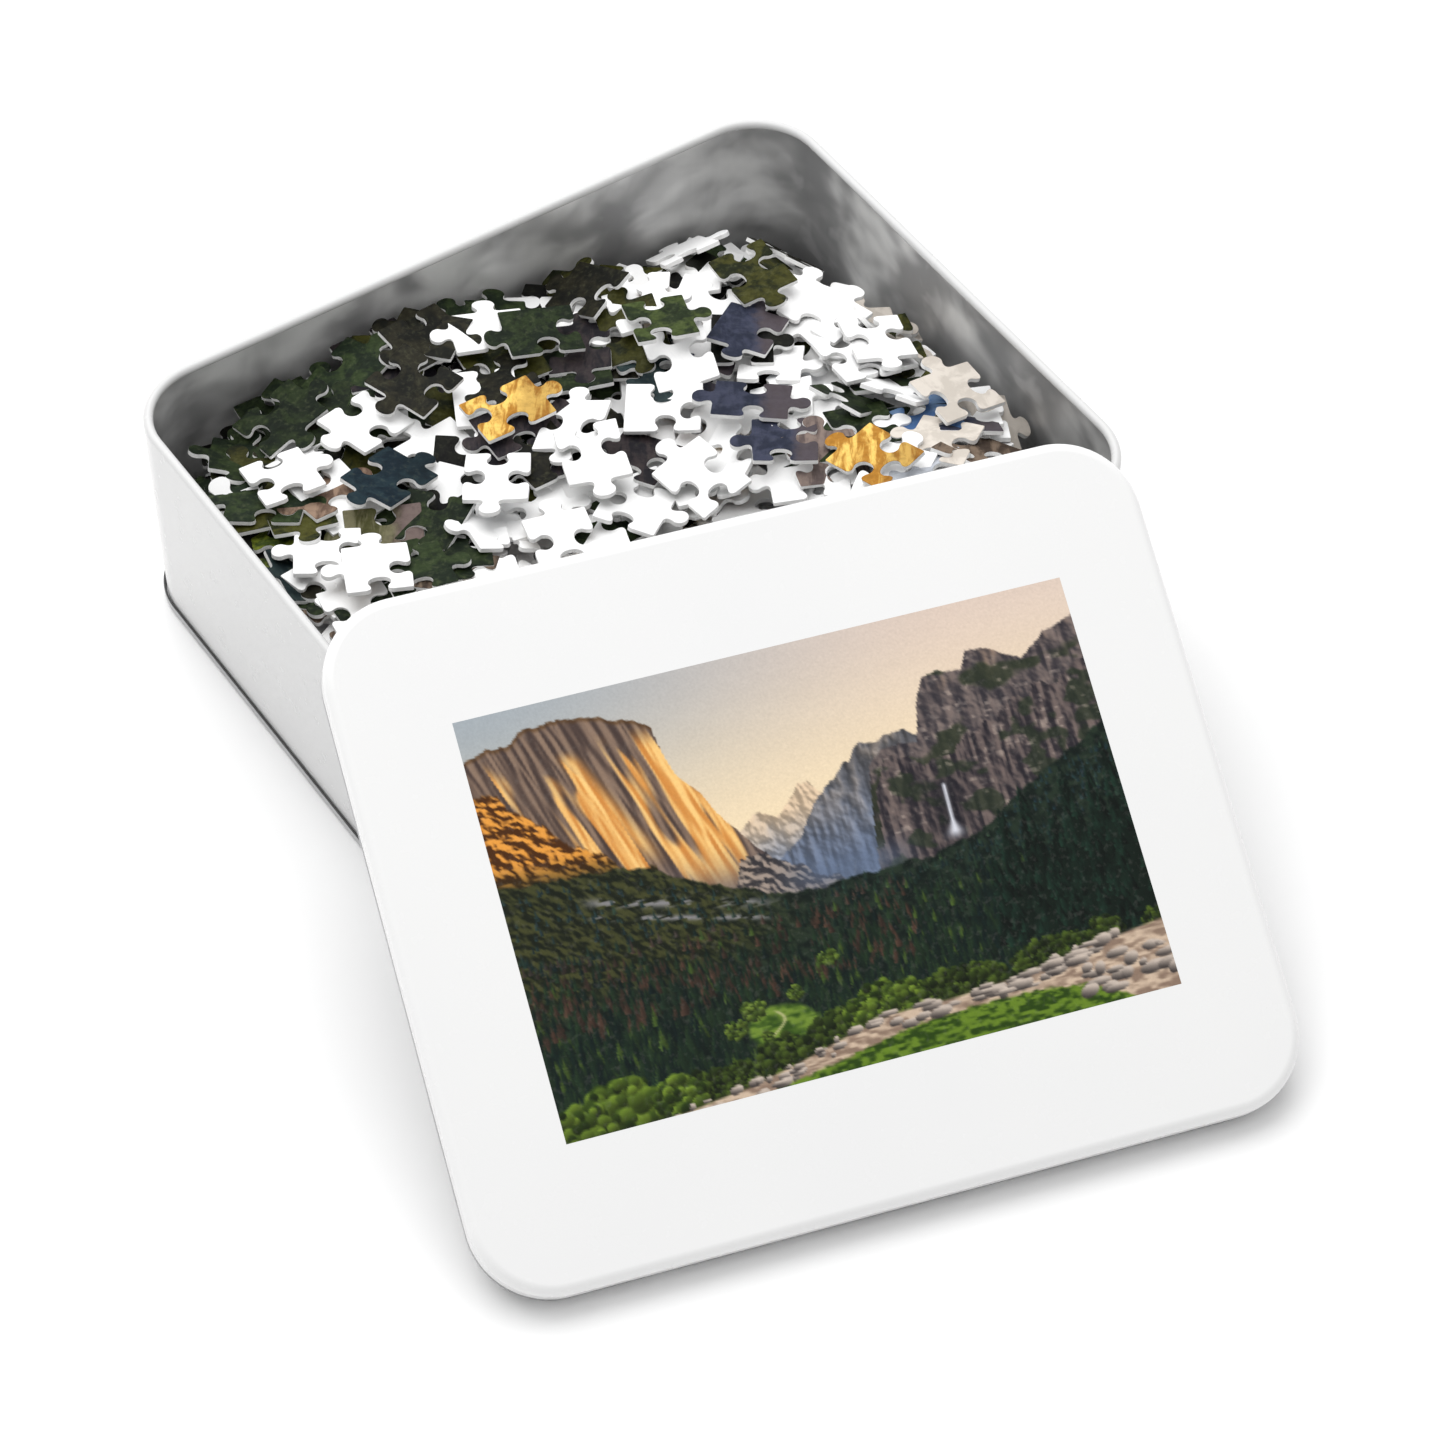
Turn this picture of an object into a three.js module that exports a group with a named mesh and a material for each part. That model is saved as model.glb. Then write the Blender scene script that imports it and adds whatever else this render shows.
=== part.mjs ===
// Boxed jigsaw puzzle: a rectangular metal tin with round corners, its lid leaning on the
// front edge, and a heap of loose jigsaw pieces inside.
// Millimetres, +Z up. Origin: centre of the underside of the tin's base.
import * as THREE from 'three';
import { mergeVertices } from 'three/addons/utils/BufferGeometryUtils.js';

// ---- driving dimensions ----------------------------------------------------
const TIN_LONG = 200.0;        // outside, along X
const TIN_SHORT = 165.53;      // outside, along Y
const TIN_HEIGHT = 63.11;      // to the top of the rolled rim
const TIN_CORNER_R = 19.87;    // outside corner radius in plan
const WALL = 0.45;             // sheet thickness as modelled
const RIM_R = 1.28;            // radius of the inward rolled rim
const WALL_FOOT = 1.22;        // height at which the wall sheet starts inside the seam
const SEAM_OUT = 0.85;         // how far the bottom seam stands out of the wall
const SEAM_GAP = 0.32;         // clearance between wall sheet and seam
const SEAM_TOP = 3.0;          // height of the seam's upper edge

const LID_OVER = 0.5335;       // lid outside minus tin outside, per side
const LID_H = 9.97;            // lid height
const LID_CORNER_R = 19.55;    // lid outside corner radius in plan
const LID_SHEET = 0.5;         // lid sheet thickness as modelled
const LID_POS = [-30.785, -123.194, 40.0185];  // centre of the lid's open side
const LID_YAW = -0.2823;       // radians about +Z
const LID_TILT = 0.5011;       // radians about the lid's own X after the yaw

const PIECE_W = 19.5;          // jigsaw piece body, long side
const PIECE_H = 16.2;          // jigsaw piece body, short side
const PIECE_T = 1.2;           // board thickness
const ARC = 7;                 // steps in each quarter corner

// half of a tab's outline: distance along the side, height above it
const TAB_HALF = [[-2.75, 0.0], [-2.05, 0.95], [-2.35, 2.05], [-2.8, 3.3], [-2.3, 4.55], [-0.95, 5.35]];

// ---- helpers ---------------------------------------------------------------
function solidFrom(points, tris) {
  const g = new THREE.BufferGeometry();
  g.setAttribute('position', new THREE.Float32BufferAttribute(points.flat(), 3));
  g.setIndex(tris.flat());
  return g;
}

// rounded rectangle ring, counter-clockwise, inset by d from (hx, hy, r)
function ring(hx, hy, r, d, z) {
  const rr = Math.max(r - d, 0.6);
  const cx = hx - d - rr, cy = hy - d - rr;
  const pts = [];
  for (let q = 0; q < 4; q++) {
    const sx = q === 0 || q === 3 ? 1 : -1, sy = q < 2 ? 1 : -1;
    for (let k = 0; k <= ARC; k++) {
      const a = (q + k / ARC) * Math.PI / 2;
      pts.push([sx * cx + rr * Math.cos(a), sy * cy + rr * Math.sin(a), z]);
    }
  }
  return pts;
}

// sweep a closed profile of [inset, z] round the rectangle. The profile runs so that the
// material lies on its left when seen with the inset pointing right and z up.
function sweepClosed(hx, hy, r, profile) {
  const pts = [], tris = [];
  const n = 4 * (ARC + 1), m = profile.length;
  for (const [d, z] of profile) pts.push(...ring(hx, hy, r, d, z));
  for (let i = 0; i < m; i++) {
    const a = i * n, b = ((i + 1) % m) * n;
    for (let k = 0; k < n; k++) {
      const k2 = (k + 1) % n;
      tris.push([a + k, b + k2, a + k2], [a + k, b + k, b + k2]);
    }
  }
  return solidFrom(pts, tris);
}

// the same, but the profile starts and ends on the centre line: its first and last rings
// are closed by flat fans
function sweepCapped(hx, hy, r, profile) {
  const pts = [], tris = [];
  const n = 4 * (ARC + 1), m = profile.length;
  for (const [d, z] of profile) pts.push(...ring(hx, hy, r, d, z));
  for (let i = 0; i < m - 1; i++) {
    const a = i * n, b = (i + 1) * n;
    for (let k = 0; k < n; k++) {
      const k2 = (k + 1) % n;
      tris.push([a + k, b + k2, a + k2], [a + k, b + k, b + k2]);
    }
  }
  const c0 = pts.length; pts.push([0, 0, profile[0][1]]);
  const c1 = pts.length; pts.push([0, 0, profile[m - 1][1]]);
  const e = (m - 1) * n;
  for (let k = 0; k < n; k++) {
    const k2 = (k + 1) % n;
    tris.push([c0, k, k2]);
    tris.push([c1, e + k2, e + k]);
  }
  return solidFrom(pts, tris);
}

function volume(g) {
  const p = g.attributes.position, ix = g.index;
  const a = new THREE.Vector3(), b = new THREE.Vector3(), c = new THREE.Vector3();
  let v = 0;
  for (let i = 0; i < ix.count; i += 3) {
    a.fromBufferAttribute(p, ix.getX(i)); b.fromBufferAttribute(p, ix.getX(i + 1)); c.fromBufferAttribute(p, ix.getX(i + 2));
    v += a.dot(b.cross(c)) / 6;
  }
  return v;
}

// faces out, whichever way the profile was written
function outward(g) {
  if (volume(g) < 0) {
    const ix = g.index.array;
    for (let i = 0; i < ix.length; i += 3) { const t = ix[i]; ix[i] = ix[i + 1]; ix[i + 1] = t; }
  }
  return g;
}

const group = new THREE.Group();
group.name = 'boxed_jigsaw_puzzle';

function addMesh(name, geometry, color, roughness, metalness, parent = group) {
  const mesh = new THREE.Mesh(geometry, new THREE.MeshStandardMaterial({ color, roughness, metalness }));
  mesh.name = name;
  parent.add(mesh);
  return mesh;
}

// ---- tin wall: one band of sheet with its top edge rolled inwards -----------
const HX = TIN_LONG / 2, HY = TIN_SHORT / 2;
{
  const zc = TIN_HEIGHT - RIM_R;
  const prof = [[0, WALL_FOOT], [0, zc]];
  for (let k = 1; k <= 8; k++) {             // over the top and down inside
    const a = Math.PI - k * Math.PI / 8;
    prof.push([RIM_R + RIM_R * Math.cos(a), zc + RIM_R * Math.sin(a)]);
  }
  prof.push([RIM_R * 1.71, zc - RIM_R * 0.71], [RIM_R, zc - RIM_R], [WALL + 0.05, zc - RIM_R * 0.9], [WALL, zc - RIM_R * 1.15], [WALL, WALL_FOOT]);
  addMesh('tin_wall', outward(sweepClosed(HX, HY, TIN_CORNER_R, prof)), 0xf4f4f2, 0.3, 0.0);
}

// ---- tin base: panel with a stiffening groove and the seam round its edge ----
{
  const s = -SEAM_OUT, g = -SEAM_GAP;
  const prof = [
    [9.2, 0.55], [8.2, 0.6], [7.0, 1.15], [4.2, 1.15], [3.2, 0.9],      // top of the panel and groove
    [WALL + SEAM_GAP + 0.5, 0.9],
    [g, 0.9], [g, SEAM_TOP - 0.25],                                      // channel beside the wall
    [g - 0.12, SEAM_TOP], [s + 0.15, SEAM_TOP - 0.05], [s, SEAM_TOP - 0.35],
    [s, 0.45], [s + 0.35, 0.06], [s + 0.7, 0.0],                         // outside of the seam
    [3.4, 0.0], [4.4, 0.55], [6.8, 0.55], [7.8, 0.0], [9.2, 0.0],        // underside and groove
  ];
  addMesh('tin_base', outward(sweepCapped(HX, HY, TIN_CORNER_R, prof)), 0xd8d8d6, 0.35, 0.6);
}

// ---- lid: one pressed shell with a rolled edge -------------------------------
const lidFrame = new THREE.Group();
lidFrame.position.set(...LID_POS);
{
  const m = new THREE.Matrix4().makeRotationZ(LID_YAW).multiply(new THREE.Matrix4().makeRotationX(LID_TILT));
  lidFrame.quaternion.setFromRotationMatrix(m);
  group.add(lidFrame);
  const lx = HX + LID_OVER, ly = HY + LID_OVER, R = 2.7, t = LID_SHEET;
  const prof = [];
  for (let k = 0; k <= 5; k++) {              // top edge radius, outside
    const a = Math.PI / 2 + k * Math.PI / 10;
    prof.push([R + R * Math.cos(a), LID_H - R + R * Math.sin(a)]);
  }
  prof.push([0, 2.35], [0.34, 2.1], [0.34, 1.75]);                       // skirt and the line above the roll
  prof.push([0.1, 1.5], [-0.06, 1.1], [-0.06, 0.5], [0.12, 0.12], [0.5, 0.0], [0.95, 0.12], [1.14, 0.5], [1.14, 1.1], [0.9, 1.55]);
  prof.push([0.84, 2.3], [t, 2.6]);
  const ri = R - t;
  for (let k = 0; k <= 4; k++) {              // top edge radius, inside
    const a = Math.PI - k * Math.PI / 8;
    prof.push([R + ri * Math.cos(a), LID_H - R + ri * Math.sin(a)]);
  }
  addMesh('lid', outward(sweepCapped(lx, ly, LID_CORNER_R, prof)), 0xf6f6f5, 0.3, 0.0, lidFrame);
}

// ---- heap: the mass of loose pieces below the top ones, as one lumpy solid ---
const HEAP_FLOOR = 1.5;        // clears the groove ring of the base
const HEAP_HX = 98.7, HEAP_HY = 81.45, HEAP_R = 18.6;
const HEAP_Z = [
  [34.8, 24.7, 29.5, 35.5, 33.7, 31.3, 34.3, 39.2, 42.7, 44, 37.8, 40.5, 48.4, 51.2, 37.9, 41.4, 48.1, 47.3, 36.3, 27.5, 15, 14.7, 12.8],
  [32.2, 40.5, 40.8, 47.2, 48.3, 47.8, 48.5, 50.2, 51.5, 52.6, 50.5, 50.5, 53.7, 54.5, 50.4, 48.7, 52.6, 51.8, 47.6, 39.8, 25.4, 15.2, 0],
  [36.5, 43.4, 52.4, 53, 54.2, 53.9, 53.7, 53.3, 52.9, 54.6, 55.1, 54.6, 55.2, 55.2, 54.2, 53.6, 53, 51.5, 50.8, 49, 39.8, 27.6, 31.2],
  [36.9, 49, 53.2, 53.3, 53.7, 52.5, 52.7, 52.5, 53.2, 55, 55.7, 54.6, 53.9, 53.2, 53.9, 54.2, 53.1, 50.2, 48.5, 48, 45.7, 39.2, 32.1],
  [31.2, 48.4, 54.2, 53.3, 47.8, 45.3, 46.9, 47.9, 51.2, 54.9, 56, 55, 51.9, 52.1, 53.1, 53.5, 52, 49.5, 48.5, 47.1, 46.1, 43.3, 40.6],
  [47.2, 53.4, 53.6, 52.9, 48.9, 46.4, 46.8, 50.2, 52.3, 56, 56, 54.9, 52, 51.9, 50.8, 51.2, 52.2, 50.5, 49.9, 48.4, 47.4, 45.8, 38.9],
  [44.5, 52.1, 53.5, 53.2, 50.5, 49.7, 51.9, 52.4, 52.5, 56, 55.8, 54.6, 53.4, 51, 46.8, 46, 50.4, 50.6, 51.6, 51.3, 49.8, 47.4, 42.2],
  [45.4, 51.4, 54.2, 53.8, 53.8, 51.3, 50.5, 51, 50.7, 53.3, 53.9, 54.2, 53.5, 50.2, 47, 47, 48.6, 50.6, 52.9, 52.5, 51.3, 47.5, 42.9],
  [41.1, 45.8, 50.4, 48.1, 47.1, 48.5, 48.5, 48.9, 48.2, 48.3, 51, 51.4, 48.5, 47.9, 48.1, 48.9, 48.9, 49.8, 51.9, 53.4, 53.1, 50.9, 46.9],
  [41.1, 48.2, 49.9, 47.7, 46.2, 48.9, 49.4, 48.7, 48.9, 49.5, 48.6, 50.6, 50, 50.8, 50.4, 50.7, 49.9, 48.3, 49.8, 53.3, 54.6, 52.4, 49.3],
  [45.3, 51, 53.3, 52.4, 45.6, 47.8, 49.2, 49.3, 52.3, 52.8, 52, 51.3, 52.4, 52.6, 52.6, 52.8, 52.1, 50.9, 49.4, 52.3, 54, 52.8, 50.8],
  [42, 50.6, 53.7, 53.5, 50.1, 49, 48.8, 46.2, 51, 53.2, 51.4, 50.6, 53, 52.9, 52.8, 53.1, 53, 52, 51.7, 53.8, 53.3, 50.3, 43],
  [32.2, 44.1, 51.8, 50.4, 50.7, 50.2, 46.8, 44.9, 50.8, 52.7, 51.3, 50.9, 53.5, 54.3, 53.6, 51.8, 51.9, 51.7, 52, 53.2, 52, 47.7, 41.7],
  [36.6, 40.1, 49.7, 48.8, 45.8, 46.9, 46.6, 45.8, 49.2, 51, 50.6, 50.7, 50.3, 52.3, 53.6, 51.2, 49.6, 50.4, 51.4, 51.4, 50.1, 44.8, 32.8],
  [46.7, 51.2, 52.9, 53.2, 48.6, 46.8, 48.2, 47.3, 48.5, 50.1, 48.8, 49.3, 50.1, 50.6, 48.2, 50.3, 50.2, 49.3, 47.4, 46.5, 45.2, 42.6, 37.8],
  [49.2, 52.9, 53.4, 53, 47.4, 45.6, 46.8, 47.2, 50.4, 51.5, 49.1, 48.9, 50.5, 51.9, 48.9, 47.6, 50, 49.1, 45.8, 42.6, 42.3, 41.2, 37.3],
  [43.5, 47.7, 49.8, 48.6, 46.8, 47.9, 49, 50.7, 54, 54.3, 51, 49.4, 49.8, 52.5, 50.8, 49.9, 50.9, 49.1, 45.8, 42.6, 42.3, 40.6, 35.6],
  [44.4, 48.2, 48.3, 47.8, 49.9, 51.1, 52.5, 55.5, 56, 54.5, 50.8, 49.6, 49.8, 51.7, 52.6, 51.8, 52.1, 50.4, 48, 45.5, 43, 40.7, 34.6],
  [49.7, 51.7, 51.3, 50.8, 52.1, 54.4, 54.1, 54.7, 54.7, 53.4, 51.5, 48.9, 46.8, 48.6, 50.3, 50.1, 50, 52, 49.3, 45.5, 39.9, 37.8, 35],
  [47.3, 52.7, 53.2, 53.5, 55.3, 56, 54.4, 54.7, 54.5, 53, 51.7, 49.5, 47.4, 49.7, 51.2, 48.8, 46.4, 47.9, 46.7, 39.1, 35.8, 34.6, 32.7],
  [35.8, 50.1, 53.7, 54.4, 56, 56, 56, 55.1, 53.9, 53, 51.7, 48.5, 47.8, 48.5, 49.5, 47.7, 45.8, 44.6, 44.2, 39.1, 33.2, 29.6, 25.5],
  [46, 52.8, 53.3, 53.2, 55.5, 56, 56, 53.8, 52.4, 52.9, 50.7, 46.6, 46.8, 45.6, 46.7, 46.8, 44.4, 42.6, 43, 39.3, 33.2, 29.2, 25.5],
  [50.5, 53, 53.4, 54.3, 56, 56, 53.9, 53.1, 52.8, 51.1, 50, 48.8, 47.7, 45.9, 45.7, 45.7, 43.4, 41.2, 40.2, 35.5, 32.4, 29.2, 26.5],
  [38.3, 45.4, 50, 50.4, 52.6, 53.9, 52.4, 51.7, 50.5, 48.4, 48.7, 47.5, 46.9, 46.7, 46.3, 45.8, 43.1, 36.8, 34.2, 31.8, 29.9, 28.8, 29.8],
  [39.4, 36, 34.7, 36.4, 38.5, 45, 49.8, 49.5, 46.9, 44, 43.9, 46, 44.7, 44.5, 44.4, 42.4, 36.5, 29.5, 27.5, 27.2, 25.9, 24.6, -0],
  [29.9, 20.6, 19.6, 24.3, 29.3, 28, 38.7, 45.2, 42.4, 36.7, 31.6, 37.7, 39.2, 39.7, 34.7, 31.3, 26.4, 25.2, 23.3, 21.9, 21.6, 22.5, 23.3],
  [17.2, -0, -0, -0, 28.6, 13.4, 29, 41.9, 36.3, 21.7, 20.9, 28, 33.7, 36.3, 26.3, 17.9, 18.8, 21, 19.8, 16.2, 20.9, 21.1, -0],
];
{
  const nu = HEAP_Z.length - 1, nv = HEAP_Z[0].length - 1;
  const place = (i, j) => {
    let x = (2 * i / nu - 1) * HEAP_HX, y = (2 * j / nv - 1) * HEAP_HY;
    const cx = HEAP_HX - HEAP_R, cy = HEAP_HY - HEAP_R;
    if (Math.abs(x) > cx && Math.abs(y) > cy) {
      const a = (Math.abs(x) - cx) / HEAP_R, b = (Math.abs(y) - cy) / HEAP_R;
      x = Math.sign(x) * (cx + HEAP_R * a * Math.sqrt(1 - b * b / 2));
      y = Math.sign(y) * (cy + HEAP_R * b * Math.sqrt(1 - a * a / 2));
    }
    return [x, y];
  };
  const pts = [], tris = [], id = (i, j) => i * (nv + 1) + j;
  for (let i = 0; i <= nu; i++) for (let j = 0; j <= nv; j++) pts.push([...place(i, j), HEAP_Z[i][j]]);
  for (let i = 0; i < nu; i++) {
    for (let j = 0; j < nv; j++) {
      const a = id(i, j), b = id(i + 1, j), c = id(i + 1, j + 1), d = id(i, j + 1);
      tris.push([a, b, c], [a, c, d]);
    }
  }
  const edge = [];
  for (let i = 0; i < nu; i++) edge.push([i, 0]);
  for (let j = 0; j < nv; j++) edge.push([nu, j]);
  for (let i = nu; i > 0; i--) edge.push([i, nv]);
  for (let j = nv; j > 0; j--) edge.push([0, j]);
  const base = pts.length;
  for (const [i, j] of edge) pts.push([...place(i, j), HEAP_FLOOR]);
  const c0 = pts.length; pts.push([0, 0, HEAP_FLOOR]);
  const n = edge.length;
  for (let k = 0; k < n; k++) {
    const k2 = (k + 1) % n;
    const t0 = id(...edge[k]), t1 = id(...edge[k2]), b0 = base + k, b1 = base + k2;
    tris.push([t0, b0, b1], [t0, b1, t1], [c0, b1, b0]);
  }
  addMesh('jigsaw_heap', outward(solidFrom(pts, tris)), 0xd9d8d4, 0.8, 0.0);
}

// ---- loose pieces on top of the heap -----------------------------------------
// name, centre, [spin, tip, roll], sides (1 tab, -1 socket, 0 straight) from the lower long
// side counter-clockwise, tab shifts along each side, print
const PIECES = [
  ['piece_white_01', [-76.12, 41.25, 54.98], [-1.6949, 0.0232, -0.2257], [-1, -1, 1, -1], [0.50, 0.03, 0.13, -0.19], 'white'],
  ['piece_white_02', [-74.04, -1.44, 58.54], [-2.0083, -0.0137, -0.2265], [1, -1, -1, 1], [-0.80, -0.17, -0.98, 0.67], 'white'],
  ['piece_green_01', [-64.88, 62.54, 51.64], [0.1317, -0.0659, -0.2171], [1, 1, -1, -1], [-0.22, -0.46, -0.65, 0.24], 'green'],
  ['piece_teal_01', [-53.73, 27.38, 53.78], [0.3521, 0.0494, 0.2400], [-1, 1, -1, 1], [0.94, -0.98, 0.92, -0.17], 'teal'],
  ['piece_white_03', [-32.42, 10.83, 55.74], [-2.1609, 0.0281, -0.1813], [-1, 1, -1, -1], [0.17, -0.85, -0.89, -0.19], 'white'],
  ['piece_dark_01', [-31.89, 51.19, 56.04], [-1.2392, 0.0748, 0.0533], [1, -1, -1, -1], [-0.05, 0.32, -0.43, 0.95], 'dark'],
  ['piece_white_04', [-29.99, -16.05, 55.19], [-1.8633, -0.0032, -0.0669], [-1, -1, -1, 1], [-0.16, 0.57, -0.79, -0.39], 'white'],
  ['piece_golden_01', [-17.42, 29.86, 55.47], [-0.0530, -0.0636, -0.0382], [-1, 1, -1, -1], [0.09, 0.21, 0.25, -0.86], 'golden'],
  ['piece_white_05', [-9.19, 2.91, 57.99], [-1.9216, 0.0170, 0.0137], [-1, 1, -1, -1], [-0.72, 0.06, 0.39, 0.10], 'white'],
  ['piece_green_02', [5.13, 49.76, 54.40], [-0.3132, 0.0372, 0.1242], [-1, -1, 0, 1], [0.78, 0.49, 0.56, 0.78], 'green'],
  ['piece_white_06', [9.92, -17.16, 55.12], [-1.4289, 0.1636, 0.0627], [-1, -1, -1, 1], [0.86, -0.42, 0.20, -0.20], 'white'],
  ['piece_dark_02', [25.62, 59.96, 49.94], [-1.2185, 0.2613, -0.4136], [-1, -1, 0, 1], [0.99, 0.46, 0.57, 0.09], 'dark'],
  ['piece_fern_01', [31.27, 33.91, 57.13], [-1.9103, -0.0129, -0.2265], [-1, -1, 1, -1], [0.88, -0.99, -0.56, -0.16], 'fern'],
  ['piece_slate_01', [35.41, -1.62, 54.80], [-0.6887, -0.2343, -0.0008], [-1, 1, -1, 1], [0.44, -0.31, -0.16, -0.41], 'slate'],
  ['piece_golden_02', [47.34, -38.50, 59.12], [-1.3766, 0.1191, -0.1931], [-1, -1, -1, 1], [0.49, -0.74, -0.37, 0.92], 'golden'],
  ['piece_white_07', [59.82, 67.12, 40.12], [-1.6904, 0.1417, -0.6535], [-1, -1, 1, 1], [0.66, -0.46, -0.74, 0.25], 'white'],
  ['piece_olive_01', [65.47, 42.16, 49.19], [-1.6465, 0.0765, -0.0536], [-1, 1, -1, -1], [0.27, -0.56, 0.62, -0.94], 'olive'],
  ['piece_white_08', [77.52, 2.89, 50.24], [-1.9265, -0.1019, -0.2027], [-1, 1, -1, -1], [0.82, 0.32, 0.51, 0.60], 'white'],
  ['piece_beige_01', [79.93, -28.28, 54.85], [0.0300, 0.0945, 0.2063], [-1, -1, 1, -1], [-0.16, -0.49, -0.86, 0.28], 'beige'],
  ['piece_dark_03', [85.26, 55.93, 34.26], [-0.9286, -0.7714, 0.2135], [-1, -1, -1, -1], [-0.34, -0.14, 0.25, -0.82], 'dark'],
];
const PRINT = {
  white: 0xf2f1ee,
  green: 0x26361f,
  dark: 0x22221c,
  teal: 0x1e3442,
  golden: 0xd6a43c,
  olive: 0x3e421c,
  fern: 0x3e5634,
  slate: 0x3a4054,
  beige: 0xcec8c0,
};

function pieceShape(sides, shift) {
  const hw = PIECE_W / 2, hh = PIECE_H / 2;
  const c = [[-hw, -hh], [hw, -hh], [hw, hh], [-hw, hh]];
  const out = [];
  for (let k = 0; k < 4; k++) {
    const a = c[k], b = c[(k + 1) % 4];
    const len = Math.hypot(b[0] - a[0], b[1] - a[1]);
    const t = [(b[0] - a[0]) / len, (b[1] - a[1]) / len], n = [t[1], -t[0]];
    out.push(new THREE.Vector2(a[0], a[1]));
    if (sides[k] !== 0) {
      const s = len / 2 + shift[k] * 1.1;
      const tab = [...TAB_HALF, ...TAB_HALF.slice().reverse().map(([x, h]) => [-x, h])];
      for (const [x, h] of tab) out.push(new THREE.Vector2(a[0] + t[0] * (s + x) + n[0] * h * sides[k], a[1] + t[1] * (s + x) + n[1] * h * sides[k]));
    }
  }
  return new THREE.Shape(out);
}

for (const [name, pos, [spin, tip, roll], sides, shift, print] of PIECES) {
  let g = new THREE.ExtrudeGeometry(pieceShape(sides, shift), { depth: PIECE_T, bevelEnabled: false, steps: 1 });
  g.translate(0, 0, -PIECE_T / 2);
  g.deleteAttribute('normal'); g.deleteAttribute('uv');
  g = mergeVertices(g, 1e-4);
  const mesh = addMesh(name, g, PRINT[print], 0.75, 0.0);
  const m = new THREE.Matrix4().makeRotationZ(spin)
    .multiply(new THREE.Matrix4().makeRotationX(tip))
    .multiply(new THREE.Matrix4().makeRotationY(roll));
  mesh.quaternion.setFromRotationMatrix(m);
  mesh.position.set(...pos);
}

export default group;
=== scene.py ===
# Boxed jigsaw puzzle: the looks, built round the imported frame. Metres, +Z up; the tables below are in millimetres.
import math
import bpy
import numpy as np
from mathutils import Matrix, Vector


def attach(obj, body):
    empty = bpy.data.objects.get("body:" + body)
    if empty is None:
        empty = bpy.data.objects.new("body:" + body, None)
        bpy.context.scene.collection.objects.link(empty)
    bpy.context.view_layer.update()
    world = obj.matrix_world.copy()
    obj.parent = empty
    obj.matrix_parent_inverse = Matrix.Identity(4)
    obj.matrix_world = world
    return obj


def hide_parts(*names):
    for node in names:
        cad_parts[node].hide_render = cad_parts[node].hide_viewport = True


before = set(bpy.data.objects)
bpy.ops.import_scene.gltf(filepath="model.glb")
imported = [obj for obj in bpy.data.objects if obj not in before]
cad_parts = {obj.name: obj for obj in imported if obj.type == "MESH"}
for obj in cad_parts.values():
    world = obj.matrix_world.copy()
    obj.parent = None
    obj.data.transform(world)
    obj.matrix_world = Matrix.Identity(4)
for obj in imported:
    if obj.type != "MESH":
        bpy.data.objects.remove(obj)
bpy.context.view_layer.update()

MM = 0.001
scene = bpy.context.scene

# ---- camera ----------------------------------------------------------------------
AZ, EL, DIST, ROLL = math.radians(-33.6302), math.radians(49.1396), 1.093511, -0.0052
TARGET = np.array([-0.0040443, -0.0468869, 0.0])
back = np.array([math.sin(AZ) * math.cos(EL), -math.cos(AZ) * math.cos(EL), math.sin(EL)])
right = np.cross([0, 0, 1], back); right /= np.linalg.norm(right)
up = np.cross(back, right)
r2 = right * math.cos(ROLL) + up * math.sin(ROLL)
u2 = -right * math.sin(ROLL) + up * math.cos(ROLL)
eye = TARGET + back * DIST
cam_data = bpy.data.cameras.new("view")
cam_data.sensor_width = 36.0
cam_data.lens = 36.0 * 4328.18 / 1445.0
cam_data.clip_start, cam_data.clip_end = 0.01, 50.0
cam = bpy.data.objects.new("view", cam_data)
scene.collection.objects.link(cam)
cam.matrix_world = Matrix([[r2[i], u2[i], back[i], eye[i]] for i in range(3)] + [[0, 0, 0, 1]])
scene.camera = cam

# ---- helpers ---------------------------------------------------------------------
def link(ob):
    scene.collection.objects.link(ob)
    return ob


def mesh_object(name, verts, faces, mats, face_mat=None, smooth=False, normals=None):
    me = bpy.data.meshes.new(name)
    me.from_pydata([tuple(v) for v in verts], [], faces)
    for m in mats:
        me.materials.append(m)
    if face_mat is not None:
        me.polygons.foreach_set("material_index", np.asarray(face_mat, dtype=np.int32))
    me.polygons.foreach_set("use_smooth", np.full(len(me.polygons), bool(smooth)))
    me.update()
    if normals is not None:
        me.normals_split_custom_set_from_vertices([tuple(n) for n in normals])
    return link(bpy.data.objects.new(name, me))


def rz(a):
    c, s = math.cos(a), math.sin(a)
    return np.array([[c, -s, 0], [s, c, 0], [0, 0, 1.0]])


def rx(a):
    c, s = math.cos(a), math.sin(a)
    return np.array([[1.0, 0, 0], [0, c, -s], [0, s, c]])


def ry(a):
    c, s = math.cos(a), math.sin(a)
    return np.array([[c, 0, s], [0, 1.0, 0], [-s, 0, c]])


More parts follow.
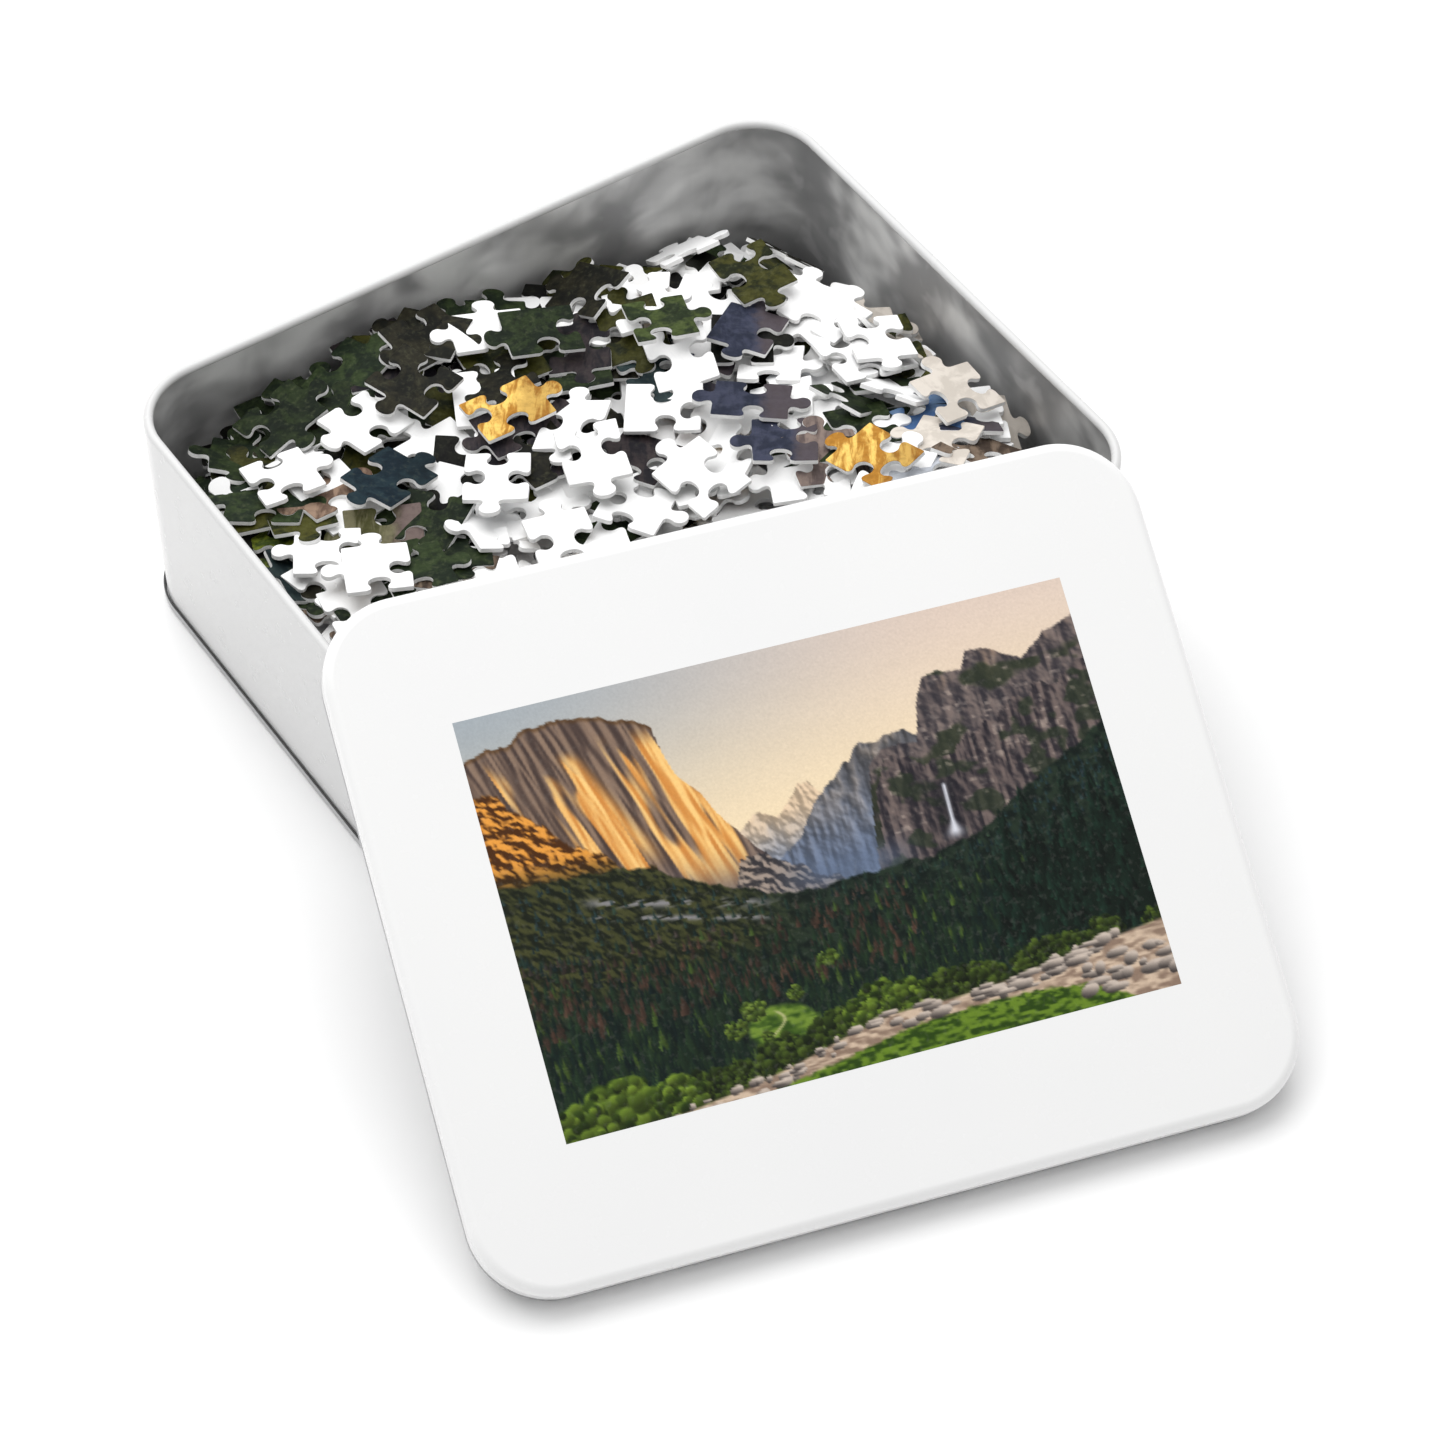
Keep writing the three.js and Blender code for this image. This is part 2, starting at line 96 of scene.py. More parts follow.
class Nodes:
    """A short way to write a node tree."""

    def __init__(self, name):
        self.mat = bpy.data.materials.new(name)
        self.mat.use_nodes = True
        self.t = self.mat.node_tree
        self.t.nodes.clear()
        self.out = self.t.nodes.new("ShaderNodeOutputMaterial")
        self.bsdf = self.t.nodes.new("ShaderNodeBsdfPrincipled")
        self.t.links.new(self.bsdf.outputs[0], self.out.inputs[0])

    def node(self, kind, **props):
        n = self.t.nodes.new(kind)
        for k, v in props.items():
            setattr(n, k, v)
        return n

    def put(self, sock, value):
        if isinstance(value, bpy.types.NodeSocket):
            self.t.links.new(value, sock)
        else:
            sock.default_value = value

    def set(self, **kw):
        names = {"color": "Base Color", "rough": "Roughness", "metal": "Metallic", "normal": "Normal", "coat": "Coat Weight", "coat_rough": "Coat Roughness", "ior": "IOR", "spec": "Specular IOR Level", "aniso": "Anisotropic", "sheen": "Sheen Weight"}
        for k, v in kw.items():
            self.put(self.bsdf.inputs[names[k]], v)

    def coord(self):
        return self.node("ShaderNodeTexCoord").outputs["Object"]

    def attr(self, name, out="Color"):
        return self.node("ShaderNodeAttribute", attribute_name=name).outputs[out]

    def mapping(self, vec, scale=(1, 1, 1), rot=(0, 0, 0), loc=(0, 0, 0)):
        n = self.node("ShaderNodeMapping")
        self.put(n.inputs["Vector"], vec)
        n.inputs["Scale"].default_value = scale
        n.inputs["Rotation"].default_value = rot
        n.inputs["Location"].default_value = loc
        return n.outputs[0]

    def noise(self, vec, scale, detail=3.0, rough=0.5, distort=0.0, out="Fac"):
        n = self.node("ShaderNodeTexNoise")
        self.put(n.inputs["Vector"], vec)
        n.inputs["Scale"].default_value = scale
        n.inputs["Detail"].default_value = detail
        n.inputs["Roughness"].default_value = rough
        n.inputs["Distortion"].default_value = distort
        return n.outputs[out]

    def remap(self, v, a, b, c=0.0, d=1.0, smooth=False):
        n = self.node("ShaderNodeMapRange")
        if smooth:
            n.interpolation_type = "SMOOTHSTEP"
        self.put(n.inputs["Value"], v)
        for k, x in zip(("From Min", "From Max", "To Min", "To Max"), (a, b, c, d)):
            self.put(n.inputs[k], x)
        return n.outputs["Result"]

    def mix(self, fac, a, b, mode="MIX"):
        n = self.node("ShaderNodeMix", data_type="RGBA", blend_type=mode)
        self.put(n.inputs[0], fac)
        self.put(n.inputs[6], a if not isinstance(a, tuple) or len(a) == 4 else a + (1.0,))
        self.put(n.inputs[7], b if not isinstance(b, tuple) or len(b) == 4 else b + (1.0,))
        return n.outputs[2]

    def math(self, op, a, b=0.0):
        n = self.node("ShaderNodeMath", operation=op)
        self.put(n.inputs[0], a)
        self.put(n.inputs[1], b)
        return n.outputs[0]

    def bump(self, height, strength, distance=0.0001, normal=None):
        n = self.node("ShaderNodeBump")
        n.inputs["Strength"].default_value = strength
        n.inputs["Distance"].default_value = distance
        self.put(n.inputs["Height"], height)
        if normal is not None:
            self.put(n.inputs["Normal"], normal)
        return n.outputs[0]


def lin(r, g, b):
    """sRGB 0 to 255 as linear"""
    f = lambda c: c / 12.92 if c <= 0.04045 else ((c + 0.055) / 1.055) ** 2.4
    return (f(r / 255), f(g / 255), f(b / 255))


def lin4(r, g, b):
    return lin(r, g, b) + (1.0,)


# ---- materials -------------------------------------------------------------------
def lacquer(name, tint=(0.80, 0.80, 0.80), rough=0.24):
    """White gloss lacquer rolled onto tinplate: faint orange peel, tiny specks, soft colour drift."""
    n = Nodes(name)
    p = n.coord()
    drift = n.noise(p, 14.0, 2.0)
    a = tuple(c * 0.985 for c in tint) + (1.0,)
    b = (tint[0] * 1.0, tint[1] * 1.0, tint[2] * 0.996, 1.0)
    col = n.mix(n.remap(drift, 0.35, 0.65), a, b)
    speck = n.remap(n.noise(p, 2600.0, 1.0, 0.5), 0.76, 0.80)
    col = n.mix(n.math("MULTIPLY", speck, 0.06), col, (0.62, 0.62, 0.60, 1.0))
    peel = n.noise(p, 900.0, 2.0, 0.45)
    wave = n.noise(p, 60.0, 2.0, 0.5)
    h = n.math("ADD", n.math("MULTIPLY", peel, 0.35), wave)
    n.set(color=col, rough=n.remap(n.noise(p, 180.0, 3.0), 0.3, 0.7, rough - 0.04, rough + 0.07), normal=n.bump(h, 0.012, 0.00012), coat=0.12, coat_rough=0.3, ior=1.45, spec=0.35)
    return n.mat


def tinplate(name, bright=0.95):
    """Bare tinplate: rolled metal gone dull, mottled in clouds, with fine lines along the sheet and blotches of oxide."""
    n = Nodes(name)
    p = n.coord()
    big = n.noise(n.mapping(p, (1.0, 1.0, 1.5)), 27.0, 2.0, 0.5, 0.35)
    cloud = n.noise(n.mapping(p, (1.0, 1.0, 1.3)), 58.0, 2.0, 0.45, 0.4)
    fine = n.noise(n.mapping(p, (700.0, 700.0, 60.0)), 1.0, 2.0, 0.5)
    a = (bright * 0.34, bright * 0.34, bright * 0.345, 1.0)
    b = (bright * 1.0, bright * 1.0, bright * 0.99, 1.0)
    m = n.math("ADD", n.math("MULTIPLY", big, 0.62), n.math("MULTIPLY", cloud, 0.38))
    col = n.mix(n.remap(m, 0.38, 0.62, smooth=True), a, b)
    col = n.mix(n.math("MULTIPLY", fine, 0.10), col, (bright * 0.5, bright * 0.5, bright * 0.5, 1.0))
    blot = n.remap(n.noise(p, 95.0, 2.0, 0.5, 0.3), 0.58, 0.70, 0.0, 0.22)
    col = n.mix(blot, col, (bright, bright, bright, 1.0))
    h = n.math("ADD", n.noise(p, 40.0, 3.0, 0.5), n.math("MULTIPLY", fine, 0.05))
    n.set(color=col, metal=0.25, rough=n.remap(m, 0.4, 0.6, 0.50, 0.36), normal=n.bump(h, 0.40, 0.0022), aniso=0.3)
    return n.mat


def board(name, tint=(0.93, 0.93, 0.928)):
    """Greyboard lined with white paper: paper tooth, stray fibres, a soft drift of colour."""
    n = Nodes(name)
    p = n.coord()
    tooth = n.noise(p, 3200.0, 4.0, 0.65)
    cloud = n.noise(p, 90.0, 3.0, 0.5)
    fibre = n.remap(n.noise(n.mapping(p, (2400.0, 260.0, 1500.0), (0.3, 0.5, 0.9)), 1.0, 2.0, 0.5), 0.66, 0.74)
    col = n.mix(n.remap(cloud, 0.3, 0.7), tuple(c * 0.965 for c in tint) + (1.0,), tint + (1.0,))
    col = n.mix(n.math("MULTIPLY", fibre, 0.16), col, (0.60, 0.59, 0.57, 1.0))
    col = n.mix(n.remap(tooth, 0.35, 0.65, 0.05, 0.0), col, (0.5, 0.5, 0.5, 1.0))
    n.set(color=col, rough=n.remap(cloud, 0.3, 0.7, 0.62, 0.74), normal=n.bump(tooth, 0.25, 0.00006), spec=0.35)
    return n.mat


def cut_edge(name):
    """The die-cut side of the board: layers along the sheet, a little greyer than the lining."""
    n = Nodes(name)
    p = n.attr("pl", "Vector")
    layers = n.noise(n.mapping(p, (0.35, 0.35, 9.0)), 1.0, 3.0, 0.6)
    fuzz = n.noise(n.coord(), 2600.0, 3.0, 0.6)
    col = n.mix(n.remap(layers, 0.35, 0.65), (0.74, 0.738, 0.73, 1.0), (0.92, 0.918, 0.91, 1.0))
    n.set(color=col, rough=0.82, normal=n.bump(n.math("ADD", layers, n.math("MULTIPLY", fuzz, 0.6)), 0.35, 0.00008), spec=0.3)
    return n.mat


def printed(name):
    """Printed and varnished face of a piece: each piece brings its own inks in pa, pb and pc, and its own place on the picture in pl."""
    n = Nodes(name)
    a, b, c = n.attr("pa"), n.attr("pb"), n.attr("pc")
    v = n.attr("pl", "Vector")
    kind = n.node("ShaderNodeSeparateColor")
    n.put(kind.inputs[0], n.attr("pk"))
    streak, split, leaf = kind.outputs[0], kind.outputs[1], kind.outputs[2]
    patch = n.noise(v, 0.16, 4.0, 0.6, 0.5)
    stre = n.noise(n.mapping(v, (0.34, 0.09, 1.0), (0.0, 0.0, 0.35)), 1.0, 4.0, 0.6, 0.5)
    m = n.mix(streak, patch, stre)
    m = n.remap(m, 0.42, 0.58, smooth=True)
    col = n.mix(m, a, b)
    # a third ink comes in past a broken line across the piece
    sep = n.node("ShaderNodeSeparateXYZ")
    n.put(sep.inputs[0], v)
    line = n.math("ADD", sep.outputs[0], n.math("MULTIPLY", n.math("SUBTRACT", n.noise(v, 0.35, 3.0, 0.6), 0.5), 5.0))
    past = n.remap(line, 0.6, 4.6, smooth=True)
    col = n.mix(n.math("MULTIPLY", past, split), col, c)
    # leaves, rock and grain: fine light and dark
    foliage = n.noise(v, 0.62, 4.0, 0.62, 0.4)
    dark = n.remap(foliage, 0.34, 0.52, 0.55, 0.96)
    light = n.remap(foliage, 0.54, 0.74, 0.0, 0.34)
    shade = n.mix(n.math("MULTIPLY", leaf, 0.95), (1, 1, 1, 1), dark)
    col = n.mix(1.0, col, shade, "MULTIPLY")
    col = n.mix(n.math("MULTIPLY", light, leaf), col, n.mix(0.32, b, (0.26, 0.27, 0.15, 1.0)))
    n.set(color=col, rough=n.remap(n.noise(n.coord(), 400.0, 3.0), 0.3, 0.7, 0.50, 0.64), normal=n.bump(n.math("ADD", n.noise(n.coord(), 1300.0, 3.0, 0.6), n.math("MULTIPLY", n.noise(n.coord(), 120.0, 2.0), 0.7)), 0.22, 0.0001), spec=0.09)
    return n.mat


def raw_edge(name, tone):
    """The bare rolled edge of the sheet: grey metal, drawn smooth, a little duller in patches. With a very low tone it
    serves as near-black painted shade for recesses.
    """
    n = Nodes(name)
    p = n.coord()
    cloud = n.noise(p, 45.0, 3.0, 0.5)
    line = n.noise(n.mapping(p, (90.0, 90.0, 2600.0)), 1.0, 2.0, 0.5)
    col = n.mix(n.remap(cloud, 0.3, 0.7), (tone * 0.8, tone * 0.8, tone * 0.82, 1.0), (tone * 1.25, tone * 1.25, tone * 1.26, 1.0))
    n.set(color=col, metal=0.7, rough=n.remap(cloud, 0.3, 0.7, 0.26, 0.40), normal=n.bump(line, 0.12, 0.0001))
    return n.mat


M_BEAD = raw_edge("rolled_edge", 0.42)
# tone 0.05: near-black painted shade for the recess above the lid's bead and for the line over the base seam
M_PAINTED_SHADE_GAP = raw_edge("edge_recess_painted_shade", 0.05)
# the tin's white lacquer is tinted darker than the lid's (0.655 against 0.845): painted shade for its upright walls
M_TIN_WHITE_PAINTED_SHADE = lacquer("tin_white", (0.655, 0.655, 0.655), 0.22)
M_LID = lacquer("lid_white", (0.845, 0.845, 0.845), 0.23)
M_TIN = tinplate("tinplate")
M_BOARD = board("board_back")
M_EDGE = cut_edge("board_edge")
M_PRINT = printed("board_print")

# ---- swept sheet metal -------------------------------------------------------------
ARC = 20


def ring(hx, hy, r, d):
    """plan points and outward directions of a rounded rectangle inset by d"""
    rr = max(r - d, 0.6)
    cx, cy = hx - d - rr, hy - d - rr
    pts, out = [], []
    for q in range(4):
        sx, sy = (1 if q in (0, 3) else -1), (1 if q < 2 else -1)
        for k in range(ARC + 1):
            a = (q + k / ARC) * math.pi / 2
            pts.append((sx * cx + rr * math.cos(a), sy * cy + rr * math.sin(a)))
            out.append((math.cos(a), math.sin(a)))
    return np.array(pts), np.array(out)


def fillet(pts, r, steps=4, closed=True):
    """rounds the corners of a profile, r long along each side at most"""
    pts = [np.array(p, float) for p in pts]
    n, res = len(pts), []
    for i, p in enumerate(pts):
        if not closed and i in (0, n - 1):
            res.append(p)
            continue
        a, b = pts[i - 1] - p, pts[(i + 1) % n] - p
        la, lb = np.linalg.norm(a), np.linalg.norm(b)
        d = min(r, 0.45 * la, 0.45 * lb)
        if abs(a[0] * b[1] - a[1] * b[0]) < 0.02 * la * lb:
            res.append(p)
            continue
        p1, p2 = p + a / la * d, p + b / lb * d
        for k in range(steps + 1):
            t = k / steps
            res.append((1 - t) ** 2 * p1 + 2 * t * (1 - t) * p + t * t * p2)
    return res


def sweep(name, hx, hy, r, profile, capped, mats, mat_of, place=None):
    prof = np.array(profile, float)
    m = len(prof)
    poly = prof if not capped else np.vstack([prof, [[hx, prof[-1][1]], [hx, prof[0][1]]]])
    x, y = poly[:, 0], poly[:, 1]
    area = 0.5 * np.sum(x * np.roll(y, -1) - np.roll(x, -1) * y)
    s = 1.0 if area > 0 else -1.0
    seg = poly[(np.arange(len(poly)) + 1) % len(poly)] - poly
    length = np.linalg.norm(seg, axis=1)
    sn = s * np.stack([seg[:, 1], -seg[:, 0]], 1)               # already weighted by length
    pn = []
    for i in range(m):
        prev = (i - 1) % len(poly)
        w = sn[i] * length[i] + sn[prev] * length[prev]
        pn.append(w / (np.linalg.norm(w) + 1e-12))
    verts, normals = [], []
    n = 4 * (ARC + 1)
    for (d, z), (ni, nz) in zip(prof, pn):
        p, o = ring(hx, hy, r, d)
        for (px, py), (ox, oy) in zip(p, o):
            verts.append((px, py, z))
            normals.append((-ni * ox, -ni * oy, nz))
    faces, fm = [], []
    rows = m - 1 if capped else m
    for i in range(rows):
        a, b = i * n, ((i + 1) % m) * n
        for k in range(n):
            k2 = (k + 1) % n
            faces.append((a + k, a + k2, b + k2, b + k))
            fm.append(mat_of(0.5 * (prof[i] + prof[(i + 1) % m]), pn[i]))
    if capped:
        faces.append(tuple(range(n)))
        fm.append(mat_of(np.array([30.0, prof[0][1]]), pn[0]))
        faces.append(tuple((m - 1) * n + k for k in reversed(range(n))))
        fm.append(mat_of(np.array([30.0, prof[-1][1]]), pn[-1]))
    V, N = np.array(verts), np.array(normals)
    # faces turned to agree with the normals
    f0 = faces[0]
    e = np.cross(V[f0[1]] - V[f0[0]], V[f0[2]] - V[f0[1]])
    if np.dot(e, N[f0[0]] + N[f0[2]]) < 0:
        faces = [tuple(reversed(f)) for f in faces]
    if capped:                                                   # and the two flat panels each on their own
        for j in (len(faces) - 2, len(faces) - 1):
            q = V[list(faces[j])]
            newell = np.cross(q - q.mean(0), np.roll(q, -1, 0) - q.mean(0)).sum(0)
            if np.dot(newell, N[faces[j][0]]) < 0:
                faces[j] = tuple(reversed(faces[j]))
    if place is not None:
        R, T = place
        V, N = V @ R.T + T, N @ R.T
    return mesh_object(name, V * MM, faces, mats, fm, True, N)


HX, HY, TIN_R, TIN_H = 100.0, 82.765, 19.87, 63.11
WALL, RIM_R, FOOT = 0.45, 1.28, 1.22
zc = TIN_H - RIM_R
prof = [(0.0, FOOT), (0.0, 3.2), (0.0, 12.0), (0.0, 30.0), (0.0, 48.0), (0.0, zc - 0.3), (0.0, zc)]
for k in range(1, 29):
    a = math.pi - k * math.pi * 1.25 / 28
    prof.append((RIM_R + RIM_R * math.cos(a), zc + RIM_R * math.sin(a)))
prof += [(RIM_R * 1.2, zc - RIM_R * 0.985), (RIM_R * 0.8, zc - RIM_R * 0.985), (WALL + 0.05, zc - RIM_R * 0.9), (WALL, zc - RIM_R * 1.15), (WALL, zc - 3.0), (WALL, 48.0), (WALL, 30.0), (WALL, 12.0), (WALL, FOOT)]


def wall_mat(p, nrm):
    return 1 if p[0] >= WALL - 0.01 and p[1] < zc - 0.75 and p[0] < RIM_R * 1.05 and (p[1] < zc - RIM_R * 0.9) else 0


wall = sweep("tin_wall_sheet", HX, HY, TIN_R, prof, False, [M_TIN_WHITE_PAINTED_SHADE, M_TIN], wall_mat)
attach(wall, "tin")
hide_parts("tin_wall")

s_, g_ = -0.85, -0.32
base_prof = [(9.2, 0.55), (8.2, 0.6), (7.0, 1.15), (4.2, 1.15), (3.2, 0.9), (WALL + 0.82, 0.9), (g_, 0.9), (g_, 2.75), (g_ - 0.12, 3.0), (s_ + 0.15, 2.95), (s_, 2.65), (s_, 0.45), (s_ + 0.35, 0.06), (s_ + 0.7, 0.0), (3.4, 0.0), (4.4, 0.55), (6.8, 0.55), (7.8, 0.0), (9.2, 0.0)]
base_prof = fillet(base_prof, 0.22, 3, False)
# material 2, the upward face at the top of the seam's outer skirt, is near-black painted shade: a dark line above the
# seam
base = sweep("tin_base_pan", HX, HY, TIN_R, base_prof, True, [M_BEAD, M_TIN, M_PAINTED_SHADE_GAP], lambda p, nrm: 1 if p[0] > 3.3 and p[1] > 0.3 and nrm[1] > 0 else (2 if nrm[1] > 0.35 and p[0] < 0.0 and p[1] > 2.3 else 0))
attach(base, "tin")
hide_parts("tin_base")

# ---- the lid -----------------------------------------------------------------------
LX, LY, LID_R, LID_H, LT, EDGE = HX + 0.41, HY + 0.41, 19.5, 9.97, 0.5, 2.7
LID_ROT = rz(-0.2823) @ rx(0.5011)
LID_POS = np.array([-30.785, -123.194, 40.0185])
prof = [(EDGE + 3.0, LID_H)]
for k in range(0, 17):
    a = math.pi / 2 + k * math.pi / 32
    prof.append((EDGE + EDGE * math.cos(a), LID_H - EDGE + EDGE * math.sin(a)))
low = [(0.0, 4.6), (0.0, 2.35), (0.34, 2.1), (0.34, 1.75), (0.1, 1.5), (-0.06, 1.1), (-0.06, 0.5), (0.12, 0.12), (0.5, 0.0), (0.95, 0.12), (1.14, 0.5), (1.14, 1.1), (0.9, 1.55), (0.84, 2.3), (LT, 2.6), (LT, 5.0)]
prof += [tuple(v) for v in fillet(low, 0.3, 3, False)]
for k in range(0, 9):
    a = math.pi - k * math.pi / 16
    prof.append((EDGE + (EDGE - LT) * math.cos(a), LID_H - EDGE + (EDGE - LT) * math.sin(a)))
prof.append((EDGE + 3.0, LID_H - LT))


def lid_mat(p, nrm):
    """bare metal inside, lacquer outside, bare rolled metal on the bead, and near-black painted shade on the recess
    just above the bead
    """
    if p[0] > 0.42 and p[1] > 1.6 and nrm[0] - nrm[1] > 0:
        return 1
    return 0 if p[1] > 2.3 else (3 if p[1] > 1.42 and p[0] < 0.42 else 2)


lid = sweep("lid_shell", LX, LY, LID_R, prof, True, [M_LID, M_TIN, M_BEAD, M_PAINTED_SHADE_GAP], lid_mat, (LID_ROT, LID_POS))
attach(lid, "lid")
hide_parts("lid")

# ---- a made-up mountain valley, painted in code --------------------------------
def value_noise(shape, cell, rng):
    h, w = shape
    gh, gw = int(h / cell[0]) + 3, int(w / cell[1]) + 3
    g = rng.random((gh, gw))
    y = np.arange(h) / cell[0]; x = np.arange(w) / cell[1]
    yi, xi = y.astype(int), x.astype(int)
    fy, fx = y - yi, x - xi
    fy = fy * fy * (3 - 2 * fy); fx = fx * fx * (3 - 2 * fx)
    a = g[np.ix_(yi, xi)]; b = g[np.ix_(yi, xi + 1)]; c = g[np.ix_(yi + 1, xi)]; d = g[np.ix_(yi + 1, xi + 1)]
    top = a + (b - a) * fx[None, :]; bot = c + (d - c) * fx[None, :]
    return top + (bot - top) * fy[:, None]
def fbm(shape, cell, rng, octaves=5, gain=0.55):
    out = np.zeros(shape); amp = 1.0; tot = 0.0; c = list(cell)
    for _ in range(octaves):
        if min(c) < 0.9: break
        out += amp * value_noise(shape, c, rng); tot += amp; amp *= gain; c = [v / 2 for v in c]
    return out / tot
def mix(a, b, t):
    return a + (b - a) * t
def paint(W, H, seed=5):
    rng = np.random.default_rng(seed)
    s = W / 500.0
    u = (np.arange(W) + 0.5)[None, :] / W * np.ones((H, 1)); v = (np.arange(H) + 0.5)[:, None] / H * np.ones((1, W))
    xs = (np.arange(W) + 0.5) / W
    C = lambda *c: np.array(c, float) / 255.0
    sm = lambda a, b, x: np.clip((x - a) / (b - a), 0, 1) ** 2 * (3 - 2 * np.clip((x - a) / (b - a), 0, 1))
    F = lambda cell, o: fbm((H, W), cell, rng, o)
    t = sm(-0.05, 0.46, v + 0.06 * (u - 0.5))[..., None]
    img = mix(mix(C(170, 178, 184), C(224, 206, 194), sm(0.0, 0.85, u)[..., None]), C(247, 226, 190), t)
    img = img + (F((18 * s, 90 * s), 3)[..., None] - 0.5) * 0.014

    def curve(px, py, rough, cell):
        base = np.interp(xs, px, py)
        k = [fbm((1, W), (1.0, max(cell * s / d, 1.2)), rng, 1)[0] - 0.5 for d in (1, 3, 8)]
        return base + rough * (k[0] + 0.5 * k[1] + 0.25 * k[2])

    def over(mask, col):
        nonlocal img
        m = np.clip(mask, 0, 1)[..., None]
        img = img * (1 - m) + col * m

    edge = lambda top, soft=1.0: np.clip((v - top[None, :]) * H / soft + 0.5, 0, 1)

    def relief(n, angle=2.2, k=26.0, soft=0.55):
        """light from one side over a noise field, so that rock looks cut, not striped"""
        gy, gx = np.gradient(n)
        g = (gx * math.cos(angle) + gy * math.sin(angle)) * k * soft * (W / 384.0)
        return 0.5 + 0.5 * np.tanh(2.0 * g)

    # far peaks, pale and warm
    far = curve([0.34, 0.38, 0.42, 0.455, 0.49, 0.515, 0.535, 0.57, 0.62, 0.70], [0.47, 0.40, 0.375, 0.385, 0.335, 0.325, 0.36, 0.40, 0.45, 0.5], 0.022, 12)
    f = F((10 * s, 7 * s), 4)
    over(edge(far) * (u > 0.36) * (u < 0.66), mix(C(206, 184, 158), C(132, 140, 156), sm(0.34, 0.50, v - 0.05 * f)[..., None]) * (0.82 + 0.34 * relief(f))[..., None])
    # hazy blue ridge
    midr = curve([0.40, 0.44, 0.48, 0.52, 0.56, 0.60, 0.64, 0.68, 0.74], [0.56, 0.50, 0.45, 0.37, 0.325, 0.285, 0.262, 0.27, 0.30], 0.022, 16)
    f = 0.5 * F((34 * s, 7 * s), 4) + 0.5 * F((14 * s, 14 * s), 4)
    hz = sm(0.28, 0.56, v)[..., None]
    over(edge(midr) * (u > 0.42) * (u < 0.72), mix(mix(C(92, 92, 96), C(150, 140, 132), sm(0.4, 0.65, f)[..., None]), C(106, 118, 140), hz) * (0.74 + 0.5 * relief(f, 2.6, 22))[..., None])
    # far wall on the right, broad and rounded
    r1 = curve([0.585, 0.60, 0.615, 0.64, 0.70, 0.715, 0.735, 0.76, 0.80, 0.815, 0.85, 0.90, 0.915, 0.945, 1.0], [0.60, 0.45, 0.335, 0.295, 0.30, 0.22, 0.165, 0.145, 0.16, 0.115, 0.125, 0.175, 0.155, 0.115, 0.095], 0.014, 14)
    big = F((46 * s, 40 * s), 3)
    rocks = 0.45 * big + 0.30 * F((40 * s, 9 * s), 4) + 0.25 * F((12 * s, 12 * s), 4)
    rl = relief(rocks, 2.5, 24)
    rock = mix(C(58, 55, 62), C(144, 129, 123), sm(0.0, 1.0, rl)[..., None])
    rock = mix(rock, C(178, 150, 126), (sm(0.58, 0.72, rocks) * rl)[..., None] * 0.6)
    rock = mix(rock, C(50, 60, 42), (sm(0.56, 0.66, F((20 * s, 34 * s), 3)) * 0.75)[..., None])
    over(edge(r1) * (u > 0.58), rock * (0.96 - 0.16 * sm(0.3, 0.55, v))[..., None])
    # nearer buttress
    r2 = curve([0.60, 0.615, 0.64, 0.68, 0.71, 0.75, 0.79, 0.83, 0.88, 0.94, 1.0], [0.58, 0.40, 0.325, 0.33, 0.36, 0.345, 0.30, 0.30, 0.25, 0.235, 0.20], 0.024, 12)
    rocks = 0.4 * F((36 * s, 30 * s), 3) + 0.35 * F((40 * s, 6 * s), 4) + 0.25 * F((9 * s, 8 * s), 4)
    rl = relief(rocks, 2.7, 22)
    rock = mix(C(46, 43, 50), C(124, 110, 106), sm(0.0, 1.0, rl)[..., None])
    rock = mix(rock, C(44, 56, 40), (sm(0.55, 0.64, F((16 * s, 22 * s), 3)) * 0.7)[..., None])
    over(edge(r2) * (u > 0.595), rock)
    led = sm(0.66, 0.78, F((4 * s, 7 * s), 3)) * edge(r1) * (u > 0.62) * (v < 0.50) * rl
    over(led * 0.55, C(196, 180, 168))
    # thin waterfall
    wx = 0.722 - 0.02 * (v - 0.42)
    body = sm(0.405, 0.415, v) * sm(0.55, 0.52, v)
    over(np.exp(-((u - wx) / 0.020) ** 2) * sm(0.39, 0.41, v) * sm(0.56, 0.50, v) * 0.75, C(30, 30, 38))
    over(np.exp(-((u - wx) / (0.0030 + 0.011 * sm(0.49, 0.54, v))) ** 2) * body * 0.95, C(232, 234, 242))
    # left wall: shade, with golden light raking down its ribs
    l1 = curve([0.0, 0.04, 0.07, 0.11, 0.16, 0.20, 0.25, 0.298, 0.305, 0.315, 0.345, 0.372, 0.405, 0.44, 0.48, 0.52], [0.10, 0.075, 0.082, 0.055, 0.05, 0.062, 0.085, 0.115, 0.18, 0.235, 0.29, 0.37, 0.44, 0.50, 0.545, 0.60], 0.012, 12)

    def slant(arr, amount):
        out = []
        for y in range(H):
            k = int(amount * y)
            t = amount * y - k
            out.append(np.roll(arr[y], k) * (1 - t) + np.roll(arr[y], k + 1) * t)
        return np.stack(out)

